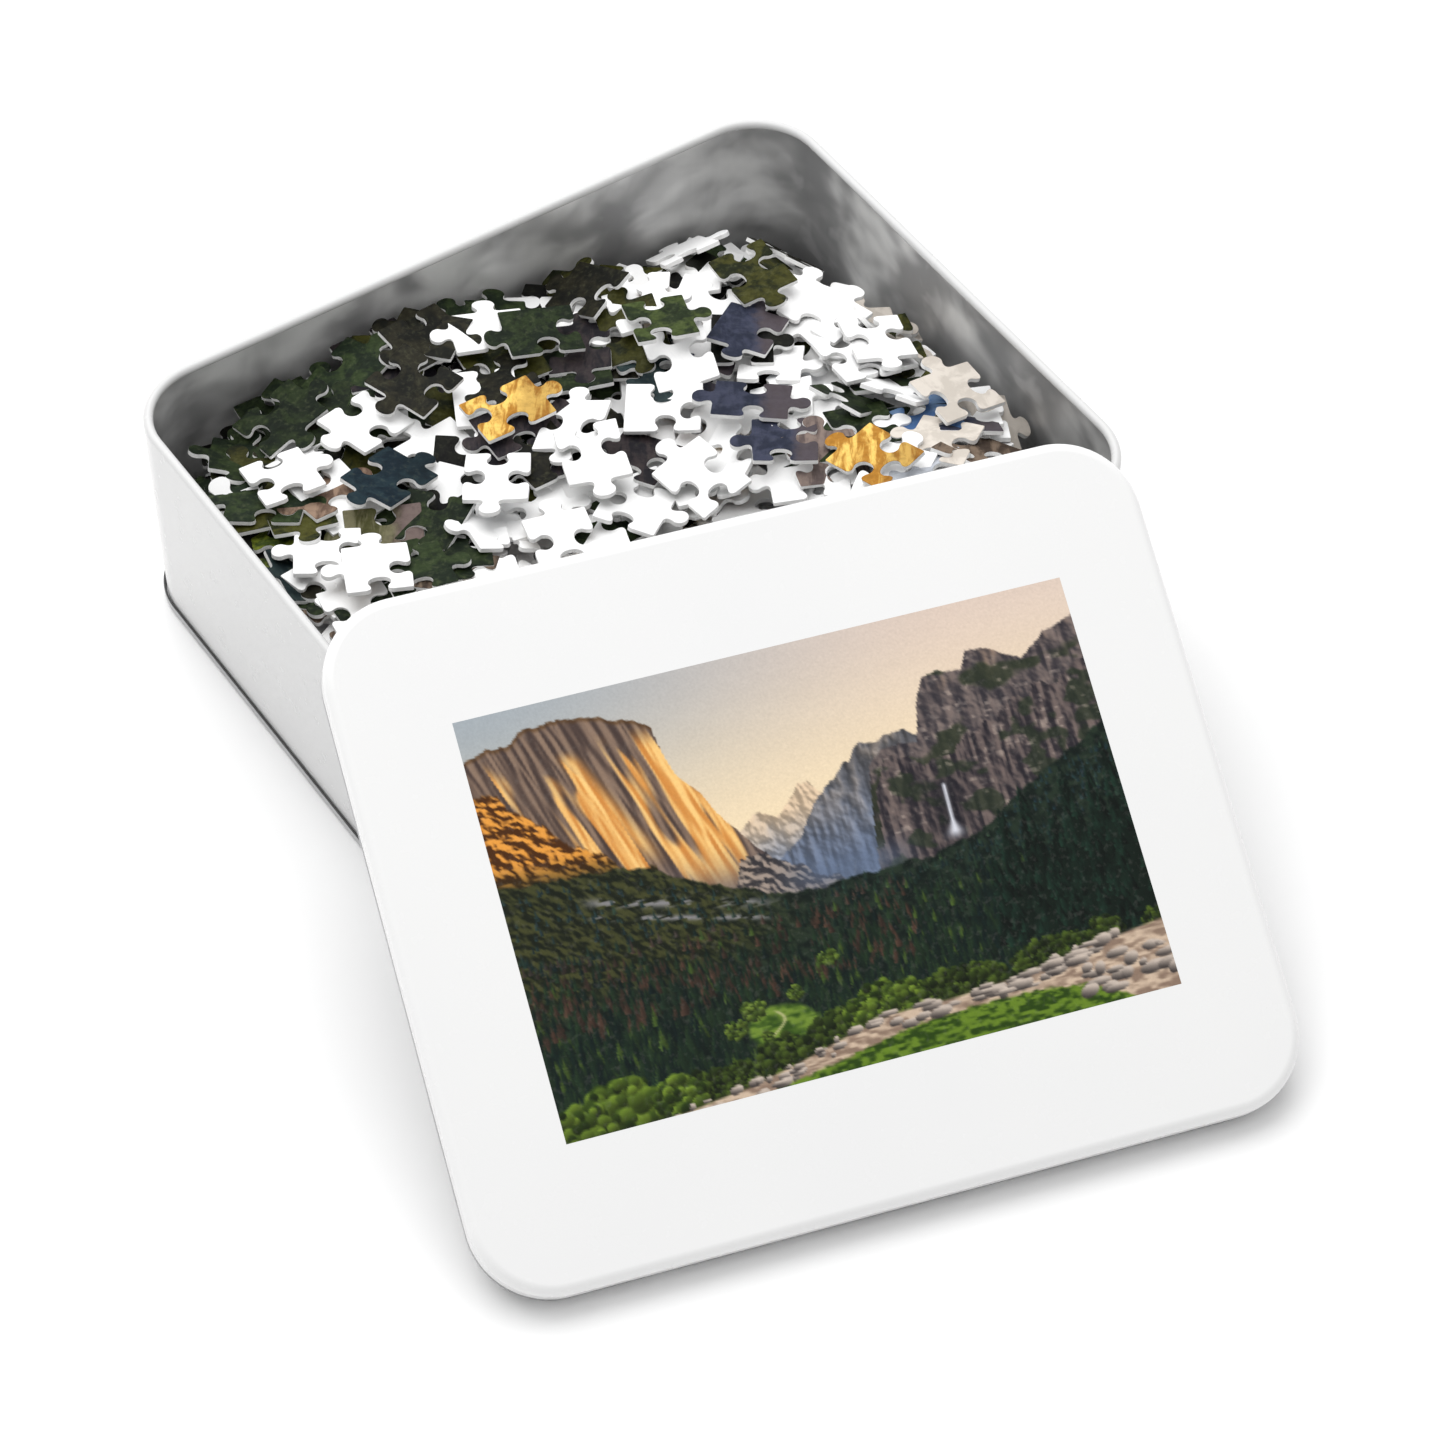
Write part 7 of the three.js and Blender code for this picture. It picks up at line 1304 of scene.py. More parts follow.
DEEP = [
[18.88, -35.62, 2, 3.518, -0.004, -0.037, 1, -1, -1, 1, 0.78, -0.61, -0.21, -0.3, ''],
[-55.38, -23.62, 1.9, 5.536, 0.014, 0.025, 1, 1, 1, -1, -0.27, 0.56, 0.5, -0.31, ''],
[-50.12, -37.88, 2.65, 4.525, -0.051, 0.046, -1, 1, -1, -1, -0.3, 0.38, -0.91, 0.87, ''],
[-45.62, -37.88, 4, 2.946, -0.094, -0.064, -1, -1, -1, 1, 0.08, -0.76, -0.38, 0.15, ''],
[-4.38, -29.62, 2.07, 0.3, 0.043, -0.024, 1, -1, 1, -1, -0.82, -0.03, -0.79, -0.81, ''],
[8.38, -43.88, 3.17, 5.655, 0.134, 0.052, 1, 0, 1, -1, -0.03, 0.85, -0.86, 0.8, ''],
[-30.62, -37.12, 4.16, 4.651, -0.183, 0.028, 1, 1, -1, -1, -0.7, -0.23, 0.51, 0.9, ''],
[-19.38, -37.12, 3.92, 3.992, -0.146, -0.065, 0, 1, 1, -1, 0.78, 1, 0.93, 0.04, ''],
[-68.12, -41.62, 1.82, 1.54, -0.004, -0.02, -1, 1, -1, -1, -0.03, -0.99, 0.07, -0.95, ''],
[30.88, -43.88, 2.58, 2.845, -0.035, -0.048, 1, -1, -1, -1, -0.01, 0.44, -0.91, 0.05, ''],
[21.88, -41.62, 4.99, 5.258, 0.036, 0.161, -1, -1, -1, 1, -0.97, -0.87, 0.32, -0.24, ''],
[13.62, 0.38, 2.18, 3.716, 0.062, -0.034, -1, 1, -1, 1, -0.52, 0.93, 0.24, 0.97, ''],
[54.88, 3.38, 2.02, 1.365, 0.056, -0.018, -1, -1, -1, 1, -0.13, -0.53, -0.78, 0.84, ''],
[-34.38, -47.62, 5.94, 4.536, 0.014, 0.151, 1, -1, 1, -1, 0.56, 0.73, 0.07, 0.63, ''],
[-35.12, -53.62, 6.68, 4.686, 0.026, 0.107, 1, 1, 1, -1, 0.18, -0.39, -0.62, -0.56, ''],
[5.38, -28.12, 5.17, 3.641, 0.259, -0.038, -1, 1, 1, -1, 0.49, -0.01, -0.27, 0.45, ''],
[-39.62, -28.12, 6.26, 4.168, 0.142, -0.183, -1, -1, -1, 1, -0.63, -0.1, -0.44, -0.55, ''],
[-57.62, -37.12, 5.12, 5.595, 0.175, -0.061, -1, -1, 1, 1, -0.12, -0.93, 1, -0.31, ''],
[3.12, -40.88, 7.54, 1.059, 0.061, -0.319, -1, 1, 1, -1, 0.48, -0.19, -0.91, -0.22, ''],
[46.62, -50.62, 3.24, 5.541, -0.03, 0.034, -1, 1, -1, 1, -0.98, -0.04, -0.88, -0.22, ''],
[-68.88, -52.12, 2.71, 2.583, -0.004, -0.109, -1, 1, 1, -1, 0.34, -0.62, 0.82, 0.84, ''],
[61.62, -57.38, 3.32, 0.19, 0.082, 0.073, -1, 0, 1, -1, 0.89, 0.32, -0.74, 0.05, ''],
[44.38, 40.12, 2.14, 1.198, -0.012, 0.073, 1, -1, 1, 1, 0.99, 0.62, 0.2, -0.51, ''],
[57.12, 10.88, 3.21, 1.919, 0.149, 0.029, -1, 1, 1, 1, -0.74, 0.78, 0.7, -0.32, ''],
[17.38, -49.88, 5.19, 0.962, 0.001, -0.252, 1, -1, -1, -1, -0.8, -0.01, -0.52, 0.32, ''],
[-32.12, -31.12, 8.45, 6.108, -0.102, 0.063, -1, 0, 1, -1, 0.16, -0.29, -0.91, 0.48, ''],
[-0.62, -55.12, 4.52, 1.128, 0.075, -0.286, 1, -1, 1, -1, 0.51, -0.03, -0.02, -0.4, ''],
[-23.88, 46.12, 2.07, 3.773, 0.045, 0.042, -1, 0, -1, 1, -0.8, 0.05, 0.85, 0.37, ''],
[-39.62, 19.88, 2.18, 3.383, 0.059, 0.021, 1, 1, -1, -1, -0.09, 0.61, 0.11, -0.07, ''],
[-29.12, 24.38, 3.27, 2.201, 0.099, 0.003, 1, -1, 1, 1, 0.41, 0.91, -0.01, -0.67, ''],
[-14.12, -2.62, 1.92, 3.583, -0.033, -0.019, -1, 1, -1, 1, 0.66, -0.6, -0.48, -0.13, ''],
[39.12, -58.88, 6.08, 2.23, -0.028, -0.212, -1, 1, -1, -1, 0.71, -0.16, 0.91, 0.12, ''],
[-39.62, 13.88, 4.57, 2.939, -0.123, 0.062, -1, -1, 1, 1, 0.89, 0.71, 0.68, -0.64, ''],
[-47.88, 37.12, 2.25, 0.84, 0.014, 0.079, -1, -1, 1, 1, -0.25, 0.08, -0.2, 0.63, ''],
[18.12, -24.38, 7.34, 1.421, 0.022, 0.2, -1, 1, 1, -1, 0.05, -0.3, 0.22, 0.98, ''],
[-48.62, -51.38, 7.37, 0.42, -0.071, -0.073, 1, -1, -1, 1, 0.51, -0.69, -0.97, -0.25, ''],
[-15.62, -31.88, 9.14, 5.771, -0.088, -0.028, 1, 1, -1, -1, -0.02, -0.88, 0.59, 0.88, ''],
[-46.38, -23.62, 8.08, 3.634, 0.266, 0.083, 1, -1, -1, 1, 0.62, -0.95, 0.39, -0.92, ''],
[44.38, 4.88, 4.86, 3.597, -0.018, 0.172, 1, 1, 1, -1, 0.89, -0.01, 0.02, -0.62, ''],
[-17.88, 55.88, 3.45, 3.116, 0.092, -0.025, 1, 1, -1, -1, -0.29, 0.79, 0.93, -0.61, ''],
[-64.38, -45.38, 7.51, 1.43, -0.069, -0.008, 1, 1, 1, -1, 0.42, 0.34, 0.28, 0.05, ''],
[3.12, 21.38, 2.1, 0.366, -0.07, 0.005, 1, -1, -1, -1, -0.24, 0.39, 0.97, 0.12, ''],
[-66.62, -19.88, 4.83, 0.482, -0.178, 0.057, -1, 1, 1, 1, 0.44, 0.22, -0.83, -0.34, ''],
[-42.62, 49.12, 2.79, 0.626, -0.058, 0.126, 1, -1, 1, 1, -0.73, 0.88, -0.91, 0.49, ''],
[10.62, 10.12, 4.07, 4.377, -0.006, -0.035, 1, -1, -1, -1, 0.35, 0.45, 0.96, -0.64, ''],
[-5.88, 40.88, 2.11, 0.769, 0.012, -0.04, -1, -1, -1, 1, -0.66, -0.75, -0.82, -0.9, ''],
[52.62, 34.88, 3.69, 1.923, 0.051, -0.017, -1, 1, 1, -1, 0.15, 0.71, -0.49, -0.96, ''],
[-31.38, 39.38, 4.72, 3.94, 0.026, -0.059, 1, 1, -1, -1, -0.66, -0.15, 0.43, 0.23, ''],
[69.88, 25.12, 2.06, 4.664, 0.024, -0.032, -1, -1, 0, 1, 0.2, 0.99, -0.53, 0.34, ''],
[-60.62, 43.88, 3.66, 3.928, 0.231, 0.094, -1, 1, -1, -1, 0.51, -0.42, -0.42, -0.2, ''],
[-74.12, -30.38, 7.65, 5.311, 0.026, -0.113, 1, 1, -1, -1, 0.38, -0.55, 0.05, -0.86, ''],
[-14.88, 1.12, 3.38, 6.195, -0.014, 0.022, -1, -1, 1, 1, -0.4, 0.29, -0.16, 0.01, ''],
[-59.12, 40.88, 6.17, 3.884, 0.074, -0.021, 1, 1, -1, -1, 0.56, -0.39, 0.85, 0.65, ''],
[-63.62, -58.12, 8.03, 5.609, 0.209, 0.049, -1, -1, 1, 1, 0.1, 0.6, 0.63, -0.17, ''],
[36.88, -46.12, 8.79, 2.654, 0.231, 0.007, -1, 1, 1, 1, -0.95, 0.62, 0.56, 0.41, ''],
[18.12, 28.88, 3.16, 1.345, 0.036, 0.026, -1, -1, 1, 1, -0.62, 0.93, 0.14, 0.28, ''],
[-52.38, 59.62, 3.45, 3.759, 0.139, -0.045, 1, -1, 1, -1, 0.14, -0.89, -0.33, 0.05, ''],
[-7.38, 46.12, 4.93, 0.749, 0.011, 0.019, 1, -1, 1, 1, 0.94, 0.89, -0.77, -0.92, ''],
[64.62, 24.38, 4.16, 5.864, -0.016, 0.118, 1, -1, -1, 1, 0.35, -0.8, 0.38, -0.88, ''],
[0.88, -17.62, 7.23, 5.221, 0.185, -0.152, -1, 1, -1, 1, -0.61, 0.61, 0.77, 0.44, ''],
[37.62, -36.38, 7.95, 0.992, -0.032, 0.276, 1, 1, 1, -1, 0.07, 0.04, 0.99, 0.96, ''],
[20.38, -5.62, 5.01, 3.591, 0.166, -0.15, -1, -1, -1, 0, -0.92, 0.16, 0.01, 0.45, ''],
[-23.88, 34.12, 6.57, 5.135, 0.004, -0.051, 1, 1, 1, -1, -0.52, -0.36, 0.04, -0.62, ''],
[-11.12, -46.88, 9.64, 0.521, 0.139, -0.215, 1, -1, -1, -1, -0.45, -0.1, 0.56, -0.76, ''],
[-12.62, -28.12, 10.15, 5.743, -0.101, -0.016, 1, -1, -1, 1, -0.02, 0.34, 0.23, 0.72, ''],
[-50.88, 22.12, 5.47, 1.956, -0.018, 0.081, 1, -1, 1, 1, -0.9, -0.91, 0.21, 0.14, ''],
[5.38, 21.38, 5.02, 1.228, -0.04, 0.068, 1, -1, -1, -1, -0.15, -0.97, -0.89, 0.56, ''],
[29.38, 4.88, 5.61, 4.105, 0.077, 0.028, -1, -1, -1, 1, -0.61, 0.95, -0.29, -0.49, ''],
[-18.62, 14.62, 6.98, 5.442, 0.127, 0.123, -1, 1, -1, 1, 0.43, -0.67, -0.68, -0.39, ''],
[49.62, -48.38, 9.81, 4.919, -0.23, -0.09, -1, 1, 0, 1, -0.56, -0.11, 0.65, -0.85, ''],
[12.12, -46.88, 10.35, 0.897, 0.114, 0.023, -1, 1, 1, 1, -0.81, 0.89, 0.54, 0.88, ''],
[-5.12, 28.88, 6.75, 2.974, -0.043, -0.023, 1, -1, -1, -1, 0.92, -0.75, -0.44, -0.82, ''],
[-24.62, 6.38, 6.59, 6.081, 0.245, -0.02, 1, -1, -1, 0, -0.2, -0.78, -0.6, -0.68, ''],
[17.38, 1.88, 6.55, 3.816, 0.112, 0.008, 1, 1, 1, -1, -0.9, -0.9, 0.84, 0.34, ''],
[22.62, -25.88, 9.42, 4.955, -0.046, -0.193, 1, -1, 1, -1, 0.57, -0.24, -0.78, -0.19, ''],
[18.88, 40.12, 4.29, 0.816, 0.045, 0.052, -1, -1, -1, 0, -0.43, -0.48, 0.71, 0.34, ''],
[42.88, 35.62, 5.45, 2.674, -0.032, -0.001, 1, 0, -1, -1, 0.59, -0.28, -0.59, 0.35, ''],
[54.88, 53.62, 4.04, 2.102, 0.118, 0.051, 0, -1, 1, 1, 0.3, -0.75, -0.2, -0.85, ''],
[9.12, 50.62, 5.91, 5.565, -0.023, -0.074, 1, -1, 1, -1, 0.19, -0.31, -0.84, -0.62, ''],
[24.12, -12.38, 9.53, 3.777, 0.092, 0.01, 1, 1, 1, -1, -0.08, -0.48, 0.33, -0.23, ''],
[-10.38, -20.62, 10.95, 0.081, -0.047, 0.035, -1, -1, 1, 1, 0.5, -0.68, 0.68, -0.21, ''],
[-50.88, -46.88, 11.02, 4.716, -0.037, -0.202, -1, -1, 1, 1, 0.37, -0.61, 0.16, 0.16, ''],
[16.62, 43.12, 7.47, 5.393, 0.023, 0.066, -1, 1, 1, -1, -0.14, 0.2, -0.44, 0.23, ''],
[-11.88, 28.88, 9.2, 3.211, 0.094, -0.018, 1, -1, 1, -1, 0.53, 0.91, -0.01, 0.16, ''],
[-15.62, 16.88, 10.82, 1.715, -0.022, -0.151, 1, -1, 1, 1, 0.26, 0.64, -0.9, -0.63, ''],
[-71.12, 16.12, 4.74, 2.121, -0.189, -0.162, -1, 0, 1, -1, -0.55, 0.27, 0.38, 0.12, ''],
[-44.88, -12.38, 8.45, 1.866, -0.141, 0.167, -1, -1, 0, 1, 0.15, -0.05, -0.85, -0.78, ''],
[44.38, -6.38, 5.39, 1.325, -0.034, -0.196, -1, 1, 1, -1, -0.35, -0.58, 0.82, -0.68, ''],
[54.12, -3.38, 7.38, 5.033, -0.097, 0.199, -1, -1, 1, 1, -0.52, -0.35, 0.52, -0.04, ''],
[58.62, -27.38, 1.99, 0.793, 0.003, 0.04, 1, -1, -1, 1, 0.26, -0.54, 0.55, 0.65, ''],
[-38.88, -11.62, 10.88, 0.024, -0.134, -0.038, 1, 1, 1, -1, -0.56, -0.12, -0.86, -0.35, ''],
[0.12, -1.12, 6.95, 5.143, 0.013, -0.172, -1, -1, -1, 1, 0.44, -0.67, 0.56, -0.56, ''],
[-26.12, 42.38, 7.55, 3.845, 0.041, -0, 1, 1, -1, 0, -0.88, -0.2, -0.1, 0.33, ''],
[39.12, 22.12, 6.97, 4.538, 0.046, -0.062, -1, 1, 0, -1, 0.28, -0.75, -0.76, 0.79, ''],
[-63.62, 6.38, 4.78, 5.098, 0.117, 0.155, 1, 1, 1, -1, 0.22, 0.26, -0.11, 0.07, ''],
[-71.12, 44.62, 8.97, 1.87, -0.191, 0.234, 1, -1, 1, 1, 0.28, -0.38, -0.15, -0.69, ''],
[-43.38, 28.88, 7.58, 0.682, -0.092, 0.04, 1, -1, 1, 1, 0.82, 0.46, -0.56, 0.39, ''],
[-32.12, -40.88, 11.66, 3.914, 0.048, -0.053, -1, 1, 1, 1, 0.14, -0.06, -0.07, 0.86, ''],
[-63.62, -27.38, 9.67, 0.154, -0.071, -0.044, 1, 1, -1, -1, -0.61, -0.95, -0.45, -0.93, ''],
[57.88, 35.62, 6.65, 0.061, -0.002, 0.129, 1, -1, 1, -1, 0.11, 0.17, 0.25, -0.56, ''],
[5.38, 16.12, 9.32, 3.328, -0.02, -0.246, -1, 1, -1, -1, -0.15, 0.49, -0.73, 0.69, ''],
[-44.12, -27.38, 13.02, 1.851, -0.027, 0.006, -1, 1, 1, 1, -0.36, -0.82, 0.6, -0.57, ''],
[-64.38, 19.88, 8.37, 3.354, -0.059, 0.06, 1, 1, 1, -1, 0.84, -0.76, -0.59, 0.55, ''],
[-51.62, 7.12, 7.82, 5.75, 0.154, 0.218, -1, 1, -1, 1, 0.31, -0.68, -0.95, -0.86, ''],
[31.62, 2.62, 9.25, 1.163, -0.003, -0.08, 1, 1, -1, -1, 0.38, 0.92, -0.19, 0.77, ''],
[-2.12, -19.12, 11.99, 6.009, 0.037, 0.095, -1, 1, 1, -1, -0.59, -0.51, -0.94, -0.67, ''],
[65.38, 46.88, 6.64, 1.491, 0.159, 0.094, 1, -1, 1, 1, -0.82, -0.84, 0.3, 0.35, ''],
[57.88, -47.62, 9.41, 1.717, 0.307, 0.099, -1, 1, 1, -1, 0.91, 0.26, 0.69, 0.13, ''],
[39.88, 49.88, 9.59, 2.808, -0.06, 0.14, 1, -1, -1, 1, -0.53, 0.52, -0.78, -0.98, ''],
[21.12, 17.62, 6.81, 1.097, 0.179, 0.18, -1, 1, -1, -1, -0.24, 0.98, -0.93, -0.38, ''],
[7.62, 34.88, 8.59, 2, 0.008, -0.093, -1, 1, 1, -1, 0.38, -0.57, -0.97, -0.39, ''],
[-29.12, 58.88, 8.39, 2.723, 0.119, 0.044, 1, -1, -1, 1, -0.15, -0.56, 0.55, 0.31, ''],
[67.62, 27.38, 8.07, 0.601, 0.099, 0.009, 1, 1, 1, -1, -0.58, -0.31, -0.7, 0.36, ''],
[31.62, 23.62, 9.58, 1.349, -0.026, 0.151, -1, 1, 1, 1, 0.96, -0.57, 0.49, 0.79, ''],
[54.12, 10.88, 9.77, 1.379, 0.037, 0.231, 1, -1, 1, 1, -0.22, 0.66, -0.18, -0.18, ''],
[-59.12, -12.38, 9.07, 2.959, 0.202, 0.082, 1, 1, -1, -1, -0.8, 0.69, -0.76, 0.53, ''],
[54.88, -11.62, 7.79, 4.335, -0.13, 0.099, -1, -1, 1, 1, 0.61, -0.55, -0.35, -0.95, ''],
[22.62, 52.12, 9.71, 5.926, 0.037, -0.069, -1, 1, -1, -1, 0.91, 0.6, 0.61, -0.81, ''],
[-3.62, 52.88, 7.09, 1.016, 0.01, -0.088, -1, 1, 0, -1, 0.06, 0.3, 0.85, 0.06, ''],
[-75.62, 6.38, 6.23, 2.565, 0.008, 0.148, -1, -1, -1, 1, -0.02, 0.71, 0.7, 0.81, ''],
[-29.88, -2.62, 10.93, 5.364, -0.232, -0.161, -1, 1, -1, 1, -0.79, -0.77, 0.29, -0.69, ''],
[-56.88, 56.62, 9.15, 4.528, -0.075, -0.313, 1, 1, -1, -1, 0.94, 0.3, 0.48, 0.25, ''],
[-33.62, -37.12, 14.07, 1.119, 0.068, -0.009, 1, -1, -1, 1, -0.3, 0.98, 0.31, -0.64, ''],
[-52.38, 35.62, 11.13, 6.269, 0.183, 0.103, -1, 1, 1, -1, 0.31, -0.38, 0.94, -0.7, ''],
[-17.12, 49.12, 10.23, 4.452, -0.011, -0.017, -1, -1, 1, 1, -0.62, -0.72, -0.76, -0.44, ''],
[-18.62, -10.12, 13.44, 4.283, -0.086, -0.204, 0, -1, 1, 1, 0.17, 0.42, 0.02, -0.64, ''],
[60.88, -22.88, 6.81, 5.169, 0.004, 0.228, -1, -1, -1, 1, 0.69, 0.49, 0.53, -0.25, ''],
[-43.38, 12.38, 10.55, 3.284, -0.014, 0.066, -1, -1, 1, 1, 0.46, -0.72, -0.07, 0.49, ''],
[40.62, -14.62, 10.69, 1.588, 0.113, -0.004, 1, 1, 1, -1, -0.02, -0.18, 0.1, 0.58, ''],
[5.38, 0.38, 11.73, 2.999, -0.001, -0.119, 1, -1, 1, 1, -0.92, 0.75, 0.34, -0.55, ''],
[-11.12, -25.12, 13.94, 5.851, 0.183, 0.083, -1, 1, -1, 1, 0.77, 0.68, -0.1, 0.68, ''],
[66.12, -46.88, 10.16, 5.284, -0.257, -0.098, 1, 0, 1, 1, -0.76, -0.26, -0.55, 0.78, ''],
[72.12, -21.38, 7.01, 3.265, 0.013, -0.17, -1, 1, 1, -1, 0.63, -0.13, 0.88, 0.68, ''],
[-21.62, -51.38, 13.67, 4.083, -0.018, -0.099, -1, 1, -1, -1, 0.12, 0.36, -0.63, 0.26, ''],
[0.88, 25.12, 11.99, 0.957, -0.026, 0.141, -1, 1, -1, 1, -0.96, -0.12, -0.11, -0.99, ''],
[-20.12, 3.38, 13.15, 5.381, -0.128, -0.107, -1, 1, 1, -1, -0.16, 0.58, -0.66, 0.13, ''],
[47.38, -25.12, 10.41, 4.528, -0.254, 0.239, 1, -1, -1, -1, 0.52, -0.79, -0.05, 0.81, ''],
[6.12, 21.38, 13.53, 4.11, -0.042, -0.152, -1, 1, -1, 1, -0.3, 0.99, 0.99, -0.84, ''],
[-44.88, 46.88, 12.38, 0.303, -0.136, 0.126, -1, 1, -1, -1, -0.09, 0.55, 0.66, 0.19, ''],
[-14.12, -43.88, 14.27, 1.323, -0.051, 0.168, -1, -1, -1, 1, 0.9, 0.59, 0.55, -0.39, ''],
[-54.62, -34.88, 13.72, 4.346, 0.051, 0.073, 1, -1, -1, -1, -0.98, 0.37, 0.82, 0.11, ''],
[-8.12, -3.38, 15.08, 2.161, 0.128, -0.001, 1, -1, 1, 1, -0.42, -0.07, -0.86, 0.61, ''],
[-29.88, 24.38, 11.61, 3.241, 0.223, 0.014, 1, -1, -1, -1, 0.39, 0.88, -0.89, -0.76, ''],
[14.38, -51.38, 12.38, 3.199, 0.005, 0.012, 1, -1, 0, 1, 0.04, 0.12, 0.28, 0.21, ''],
[63.88, 22.88, 10.26, 3.805, 0.012, -0.045, -1, 1, -1, 1, 0.58, 0.73, 0.36, 0.71, ''],
[10.62, 61.12, 10.33, 5.887, 0.061, -0.107, -1, 1, -1, 1, 0.71, 0.64, 0.43, -0.13, ''],
[-1.38, -31.88, 14.68, 4.852, -0.032, 0.134, 1, -1, 1, 1, -0.4, -0.23, 0.49, -0.4, ''],
[-4.38, -43.12, 16.12, 0.255, -0.027, 0.103, -1, -1, -1, 1, 0.71, 0.43, -1, -0.51, ''],
[-64.38, -22.12, 13.27, 6.238, -0.099, -0.223, -1, 1, -1, -1, 0.2, 0.12, 0.41, -0.43, ''],
[54.88, -25.88, 11.45, 3.547, -0.183, -0.075, 1, 1, -1, 0, -0.49, -0.6, 0.76, 0.7, ''],
[12.88, -34.12, 14.8, 5.719, -0.034, 0.19, 1, -1, 1, 1, 0.64, -0.66, 0.37, -0.95, ''],
[21.88, -60.38, 13.54, 1.965, 0.051, -0.067, -1, 1, 1, -1, 0.15, -0.48, -0.62, 0.93, ''],
[47.38, 31.12, 11.06, 0.824, -0.061, -0.043, 1, 1, -1, -1, -0.33, -0.49, 0.3, -0.26, ''],
[43.62, 9.38, 12.32, 3.7, 0.105, -0.08, -1, 1, -1, -1, -0.64, 0.86, -0.24, 0.2, ''],
[-26.88, -1.12, 15.74, 1.996, -0.029, 0.068, -1, -1, -1, 1, 0.44, 0.08, -0.16, -0.85, ''],
[67.62, 1.88, 10.19, 4.483, -0.276, 0.123, 1, 1, -1, -1, 0.67, 0.69, 0.49, 0.46, ''],
[-69.62, -48.38, 14.96, 1.624, -0.014, 0.046, -1, 0, 1, 1, 0.12, 0.39, 0.01, 0.94, ''],
[-48.62, 55.12, 13.32, 2.451, 0.094, 0.027, -1, 1, -1, -1, 0.96, -0.01, -0.35, -0.75, ''],
[12.12, 19.88, 14.63, 3.34, 0.025, -0.127, -1, 1, -1, 1, 0.89, 0.88, 0.14, 0.73, ''],
[-65.12, -46.12, 16.25, 2.84, 0.023, 0.003, 1, 1, -1, -1, -0.45, -0.4, -0.02, 0.21, ''],
[-8.88, 42.38, 11.7, 5.938, -0.051, 0.007, 1, -1, -1, -1, 0.02, -0.85, -0.11, 0.43, ''],
[-20.88, -17.62, 17.24, 6.098, 0.197, -0.058, -1, -1, 1, 1, -0.94, -0.43, -0.49, -0, ''],
[-44.88, -1.88, 11.87, 6.024, 0.039, -0.104, -1, -1, 1, 1, -0.44, 0.13, 0.32, -0.44, ''],
[18.12, 2.62, 13.15, 1.576, 0.098, -0.235, 1, 1, -1, -1, -0.88, 0.13, -0.22, 0.3, ''],
[33.88, 40.88, 11.84, 3.245, -0.004, 0.019, 1, -1, 1, 1, 0.47, -0.89, -0.75, -0.38, ''],
[70.62, -16.12, 12.85, 5.731, -0.241, 0.071, 1, 1, 1, -1, 0.41, -0.25, -0.01, 0.1, ''],
[-30.62, 20.62, 14.08, 3.907, 0.103, -0.082, 1, 0, 1, -1, -0.29, 0.71, 0.78, -0.42, ''],
[-75.62, 56.62, 10.89, 5.209, -0.206, -0.076, 1, -1, -1, -1, -0.89, 0.23, 0.14, 0.67, ''],
[45.12, 34.88, 13.54, 0.318, 0.101, -0.071, -1, 1, 1, 1, -0.02, 0.44, -0.68, -0.94, ''],
[45.12, -3.38, 14.17, 4.16, 0.002, 0.15, -1, 1, 1, -1, 0.78, 0.9, 0.48, -0.05, ''],
[-36.62, 37.12, 14.67, 5.804, 0.019, -0.001, -1, 1, 1, 1, -0.45, 0.99, 0.57, 0.75, ''],
[-2.88, -56.62, 17.91, 2.302, 0.035, -0.031, -1, 1, 1, 1, -0.57, 0.54, 0.15, 0.35, ''],
[28.62, 5.62, 15.38, 4.777, -0.033, 0.085, -1, 1, -1, 1, -0.78, -0.44, 0.86, -0.79, ''],
[27.88, -53.62, 16.87, 0.522, -0.111, 0.15, -1, -1, 1, 1, 0.67, 0.87, 0.52, -0.3, ''],
[52.62, 17.62, 13.55, 2.613, -0.021, 0.028, 1, -1, -1, 1, 0.18, -0.67, -0.2, 0.57, ''],
[-57.62, -46.12, 17.48, 4.785, -0.013, -0.022, 1, 1, -1, -1, -0.87, -0.05, -0.26, 0.75, ''],
[-74.88, -14.62, 15.88, 0.46, -0.089, 0.184, -1, -1, -1, 1, -0.79, 0.21, 0.26, 0.35, ''],
[-2.88, 54.38, 12.78, 5.16, -0.012, -0.046, 1, 1, 1, -1, 0.58, 0.67, -0.86, -0.88, ''],
[-45.62, -40.88, 17.43, 5.856, -0.028, 0.204, -1, 1, 1, 1, -0.96, 0.48, -0.46, 0.88, ''],
[-78.62, 23.62, 13.44, 5.256, 0.027, 0.109, 1, 1, -1, -1, -0.01, -0.61, 0.22, 0.14, ''],
[24.12, -36.38, 15.28, 3.638, 0.16, -0.164, -1, 1, 1, 1, 0.47, 0.34, -0.28, 0.54, ''],
[-3.62, 9.38, 17, 1.189, 0.01, -0.071, 1, 0, -1, -1, 0.65, -0.14, -0.01, 0.58, ''],
[55.62, -62.62, 14.24, 3.18, -0.106, 0.008, 1, 1, 0, -1, 0.79, 0.74, -0.73, -0.28, ''],
[-61.38, 37.12, 14.47, 1.882, 0.068, -0.166, 1, 1, 1, -1, -0.06, 0.96, -0.44, -0.93, ''],
[-57.62, 21.38, 13.52, 4.904, -0.026, 0.141, -1, 1, -1, 1, 0.97, -0.74, -0.31, -0.46, ''],
[-62.88, -16.12, 16.75, 0.774, 0.022, 0.14, 1, -1, 1, 1, -0.61, -0.11, 0.41, -0.8, ''],
[38.38, -47.62, 16.79, 1.713, 0.202, 0.043, 1, 1, -1, -1, -0.89, -0.02, -0.56, 0.48, ''],
[-68.12, -31.12, 19.48, 3.407, -0.112, 0.011, 1, 0, -1, 1, -0.46, -0.32, 0.61, -0.17, ''],
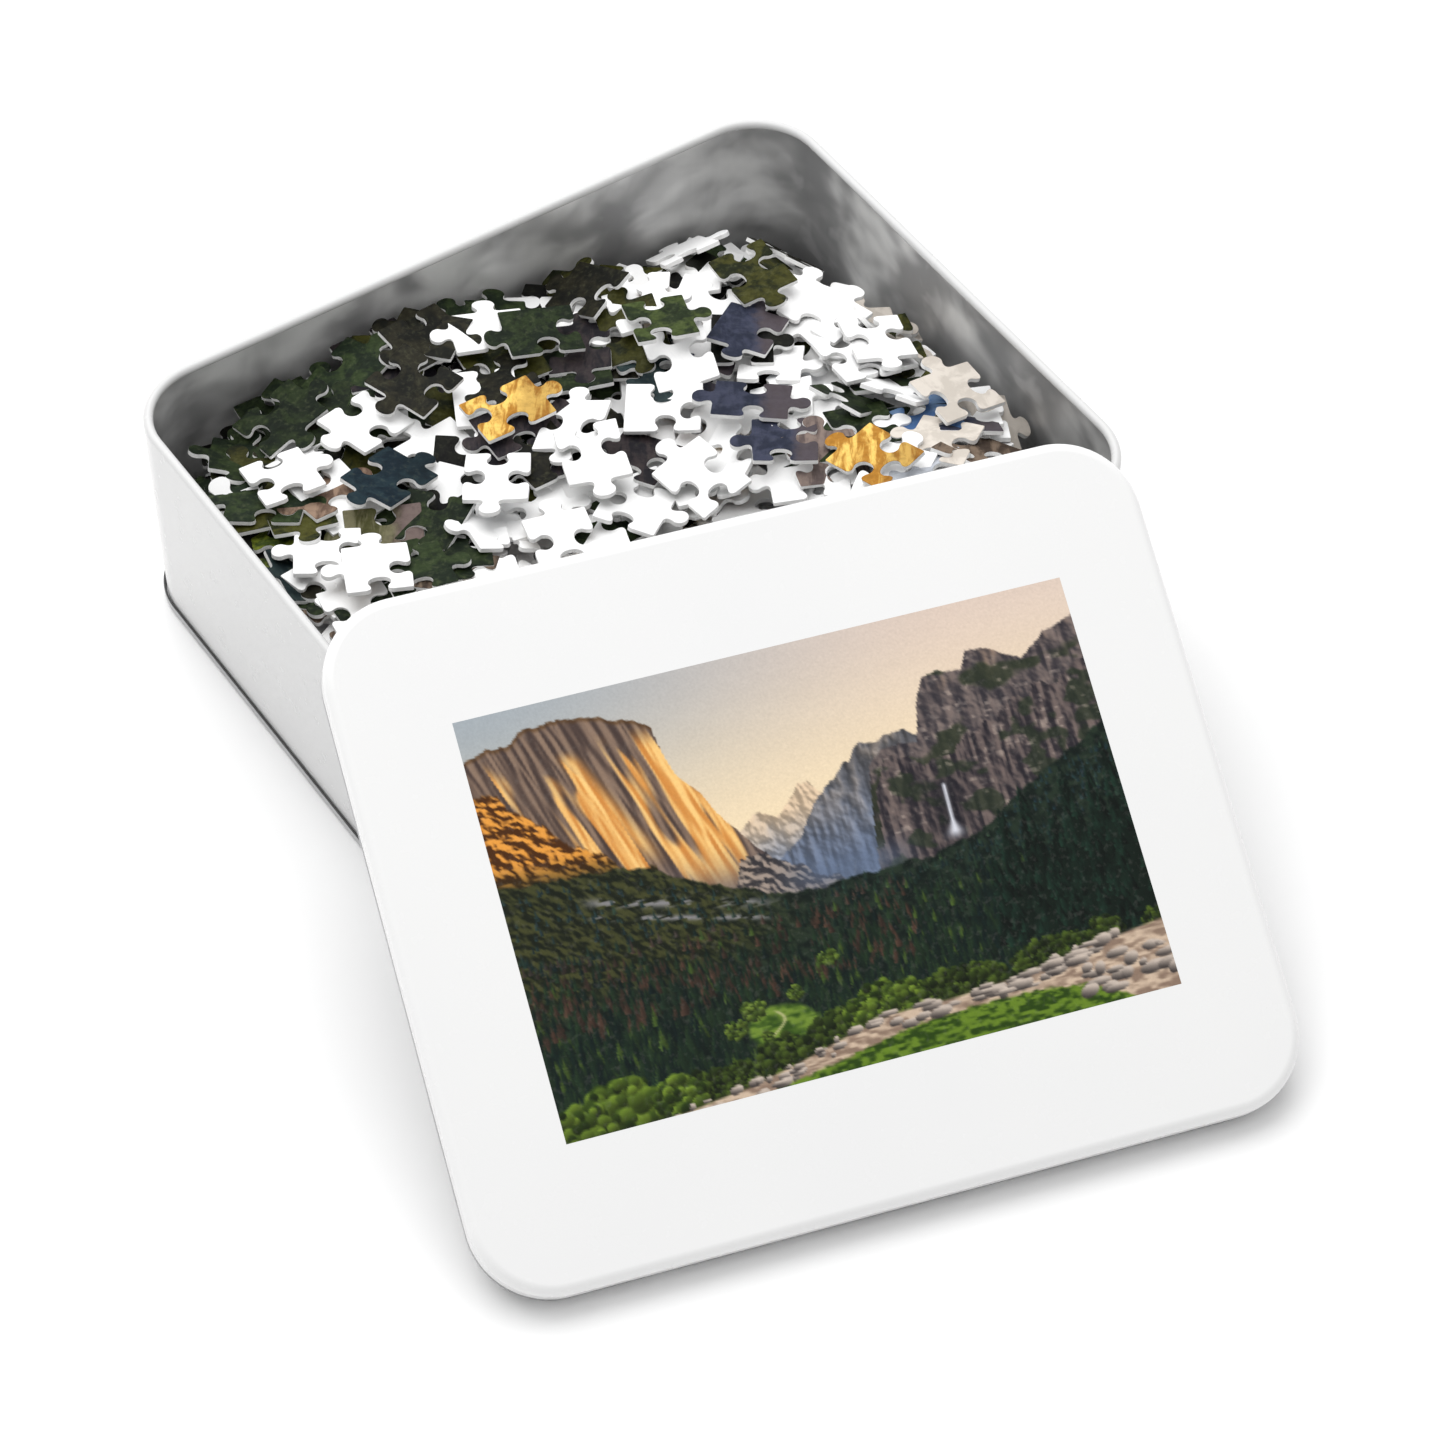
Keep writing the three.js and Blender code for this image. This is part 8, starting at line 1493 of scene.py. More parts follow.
[7.62, -10.12, 14.87, 0.946, 0.235, 0.03, -1, 1, 1, -1, -0.32, 0.44, -0.51, 0.28, ''],
[17.38, 33.38, 12.51, 0.275, -0.248, 0.278, -1, -1, -1, 1, 0.2, -0.11, -0.96, 0.62, ''],
[10.62, -12.38, 16.23, 4.807, -0.261, 0.091, -1, 1, 1, -1, 0.27, -0.68, -0.13, -0.54, ''],
[-26.12, 47.62, 15.41, 3.442, -0.028, -0.193, -1, 1, 1, -1, 0.86, -0.41, -0.18, 0.89, ''],
[-40.38, 31.88, 16.23, 3.689, 0.057, 0.04, -1, 1, -1, -1, -0.8, -0.54, -0.25, -0.54, ''],
[-11.12, 28.12, 14.32, 0.914, -0.159, -0.05, 1, 1, -1, -1, 0.22, -0.37, -0.87, 0.57, ''],
[-26.12, -26.62, 17.16, 3.166, -0.219, -0.011, 1, -1, 1, -1, 0.35, -0.74, -0.01, 0.44, ''],
[30.12, -10.88, 14.73, 4.042, -0.18, 0.143, -1, 1, -1, 1, 0.51, 0.9, 0.92, 0.92, ''],
[9.12, -50.62, 20.68, 4.489, -0.051, -0.182, 1, 1, -1, -1, -0.46, 0.01, 0.13, 0.82, ''],
[57.88, 35.62, 15.86, 2.674, -0.04, 0.052, 0, -1, -1, 1, 0.11, -0.19, 0.95, -0.32, ''],
[-74.88, 26.62, 16.63, 0.949, 0.101, -0.036, -1, 1, -1, -1, 0.01, 0.12, -0.63, 0.1, ''],
[60.12, -53.62, 16.46, 1.797, 0.167, 0.115, 1, -1, -1, 1, -0.73, 0.81, 0.12, -0.17, ''],
[57.12, -0.38, 16.22, 3.904, -0.049, -0.051, -1, -1, 1, 1, 0.48, -1, -0.77, -0.89, ''],
[51.88, 49.88, 15.53, 5.252, -0.058, -0.245, 1, 1, -1, -1, 0.97, -0.29, -0.68, 0.18, ''],
[71.38, 13.88, 16.11, 1.407, -0.14, 0.268, 1, -1, -1, -1, -0.96, -0.48, 0.39, -0.09, ''],
[18.12, 29.62, 15.67, 1.477, 0.194, 0.084, 1, 1, 1, -1, -0.82, 0.01, 0.2, -0.4, ''],
[39.12, 24.38, 16.06, 3.38, -0.03, 0.013, 1, 1, 1, 0, 0.57, 0.8, -0.42, -0.66, ''],
[-44.88, 16.88, 16.25, 4.495, 0.016, 0.186, -1, 1, 1, 1, 0.12, -0.39, 0.58, -0.81, ''],
[-30.62, 56.62, 17.42, 5.217, 0.022, -0.094, -1, 1, 1, 1, 0.24, 0.69, -0.18, -0.84, ''],
[14.38, 44.62, 16.27, 5.377, -0.066, -0.078, -1, 1, 1, 1, 0.39, 0.05, -0.9, 0.64, ''],
[-66.62, -36.38, 20.88, 3.658, -0.086, 0.087, 1, -1, 1, -1, 0.4, -0.72, 0.31, 0.91, ''],
[-32.88, -24.38, 19.3, 4.486, -0, 0.24, -1, -1, 1, 1, -0.94, 0.85, -0.93, 0.11, ''],
[21.12, -28.12, 16.33, 0.469, 0.035, 0.172, -1, -1, 1, 1, 0.77, 0.27, 0.25, -0.52, ''],
[-68.88, -2.62, 21, 2.212, 0.268, 0.033, -1, -1, 1, 1, -0.21, -0.29, -0.77, 0.13, ''],
[-65.88, 19.88, 16.89, 3.809, -0.141, -0.066, -1, 1, -1, 1, -0.47, 0.51, -0.74, -0.3, ''],
[50.38, -10.88, 17.74, 3.072, -0.046, 0.192, 1, -1, -1, -1, -0.84, -0.37, -0.27, 0.59, ''],
[39.88, -34.12, 16.66, 5.984, -0.228, 0.17, 1, -1, -1, -1, -0.99, 0.39, -0.99, -0.53, ''],
[-38.12, -22.12, 21.12, 3.74, -0.085, 0.248, 1, 1, -1, -1, 0.26, -0.72, 0.32, 0.64, ''],
[-24.62, 10.88, 17.37, 6.118, 0.093, 0.06, -1, 1, -1, 1, -0.3, -0.14, 0.24, -0.46, ''],
[-20.12, 32.62, 16.68, 3.485, -0.035, -0.001, 1, -1, -1, -1, 0.83, -0.4, 0.05, -0.3, ''],
[-48.62, 18.38, 17.83, 3.411, -0.145, 0.098, 1, -1, -1, 1, 0.52, 0.51, -0.9, 0.22, ''],
[52.62, -37.12, 16.81, 2.106, 0.199, 0.001, 0, 1, 1, 1, 0.28, 0.64, -0.09, 0.25, ''],
[-1.38, 40.12, 16.21, 5.619, -0.126, -0.119, -1, -1, -1, 1, -0.55, 0.07, 0.21, 0.45, ''],
[-17.88, 49.88, 19.81, 5.075, -0.062, -0.011, 1, 1, -1, -1, -0.07, 0.11, -0.46, 0.55, ''],
[36.12, 54.38, 13.77, 4.378, -0.022, -0.054, -1, 1, -1, 1, 0.89, -0.89, 0.4, 0.18, ''],
[-23.12, 1.88, 18.13, 3.161, -0.085, -0.053, -1, 1, -1, 0, -0.45, 0.88, -0.89, -0.94, ''],
[-29.88, -37.88, 20.42, 0.46, 0.021, 0.212, -1, 1, 1, 1, -0.61, -0.11, 0.64, 0.67, ''],
[-49.38, -11.62, 18.9, 4.446, 0.276, -0.238, -1, 1, -1, -1, 0.19, 0.58, -0.38, 0.25, ''],
[-50.12, 35.62, 18.53, 4.457, 0.059, -0.247, 1, -1, -1, -1, -0.77, -0.64, -0.55, 0.19, ''],
[8.38, 10.12, 18.49, 2.585, -0.01, -0.04, -1, 1, -1, -1, 0.4, 0.32, -0.61, 0.36, ''],
[9.88, 55.12, 18, 0.577, 0.02, -0.019, 1, -1, -1, -1, -0.25, -0.63, 0.85, -0.96, ''],
[50.38, -52.12, 21.38, 1.163, 0.045, 0.241, -1, 1, -1, 1, -0.66, 0.18, 0.56, 0.8, ''],
[-17.88, -37.12, 19.93, 5.355, -0.118, 0.061, -1, -1, -1, 1, 0.16, -0.05, -0.24, 0.79, ''],
[50.38, 9.38, 17.77, 4.433, 0.25, -0.122, -1, 1, 1, 1, 0.49, 0.23, 0.2, 0.59, ''],
[25.62, 40.88, 18.25, 5.129, -0.053, -0.026, 1, -1, -1, -1, -0.26, 0.48, 0.39, -0.26, ''],
[12.88, 16.88, 19.69, 0.221, -0.017, 0.096, -1, 1, 1, -1, -0.71, -0.81, 0.26, 0.92, ''],
[17.38, -1.12, 18.49, 4.022, -0.041, -0.095, -1, 1, 1, 1, -0.82, -0.64, -0.11, -0.5, ''],
[33.88, -31.88, 20.01, 2.202, 0.072, 0.069, 1, -1, 1, -1, 0.75, 0.9, 0.63, 0.99, ''],
[-15.62, 18.38, 18.81, 2.191, -0.008, 0.132, 1, -1, -1, 1, -0.33, -0.14, -0.66, 0.5, ''],
[63.88, 51.38, 15.85, 3.216, 0.269, -0.272, -1, 1, -1, -1, 0.5, -0.88, 0.37, 0.38, ''],
[-45.62, -31.12, 23.63, 3.457, -0.013, -0.011, 1, -1, -1, -1, 0.85, 0.89, -0.23, -0.71, ''],
[0.88, -42.38, 23.36, 2.337, -0.037, 0.133, -1, 1, -1, -1, 0.82, -0.32, 0.42, 0.96, ''],
[-56.88, -10.12, 21.94, 2.904, 0.244, -0.098, 1, -1, 1, -1, 0.91, -0.98, -0.21, 0.83, ''],
[46.62, -62.09, 30.41, 4.657, 0.066, -0.182, -1, 1, 1, 1, -0.73, -0.25, -0.11, 0.19, ''],
[-0.62, 25.88, 20.59, 6.083, -0.1, -0.092, -1, 1, -1, 1, 0.72, -0.18, 0.56, -0.83, ''],
[-12.62, -28.88, 22.17, 0.388, -0.151, 0.033, 1, -1, 1, 1, -0.95, 1, -0.35, -0.62, ''],
[40.62, 5.62, 19.23, 4.268, 0.132, -0.018, 1, 1, 1, -1, -0.27, -0.47, -0.36, -0.15, ''],
[-37.38, -10.88, 24.43, 2.273, -0.032, 0.101, -1, -1, 1, 1, -0.76, -0.35, 0.95, -0.47, ''],
[-65.12, 1.12, 23.18, 3.671, 0.052, -0.301, -1, 1, -1, 1, -0.51, 0.64, 0.94, 0.41, ''],
[45.12, 37.88, 19.36, 2.521, 0.002, -0.1, 1, 0, -1, -1, -0.34, -0.49, 0.62, 0.06, ''],
[66.12, 42.38, 18.7, 3.349, -0.057, -0.277, -1, 1, -1, -1, 0.99, -0.82, 0.84, -0.87, ''],
[6.12, 36.38, 20.65, 0.489, -0.313, -0.019, 1, 1, 1, -1, 0.54, -0.02, 0.01, 0.9, ''],
[1.62, -20.62, 21.11, 2.334, 0.24, -0.033, 1, -1, 1, 1, 0.82, -0.64, 0.11, 0.16, ''],
[-50.88, 7.12, 21.25, 3.281, 0.146, -0.153, -1, 1, -1, -1, 0.19, 0.07, -0.67, -0.22, ''],
[25.62, -24.38, 20.25, 1.327, -0.017, 0.251, -1, 1, -1, 0, 0.06, 0.52, 0.13, 0.39, ''],
[65.38, 16.12, 20.32, 0.374, -0.261, -0.01, 1, -1, -1, -1, -0.93, -0.4, 0.87, -0.9, ''],
[-31.38, 22.88, 20.22, 1.993, 0.025, 0, -1, -1, -1, 1, -0.97, 0.08, 0.32, -0.47, ''],
[-8.88, 56.62, 28.16, 1.919, -0.014, -0.252, 1, 0, -1, 1, 0.64, -0.43, -0.87, 0.25, ''],
[64.62, 25.88, 19.71, 2.353, 0.035, 0.286, 1, -1, 0, 1, 0.17, -0.5, 0.49, 0.97, ''],
[-15.62, 34.12, 21.59, 5.329, 0.08, 0.002, 1, -1, 1, 1, 0.26, -0.74, 0.87, 0.87, ''],
[-74.12, -20.62, 30.1, 4.252, -0.219, -0.029, -1, -1, 1, 1, -0.84, -0.57, -0.63, -0.14, ''],
[-56.12, 44.62, 21.29, 5.148, -0.083, 0.122, 1, 1, -1, -1, -0.66, -0.74, -0.24, -0.88, ''],
[29.38, 31.88, 20.1, 3.475, -0.199, 0.099, 1, -1, -1, 1, -0.53, -0.2, 0.46, 0.22, ''],
[7.62, -30.38, 23.24, 0.79, 0.042, 0.287, -1, -1, 1, 1, -0.98, -0.11, 0.31, 0.16, ''],
[36.12, 53.62, 22.04, 6.275, -0.003, -0.038, -1, 1, -1, -1, -0.25, -0.88, 0.43, 0.26, ''],
[-28.38, 24.38, 22.27, 6.134, -0.035, -0.012, 1, -1, -1, 1, -0.83, -0.83, -0.58, 0.36, ''],
[-63.62, 16.12, 22.51, 3.682, 0.26, -0.113, 1, -1, -1, 1, 0.47, -0.25, -0.29, -0.4, ''],
[-24.62, -46.88, 22.31, 0.635, 0.037, 0.078, -1, -1, 1, 1, 0.16, -0.9, 0.11, -0.44, ''],
[50.38, 25.12, 20.74, 3.579, -0.009, -0.016, 1, -1, 1, -1, -0.53, 0.32, -0.67, -0.36, ''],
[-42.62, 7.88, 23.54, 4.146, 0.037, 0.085, -1, -1, -1, 1, -0.08, -0.57, -0.68, 0.55, ''],
[-38.88, 2.62, 25.73, 1.23, 0.046, -0.008, -1, 1, 1, 1, 0.93, 0.16, 0.9, 0.82, ''],
[51.12, -25.88, 19.8, 2.096, -0.1, -0.019, 1, 1, -1, -1, -0.84, 0.76, -0.86, -1, ''],
[34.62, -16.12, 21.42, 0.983, -0.026, 0.051, -1, -1, 1, 1, 0.94, -0.53, 0.68, -0.93, ''],
[70.62, 52.88, 18.93, 5.535, -0.205, -0.049, 1, -1, -1, -1, -0.06, -0.43, -0.89, -0.43, ''],
[50.38, 34.88, 23.01, 0.065, 0.015, 0.032, 1, -1, 1, 1, -0.57, -0.55, 0.53, -0.39, ''],
[-5.12, -5.62, 20.04, 1.427, -0.095, 0.21, 1, -1, -1, -1, -0.05, 0.98, 0.38, -0.75, ''],
[22.62, -23.62, 23.24, 3.088, 0.075, 0.017, 1, -1, -1, 1, 0.91, -0.66, 0.73, -0.03, ''],
[12.12, -36.38, 26.06, 2.413, 0.058, -0.138, 1, 1, -1, -1, -0.64, -0.5, 0.63, 0.87, ''],
[23.38, 55.88, 28.57, 2.905, -0.274, -0.06, 1, -1, -1, 1, 0.16, 0.86, -0.17, -0.19, ''],
[21.88, 1.88, 20.43, 2.05, 0.041, -0.027, 1, 1, -1, -1, -0.91, -0.97, -0.97, -0.34, ''],
[18.12, 0.38, 22.14, 1.022, -0.016, 0.005, -1, -1, -1, 1, 0.91, 0.74, 0.87, 0.72, ''],
[58.62, 0.38, 22.74, 3.154, -0.13, 0.066, -1, 1, 1, -1, 0.97, 0.64, -0.16, 0.83, ''],
[-52.38, 1.88, 26.52, 4.943, 0.313, 0.035, -1, 1, -1, -1, -0.22, -0.17, -0.42, -0.38, ''],
[-44.88, 37.12, 22.46, 5.247, -0.031, -0.101, 1, 1, -1, -1, 0.26, 0.31, 0.89, -0.21, ''],
[-32.12, 35.62, 23.93, 1.186, -0.015, 0.124, 1, -1, 1, 1, -0.97, 0.59, -0.04, -0.99, ''],
[38.38, -10.88, 22.5, 4.864, -0.033, -0.05, 1, -1, -1, -1, -0.54, -0.22, 0.89, -0.34, ''],
[-45.62, 49.88, 27.96, 2.648, -0.086, -0.198, -1, 0, -1, 1, 0.09, 0.62, -0.47, 0.44, ''],
[46.62, 57.38, 23.75, 4.657, -0.068, -0.044, -1, 0, 1, 1, -0.67, 0.02, -0.71, -0.83, ''],
[-16.38, -42.38, 25.7, 0.799, -0.101, 0.108, -1, 1, 1, 1, -0.36, 0.58, 0.3, -0.05, ''],
[-2.12, 31.12, 23.8, 3.997, -0.01, 0.075, 1, 1, 1, -1, 0.62, -0.79, 0.31, -0.15, ''],
[-15.62, -3.38, 21.08, 0.259, -0.161, -0.017, 1, -1, 1, 0, -0.06, 0.82, -0.33, -0.08, ''],
[-30.62, -28.88, 27.35, 4.688, 0.129, 0.195, -1, -1, -1, 1, -0.71, -0.64, 0.54, 0.33, ''],
[19.62, 30.38, 23.46, 0.401, 0.125, 0.046, 1, 1, -1, -1, 0.68, -0.46, 0.45, -0.02, ''],
[-5.12, 4.12, 22.08, 5.512, 0.025, -0.025, -1, 1, -1, 1, -0.75, 0.71, -0.59, -0.09, ''],
[-7.38, 1.12, 23.42, 0.114, -0.016, -0.021, -1, 1, -1, -1, -0.07, -0.72, 0.57, 0.87, ''],
[-31.38, 50.62, 34.3, 2.909, -0.194, 0.085, 1, -1, -1, 1, -0.71, -1, -0.63, 0.08, ''],
[32.38, 12.38, 21.91, 3.573, -0.028, 0.02, 1, -1, 1, 1, -0.29, -0.77, 0.69, -0.51, ''],
[61.62, -11.62, 23.09, 4.821, 0.025, 0.143, 1, -1, -1, -1, 0.23, -0.65, 0.37, -0.49, ''],
[-62.88, 35.62, 24.51, 0.097, 0.039, -0.132, 1, 1, -1, -1, 0.88, 0.92, -0.91, 0.89, ''],
[39.12, 22.12, 24.34, 5.181, 0.023, -0.024, -1, 1, 1, -1, 0.44, -0.27, -0.47, -0.28, ''],
[47.38, 8.62, 25.51, 0.65, 0.101, 0.032, -1, -1, 1, 1, 0.06, 0.19, -0.81, -0.5, ''],
[-26.12, 2.62, 25.26, 3.737, -0.318, -0.033, 1, -1, -1, 1, 0.95, -0.63, 0.12, 0.26, ''],
[45.88, -9.38, 24.52, 1.835, -0.115, 0.034, 1, -1, -1, 1, 0.29, 0.65, 0.27, 0.44, ''],
[-12.62, -28.12, 34.57, 4.953, 0.106, -0.218, -1, 1, -1, -1, -0.57, -0.63, -0.06, -0.96, ''],
[63.12, 59.62, 21.43, 5.048, -0.006, -0.053, -1, 1, 1, -1, 0.66, -0.24, -0.31, 0.07, ''],
[-44.88, 19.88, 26.55, 4.503, 0.191, 0.037, 0, -1, -1, 1, -0.37, -0.13, 0.94, 0.57, ''],
[-19.38, 11.62, 27.27, 1.594, 0.271, 0.013, -1, -1, 1, 1, 0.32, -0.89, 0.2, 0.19, ''],
[61.62, 25.12, 25.17, 1.595, -0.123, 0.006, 1, -1, 1, -1, -0.15, 0.7, -0.54, -0.3, ''],
[-29.12, 40.12, 33.64, 0.33, 0.241, -0.269, 1, -1, -1, 1, 0.35, -0.52, -0.62, 0.69, ''],
[12.12, -16.12, 25.53, 3.89, 0.111, -0.043, -1, 1, 1, -1, 0.16, -0.39, 0.28, -0.05, ''],
[-68.88, 12.38, 37.57, 4.076, -0.322, -0.243, -1, 1, 1, 1, -0.87, 0.81, -0.24, -0, ''],
[12.12, 1.12, 24.5, 3.039, 0.015, -0.069, 1, 1, -1, -1, 0.88, 0.04, -0.66, -0.93, ''],
[-8.88, -12.38, 24.76, 2.753, -0.08, 0.038, 1, -1, -1, -1, -0.43, -0.88, 0.69, -0.83, ''],
[-53.12, -20.62, 30.26, 5.577, -0.09, -0.279, -1, -1, -1, 1, -0.22, -0.3, 0.04, -0.24, ''],
[-25.38, -1.12, 29.08, 3.731, -0.152, 0.166, 1, 1, 1, -1, 0.04, 0.65, -0.2, 0.05, ''],
[15.12, 25.88, 24.98, 5.547, -0.003, 0.146, 1, -1, 1, -1, -0.5, -0.18, -0.06, 0.51, ''],
[57.88, 13.88, 26.47, 3.824, -0.136, -0.088, 1, -1, -1, -1, 0.75, -0.96, -0.13, -0.44, ''],
[-21.62, 22.12, 28.59, 0.408, -0.097, 0.27, -1, 1, -1, -1, -0.41, 0.2, -0.81, -0.24, ''],
[3.88, 10.88, 26.63, 6.129, -0.034, 0.07, -1, -1, 1, 1, -0.48, 0.16, 0.13, -0.93, ''],
[53.38, -33.38, 27.81, 5.558, 0.112, -0.314, -1, -1, 1, 1, -0.88, 0.83, 0.62, -0.99, ''],
[68.38, -12.38, 26.73, 1.55, 0.004, 0.293, -1, -1, -1, 1, 0.06, -0.27, -0.1, -0.14, ''],
[-8.88, -16.12, 33.77, 1.796, -0.008, 0.302, -1, 1, -1, -1, -0.77, 0.56, 0.06, 0.45, ''],
[57.12, 35.62, 25.78, 2.582, 0.053, 0.149, 1, -1, 1, -1, 0.55, 0.07, -0.54, -0.52, ''],
[34.62, 30.38, 26.71, 2.8, -0.082, 0.002, -1, 1, -1, 1, -0.19, -0.65, 0.94, 0.32, ''],
[24.88, 11.62, 24.48, 1.954, 0.127, 0.006, -1, -1, -1, 1, -0.53, 0.18, -0.17, 0.92, ''],
[-47.12, -14.62, 31.91, 1.853, 0.069, 0.123, 1, 1, -1, -1, -0.13, 0.26, 0.41, -0.51, ''],
[17.38, 1.12, 26.96, 1.284, 0.078, -0.051, -1, 1, 1, 1, -0.04, -0.47, 0.22, -0.39, ''],
[42.12, 46.12, 29.12, 1.215, 0.206, -0.145, -1, 1, -1, 1, 0.99, -0.41, 0.75, -0.65, ''],
[55.62, -1.88, 27.55, 1.197, -0.002, -0.075, -1, 1, -1, 1, -0.48, 0.89, -0.94, -0.05, ''],
[63.12, 52.12, 28.2, 1.095, -0.288, 0.249, 1, 1, 1, -1, -0.5, 0.61, -0.34, 0.67, ''],
[24.88, -6.38, 27.03, 2.074, 0.174, -0.092, -1, -1, 1, 1, -0.03, -0.16, -0.37, -0.09, ''],
[5.38, -10.88, 32.37, 0.189, 0.054, 0.23, 1, -1, 1, 1, 0.7, 0.28, -0.43, -0.69, ''],
[24.88, -27.38, 28.28, 4.457, -0.011, 0.093, 1, -1, 1, -1, -0.54, 0.78, -0.14, 0.83, ''],
[20.38, 19.12, 27.86, 4.127, -0.002, -0.227, 1, 1, 1, -1, -0.02, 0.25, -0.34, -1, ''],
[36.12, 19.12, 28.76, 2.014, 0.087, 0.025, 1, 1, 1, -1, 0.27, -0.51, -0.34, 0.21, ''],
[61.62, 30.38, 29.75, 3.378, -0.059, 0.045, 1, 1, 1, -1, 0.26, -0.24, 0.23, -0.35, ''],
[27.88, -4.88, 28.21, 3.255, 0.029, -0.237, -1, 1, 1, 1, 0.21, -0.7, 0.74, 0.23, ''],
[46.62, 10.12, 29.73, 3.144, -0.125, 0.093, 1, -1, 1, -1, -0.44, -0.64, -0.39, 0.51, ''],
[-11.88, -0.38, 33.53, 0.684, -0.263, -0.02, 1, 1, 1, -1, -0.43, -0.98, -0.68, -0.62, ''],
[70.62, 16.88, 30.85, 3.194, -0.023, 0.04, -1, 1, -1, 1, -0.67, 0.33, -0.83, 0.14, ''],
[-8.12, 22.12, 30.47, 5.982, 0.152, -0.002, 1, 1, 1, -1, 0.2, 0.29, -0.96, 0.83, ''],
[51.12, 38.62, 31.27, 6.066, 0.064, -0.021, -1, -1, -1, 1, -0.44, 0.55, 0.65, -0.37, ''],
[-45.62, 11.62, 35.87, 0.989, 0.32, 0.12, 1, -1, -1, 1, -0.78, 0.52, -1, -0.28, ''],
[69.88, -2.62, 35.61, 1.585, -0.277, 0.207, 1, 1, 1, -1, 0.21, 0.72, -0.16, 0.75, ''],
[3.12, 15.38, 32.5, 5.058, 0.019, -0.013, 1, 1, 1, -1, -0.55, -0.09, -0.72, -0.71, ''],
[70.62, 13.12, 36.24, 4.418, 0.266, 0.044, -1, -1, 1, 1, 0.87, 0.43, -0.02, -0.59, ''],
[14.38, 26.62, 33.13, 2.211, 0.183, 0.107, 1, -1, -1, -1, 0.78, 0.85, 0.58, -0.04, ''],
[31.62, 8.62, 30.78, 5.413, 0.084, 0.004, -1, 1, 1, -1, -0.83, 0.99, 0.31, 0.32, ''],
[59.38, 18.38, 34.71, 1.088, -0.257, -0.04, -1, 1, 1, -1, 0.8, 0.34, -0.92, 0.15, ''],
[43.62, 23.62, 36.99, 2.875, 0.004, -0.186, -1, 1, -1, 1, -0.04, 0.32, 0.53, 0.01, ''],
[20.38, 4.88, 32.73, 2.734, -0.012, -0.217, -1, 1, -1, -1, -0.43, 0.54, 0.69, -0.33, ''],
[40.62, -10.12, 31.78, 1.835, 0.207, -0.091, -1, 1, 1, -1, 0.5, -0.49, 0.53, -0.23, ''],
[51.12, -1.88, 34.76, 5.556, -0.069, -0.136, -1, 1, 1, 1, -0.72, 0.52, -0.86, 0, ''],
[-0.62, 2.62, 36.61, 5.784, -0.103, 0.023, 1, -1, 1, 1, -0.27, 0.17, 0.24, 0.27, ''],
]

# ---- the picture on the lid: vertex colours on a fine sheet, just proud of the lacquer --------
PU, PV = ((384, 259))
PIC_W, PIC_H, PIC_X, PIC_Y = 149.24, 100.69, 0.76, 0.02


def lid_picture():
    img = paint(PU, PV)
    gx, gy = np.linspace(-PIC_W / 2, PIC_W / 2, PU), np.linspace(PIC_H / 2, -PIC_H / 2, PV)
    X, Y = np.meshgrid(gx + PIC_X, gy + PIC_Y)
    v = np.stack([X.ravel(), Y.ravel(), np.full(PU * PV, LID_H + 0.012)], 1) @ LID_ROT.T + LID_POS
    me = bpy.data.meshes.new("lid_print")
    me.vertices.add(PU * PV)
    me.vertices.foreach_set("co", (v * MM).astype(np.float32).ravel())
    i = (np.arange(PV - 1)[:, None] * PU + np.arange(PU - 1)[None, :]).ravel()
    quads = np.stack([i, i + PU, i + PU + 1, i + 1], 1).astype(np.int32)
    me.loops.add(quads.size)
    me.loops.foreach_set("vertex_index", quads.ravel())
    me.polygons.add(len(quads))
    me.polygons.foreach_set("loop_start", (np.arange(len(quads)) * 4).astype(np.int32))
    me.polygons.foreach_set("loop_total", np.full(len(quads), 4, np.int32))
    me.update(calc_edges=True)
    me.validate()
    c = np.where(img <= 0.04045, img / 12.92, ((img + 0.055) / 1.055) ** 2.4)
    rgba = np.concatenate([c.reshape(-1, 3), np.ones((PU * PV, 1))], 1).astype(np.float32)
    at = me.attributes.new("ink", "FLOAT_COLOR", "POINT")
    at.data.foreach_set("color", rgba.ravel())
    n = Nodes("lid_print")
    p = n.coord()
    grain = n.noise(p, 1500.0, 3.0, 0.6)
    ink = n.node("ShaderNodeGamma")
    n.put(ink.inputs[0], n.attr("ink"))
    ink.inputs[1].default_value = 1.10
    col = n.mix(n.remap(grain, 0.3, 0.7, 0.0, 0.10), ink.outputs[0], (0.02, 0.02, 0.02, 1.0))
    col = n.mix(n.remap(n.noise(p, 700.0, 2.0), 0.55, 0.8, 0.0, 0.03), col, (0.8, 0.78, 0.72, 1.0))
    peel = n.noise(p, 900.0, 2.0, 0.45)
    n.set(color=col, rough=n.remap(n.noise(p, 220.0, 3.0), 0.3, 0.7, 0.48, 0.58), normal=n.bump(peel, 0.08, 0.0002), spec=0.12)
    me.materials.append(n.mat)
    ob = link(bpy.data.objects.new("lid_print", me))
    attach(ob, "lid")
    return ob


lid_picture()

# ---- jigsaw pieces -------------------------------------------------------------------
LW, LH, TH = 19.5, 16.2, 1.2
TAB = np.array([(-3.2, 0), (-2.35, 0.35), (-2.05, 1.0), (-2.25, 1.9), (-2.7, 2.7), (-2.8, 3.4), (-2.45, 4.4), (-1.5, 5.15), (-0.5, 5.4)])
TAB = np.vstack([TAB, (TAB * [-1, 1])[::-1]])


def catmull(p, sub):
    q = np.vstack([2 * p[0] - p[1], p, 2 * p[-1] - p[-2]])
    out = []
    for i in range(1, len(q) - 2):
        for k in range(sub):
            t = k / sub
            a, b, c, d = q[i - 1], q[i], q[i + 1], q[i + 2]
            out.append(0.5 * (2 * b + (c - a) * t + (2 * a - 5 * b + 4 * c - d) * t * t + (3 * b - a - 3 * c + d) * t ** 3))
    out.append(q[-2])
    return np.array(out)


TAB_FINE = catmull(TAB, 2)


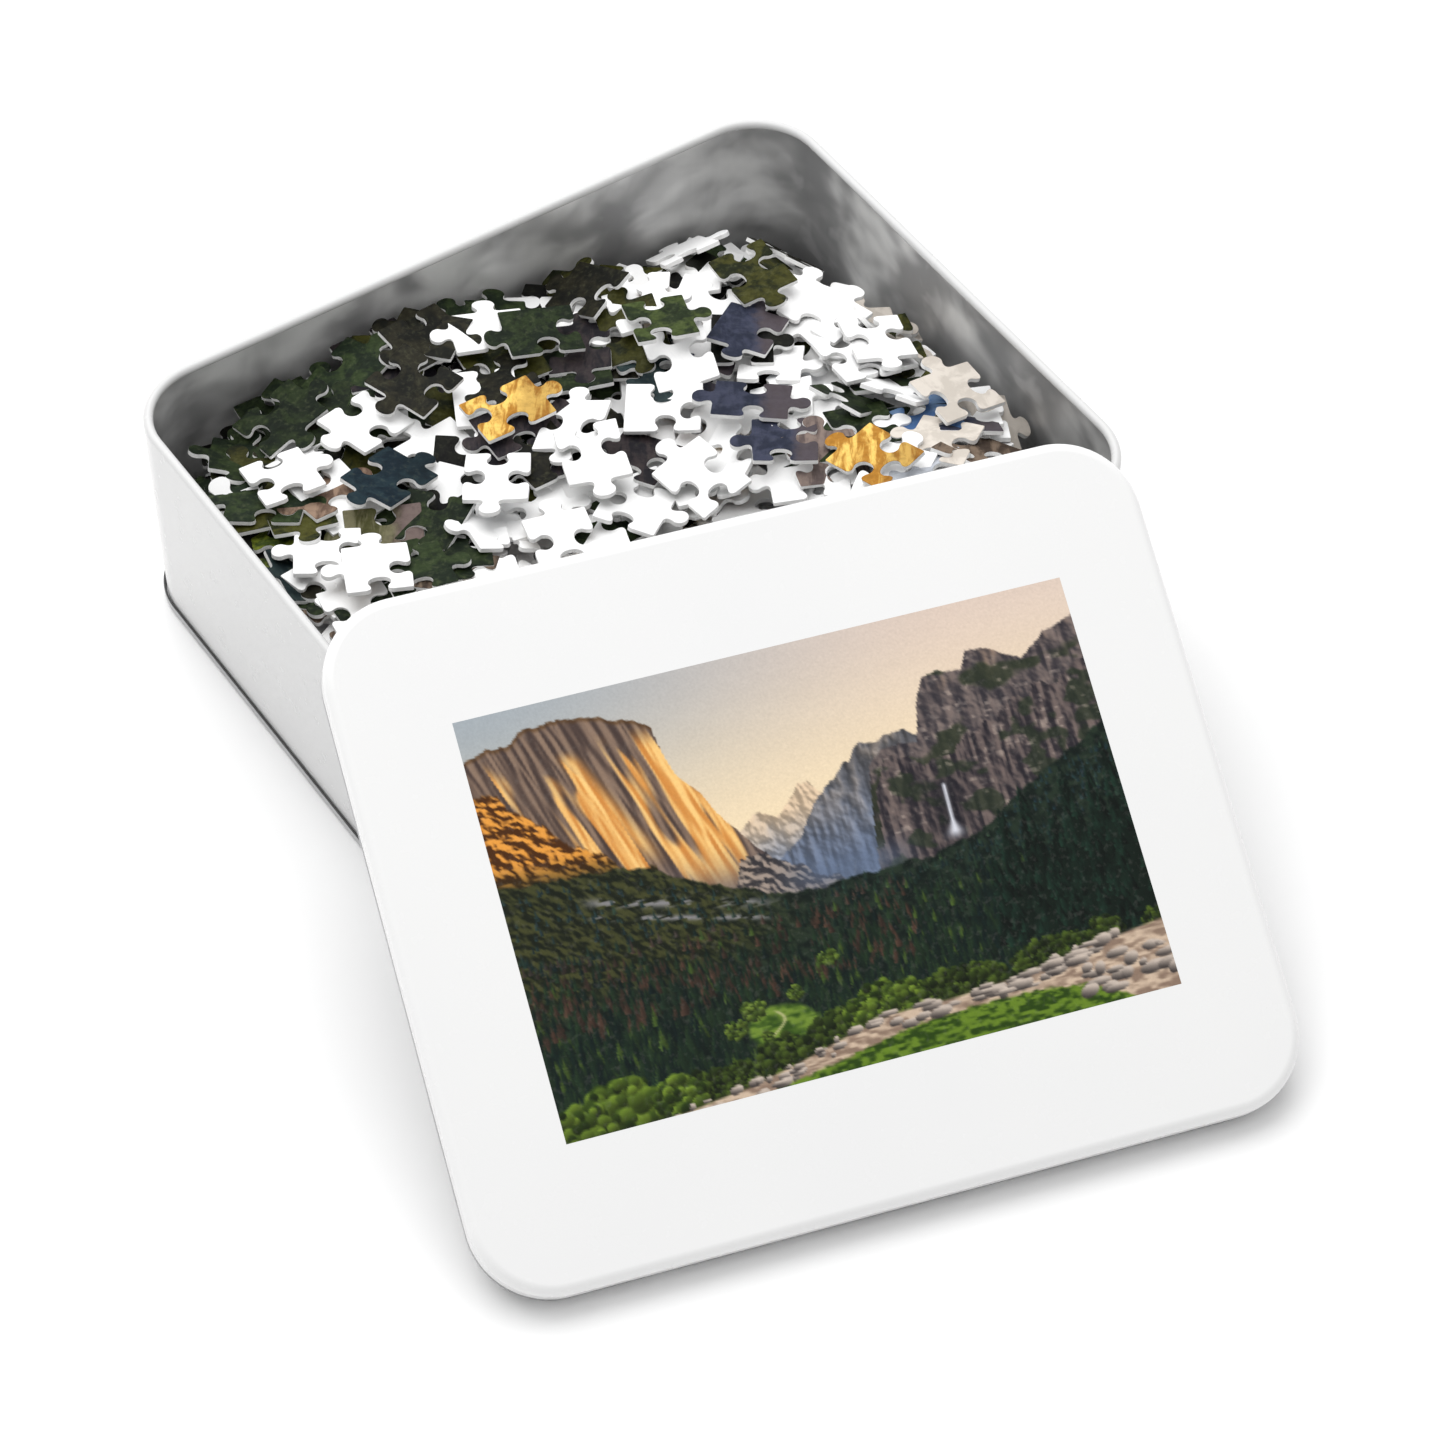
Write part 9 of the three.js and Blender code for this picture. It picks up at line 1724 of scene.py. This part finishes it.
def outline(code, jit, fine):
    hw, hh = LW / 2, LH / 2
    corner = np.array([(-hw, -hh), (hw, -hh), (hw, hh), (-hw, hh)])
    tab = TAB_FINE if fine else TAB[[0, 2, 3, 5, 6, 7, 8, 9, 10, 11, 12, 14, 15, 17]]
    pts = []
    for k in range(4):
        a, b = corner[k], corner[(k + 1) % 4]
        L = np.linalg.norm(b - a)
        t = (b - a) / L
        n = np.array([t[1], -t[0]])
        bow = 0.22 * math.sin(7.0 * jit[k] + k) if code[k] else 0.0
        # ease off each corner
        r = 0.42
        p0 = corner[k]
        tp = (corner[k] - corner[k - 1]) / np.linalg.norm(corner[k] - corner[k - 1])
        if fine:
            pts += [p0 - tp * r, p0 - tp * r * 0.25 + t * r * 0.25, p0 + t * r]
        else:
            pts.append(p0)
        side = []
        s = L / 2 + jit[k] * 1.1
        if code[k]:
            stretch = 1.0 + 0.05 * math.sin(11.0 * jit[k] + 2 * k)
            lean = 0.16 * math.sin(5.0 * jit[k] + 3 * k)
            for x, h in tab:
                side.append((s + x * stretch + lean * h * 0.5, h * code[k]))
        if fine:
            lead = [(u, 0.0) for u in np.linspace(1.6, (side[0][0] if side else L) - 1.4, 4)] if side else [(u, 0.0) for u in np.linspace(2, L - 2, 5)]
            tail_ = [(u, 0.0) for u in np.linspace(side[-1][0] + 1.4, L - 1.6, 4)] if side else []
            side = lead + side + tail_
        for x, h in side:
            bend = bow * math.sin(math.pi * min(max(x / L, 0), 1))
            pts.append(a + t * x + n * (h + bend))
    return np.array(pts)


INK = {
    "W": None,
    "G": ((30, 42, 28), (52, 66, 38), (34, 46, 30), 0.0, 0.0, 1.0),
    "K": ((26, 27, 22), (50, 48, 36), (26, 27, 22), 0.2, 0.0, 0.9),
    "D": ((38, 36, 42), (66, 58, 60), (38, 36, 42), 0.8, 0.0, 0.5),
    "B": ((24, 44, 57), (40, 62, 72), (30, 44, 44), 0.0, 0.3, 0.7),
    "N": ((98, 78, 66), (148, 124, 106), (120, 98, 84), 0.8, 0.0, 0.5),
    "M": ((80, 80, 46), (124, 120, 92), (122, 106, 102), 0.9, 1.0, 0.6),
    "m": ((98, 86, 84), (138, 122, 114), (90, 80, 78), 0.9, 0.0, 0.4),
    "H": ((70, 58, 50), (132, 114, 98), (84, 72, 62), 1.0, 0.2, 0.5),
    "C": ((32, 46, 50), (52, 68, 70), (40, 56, 60), 0.2, 0.0, 0.8),
    "Y": ((58, 72, 24), (120, 132, 44), (80, 92, 34), 0.0, 0.0, 1.0),
    "A": ((176, 122, 44), (244, 202, 108), (120, 80, 34), 1.0, 0.45, 0.5),
    "O": ((36, 42, 18), (76, 76, 30), (50, 56, 24), 0.0, 0.0, 1.0),
    "Q": ((40, 52, 30), (74, 88, 46), (50, 66, 38), 0.0, 0.0, 1.0),
    "S": ((42, 47, 64), (66, 70, 90), (92, 82, 84), 0.4, 0.75, 0.3),
    "X": ((10, 10, 10), (26, 27, 22), (14, 14, 14), 0.1, 0.0, 0.5),
    "L": ((70, 100, 144), (108, 136, 172), (84, 112, 156), 0.2, 0.0, 0.1),
    "E": ((198, 190, 180), (216, 208, 198), (206, 200, 192), 0.1, 0.0, 0.05),
    "R": ((168, 172, 178), (186, 190, 198), (176, 180, 188), 0.1, 0.0, 0.05),
}
UNDER = ["G", "K", "O", "B", "D", "E", "R", "L", "A", "N", "H", "Q"]
VIEW_RIGHT, VIEW_UP = np.array([0.8326, -0.5538]), np.array([0.5538, 0.8326])
rng = np.random.default_rng(11)


def ink_for(x, y, z):
    """which inks the loose pieces show, by where in the tin they lie"""
    q, r = rng.random(), rng.random()
    pick = lambda names: names[int(r * len(names)) % len(names)]
    if y > 8 and x < 12:                    # the dark drift along the back left
        return pick("GKGOXDGKOG") if q < 0.80 else "W"
    if x < -52:                             # front left corner
        return pick("GKOHGNXGB") if q < 0.66 else "W"
    if y > 30 and x >= 12:                  # back right
        return pick("XKGOXK") if q < 0.42 else "W"
    if x > 62:
        return pick("GOEKXO") if q < 0.34 else "W"
    return pick("KXGDOBH") if q < 0.20 else "W"


class Pile:
    """collects pieces into one mesh"""

    def __init__(self):
        self.v, self.f, self.m, self.a, self.b, self.c, self.k, self.l = [], [], [], [], [], [], [], []
        self.n = 0

    def add(self, row, fine, ink, under, seed, curl):
        cx, cy, cz, th, tx, ty = row[0:6]
        code, jit = row[6:10], row[10:14]
        o = outline(code, jit, fine)
        R = rz(th) @ rx(tx) @ ry(ty)
        c0 = np.array([cx, cy, cz])
        ph = seed * 2.399
        ax = np.array([math.cos(ph), math.sin(ph)])
        def sheet(o2, h):
            w = (o2 @ ax) / 12.0
            return np.column_stack([o2, h + curl * (w * w - 0.35)])
        if fine:
            d = np.roll(o, -1, 0) - np.roll(o, 1, 0)
            nn = np.column_stack([d[:, 1], -d[:, 0]])
            nn /= np.linalg.norm(nn, axis=1)[:, None] + 1e-9
            e = 0.11
            rings = [(o - nn * e, TH / 2), (o - nn * 0.02, TH / 2 - 0.10), (o, -TH / 2 + 0.06), (o - nn * 0.05, -TH / 2)]
        else:
            rings = [(o, TH / 2), (o, -TH / 2)]
        n = len(o)
        for o2, h in rings:
            self.v.append(sheet(o2, h) @ R.T + c0)
            w = o2 @ rz(th)[:2, :2].T
            self.l.append(np.column_stack([w @ VIEW_RIGHT, w @ VIEW_UP, np.full(n, seed * 7.3 + h)]))
        b = self.n
        self.f.append(tuple(b + k for k in range(n)))
        last = b + (len(rings) - 1) * n
        self.f.append(tuple(last + k for k in reversed(range(n))))
        self.m += [2 if ink != "W" else 0, 0 if ink != "W" else 2]
        for r in range(len(rings) - 1):
            i0, i1 = b + r * n, b + (r + 1) * n
            for k in range(n):
                k2 = (k + 1) % n
                self.f.append((i0 + k, i1 + k, i1 + k2, i0 + k2))
            top_ring = fine and r == 0
            self.m += [(2 if ink != "W" else 0) if top_ring else 1] * n
        col = INK[ink] if ink != "W" else INK[under]
        lum = (0.70 + 0.16 * math.sin(seed * 5.1)) if max(col[0]) < 90 else 1.0
        for store, k in ((self.a, 0), (self.b, 1), (self.c, 2)):
            store.append(np.tile(np.array(lin(*col[k])) * lum, (n * len(rings), 1)))
        self.k.append(np.tile(np.array(col[3:6], float), (n * len(rings), 1)))
        self.n += n * len(rings)

    def build(self, name):
        ob = mesh_object(name, np.vstack(self.v) * MM, self.f, [M_BOARD, M_EDGE, M_PRINT], self.m)
        me = ob.data
        for nm, store in (("pa", self.a), ("pb", self.b), ("pc", self.c), ("pk", self.k)):
            x = np.vstack(store)
            at = me.attributes.new(nm, "FLOAT_COLOR", "POINT")
            at.data.foreach_set("color", np.column_stack([x, np.ones(len(x))]).astype(np.float32).ravel())
        at = me.attributes.new("pl", "FLOAT_VECTOR", "POINT")
        at.data.foreach_set("vector", np.vstack(self.l).astype(np.float32).ravel())
        return ob


SLOT = {"white": "board_white"}
for k, row in enumerate(NODED):
    name, row = row[0], row[1:]
    ink = row[14]
    p = Pile()
    p.add(row, True, ink, UNDER[k % len(UNDER)], k + 1.0, 0.12 * math.sin(k * 1.7))
    ob = p.build(name + "_cut")
    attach(ob, name)
    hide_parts(name)

CHUNK = 170
first = None
seen = sorted(SEEN, key=lambda r: (r[0] > 0, r[0]))
chunks = [seen[i:i + CHUNK] for i in range(0, len(seen), CHUNK)]
tag = 0
heap_objects = []
for ci, rows in enumerate(chunks):
    p = Pile()
    for row in rows:
        tag += 1
        ink = row[14] or ink_for(*row[0:3])
        p.add(row, True, ink, UNDER[tag % len(UNDER)], 30.0 + tag, 0.25 * math.sin(tag * 2.3))
    heap_objects.append(p.build("loose_pieces_%d" % (ci + 1)))
p = Pile()
for row in DEEP:
    tag += 1
    ink = ink_for(*row[0:3])
    p.add(row, False, ink, UNDER[tag % len(UNDER)], 30.0 + tag, 0.0)
heap_objects.append(p.build("buried_pieces"))
for k, ob in enumerate(heap_objects):
    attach(ob, "tin")
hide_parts("jigsaw_heap")

# ---- floor and light -----------------------------------------------------------------
fl = Nodes("studio_floor")
fp = fl.coord()
fl.set(color=fl.mix(fl.remap(fl.noise(fp, 3.0, 2.0), 0.3, 0.7), (0.945, 0.945, 0.945, 1), (0.955, 0.955, 0.955, 1)), rough=0.9, spec=0.1)
floor = mesh_object("studio_floor", [(-6, -6, 0), (6, -6, 0), (6, 6, 0), (-6, 6, 0)], [(0, 1, 2, 3)], [fl.mat])
floor.location.z = -0.0002

world = bpy.data.worlds.new("studio")
world.use_nodes = True
scene.world = world
bg = world.node_tree.nodes["Background"]
bg.inputs[0].default_value = (1.0, 1.0, 1.0, 1.0)
bg.inputs[1].default_value = 0.68


def softbox(name, loc, target, size, power, tint=(1, 1, 1)):
    d = bpy.data.lights.new(name, "AREA")
    d.shape, d.size, d.size_y, d.energy, d.color = "RECTANGLE", size[0], size[1], power, tint
    ob = link(bpy.data.objects.new(name, d))
    ob.location = loc
    ob.rotation_euler = (Vector(target) - Vector(loc)).to_track_quat("-Z", "Y").to_euler()
    return ob


softbox("key", (0.02, 0.55, 1.25), (0.0, -0.02, 0.0), (1.8, 1.5), 20.0)

scene.view_settings.view_transform = "Standard"
scene.view_settings.look = "None"
scene.view_settings.exposure = 0.0
scene.view_settings.gamma = 1.0

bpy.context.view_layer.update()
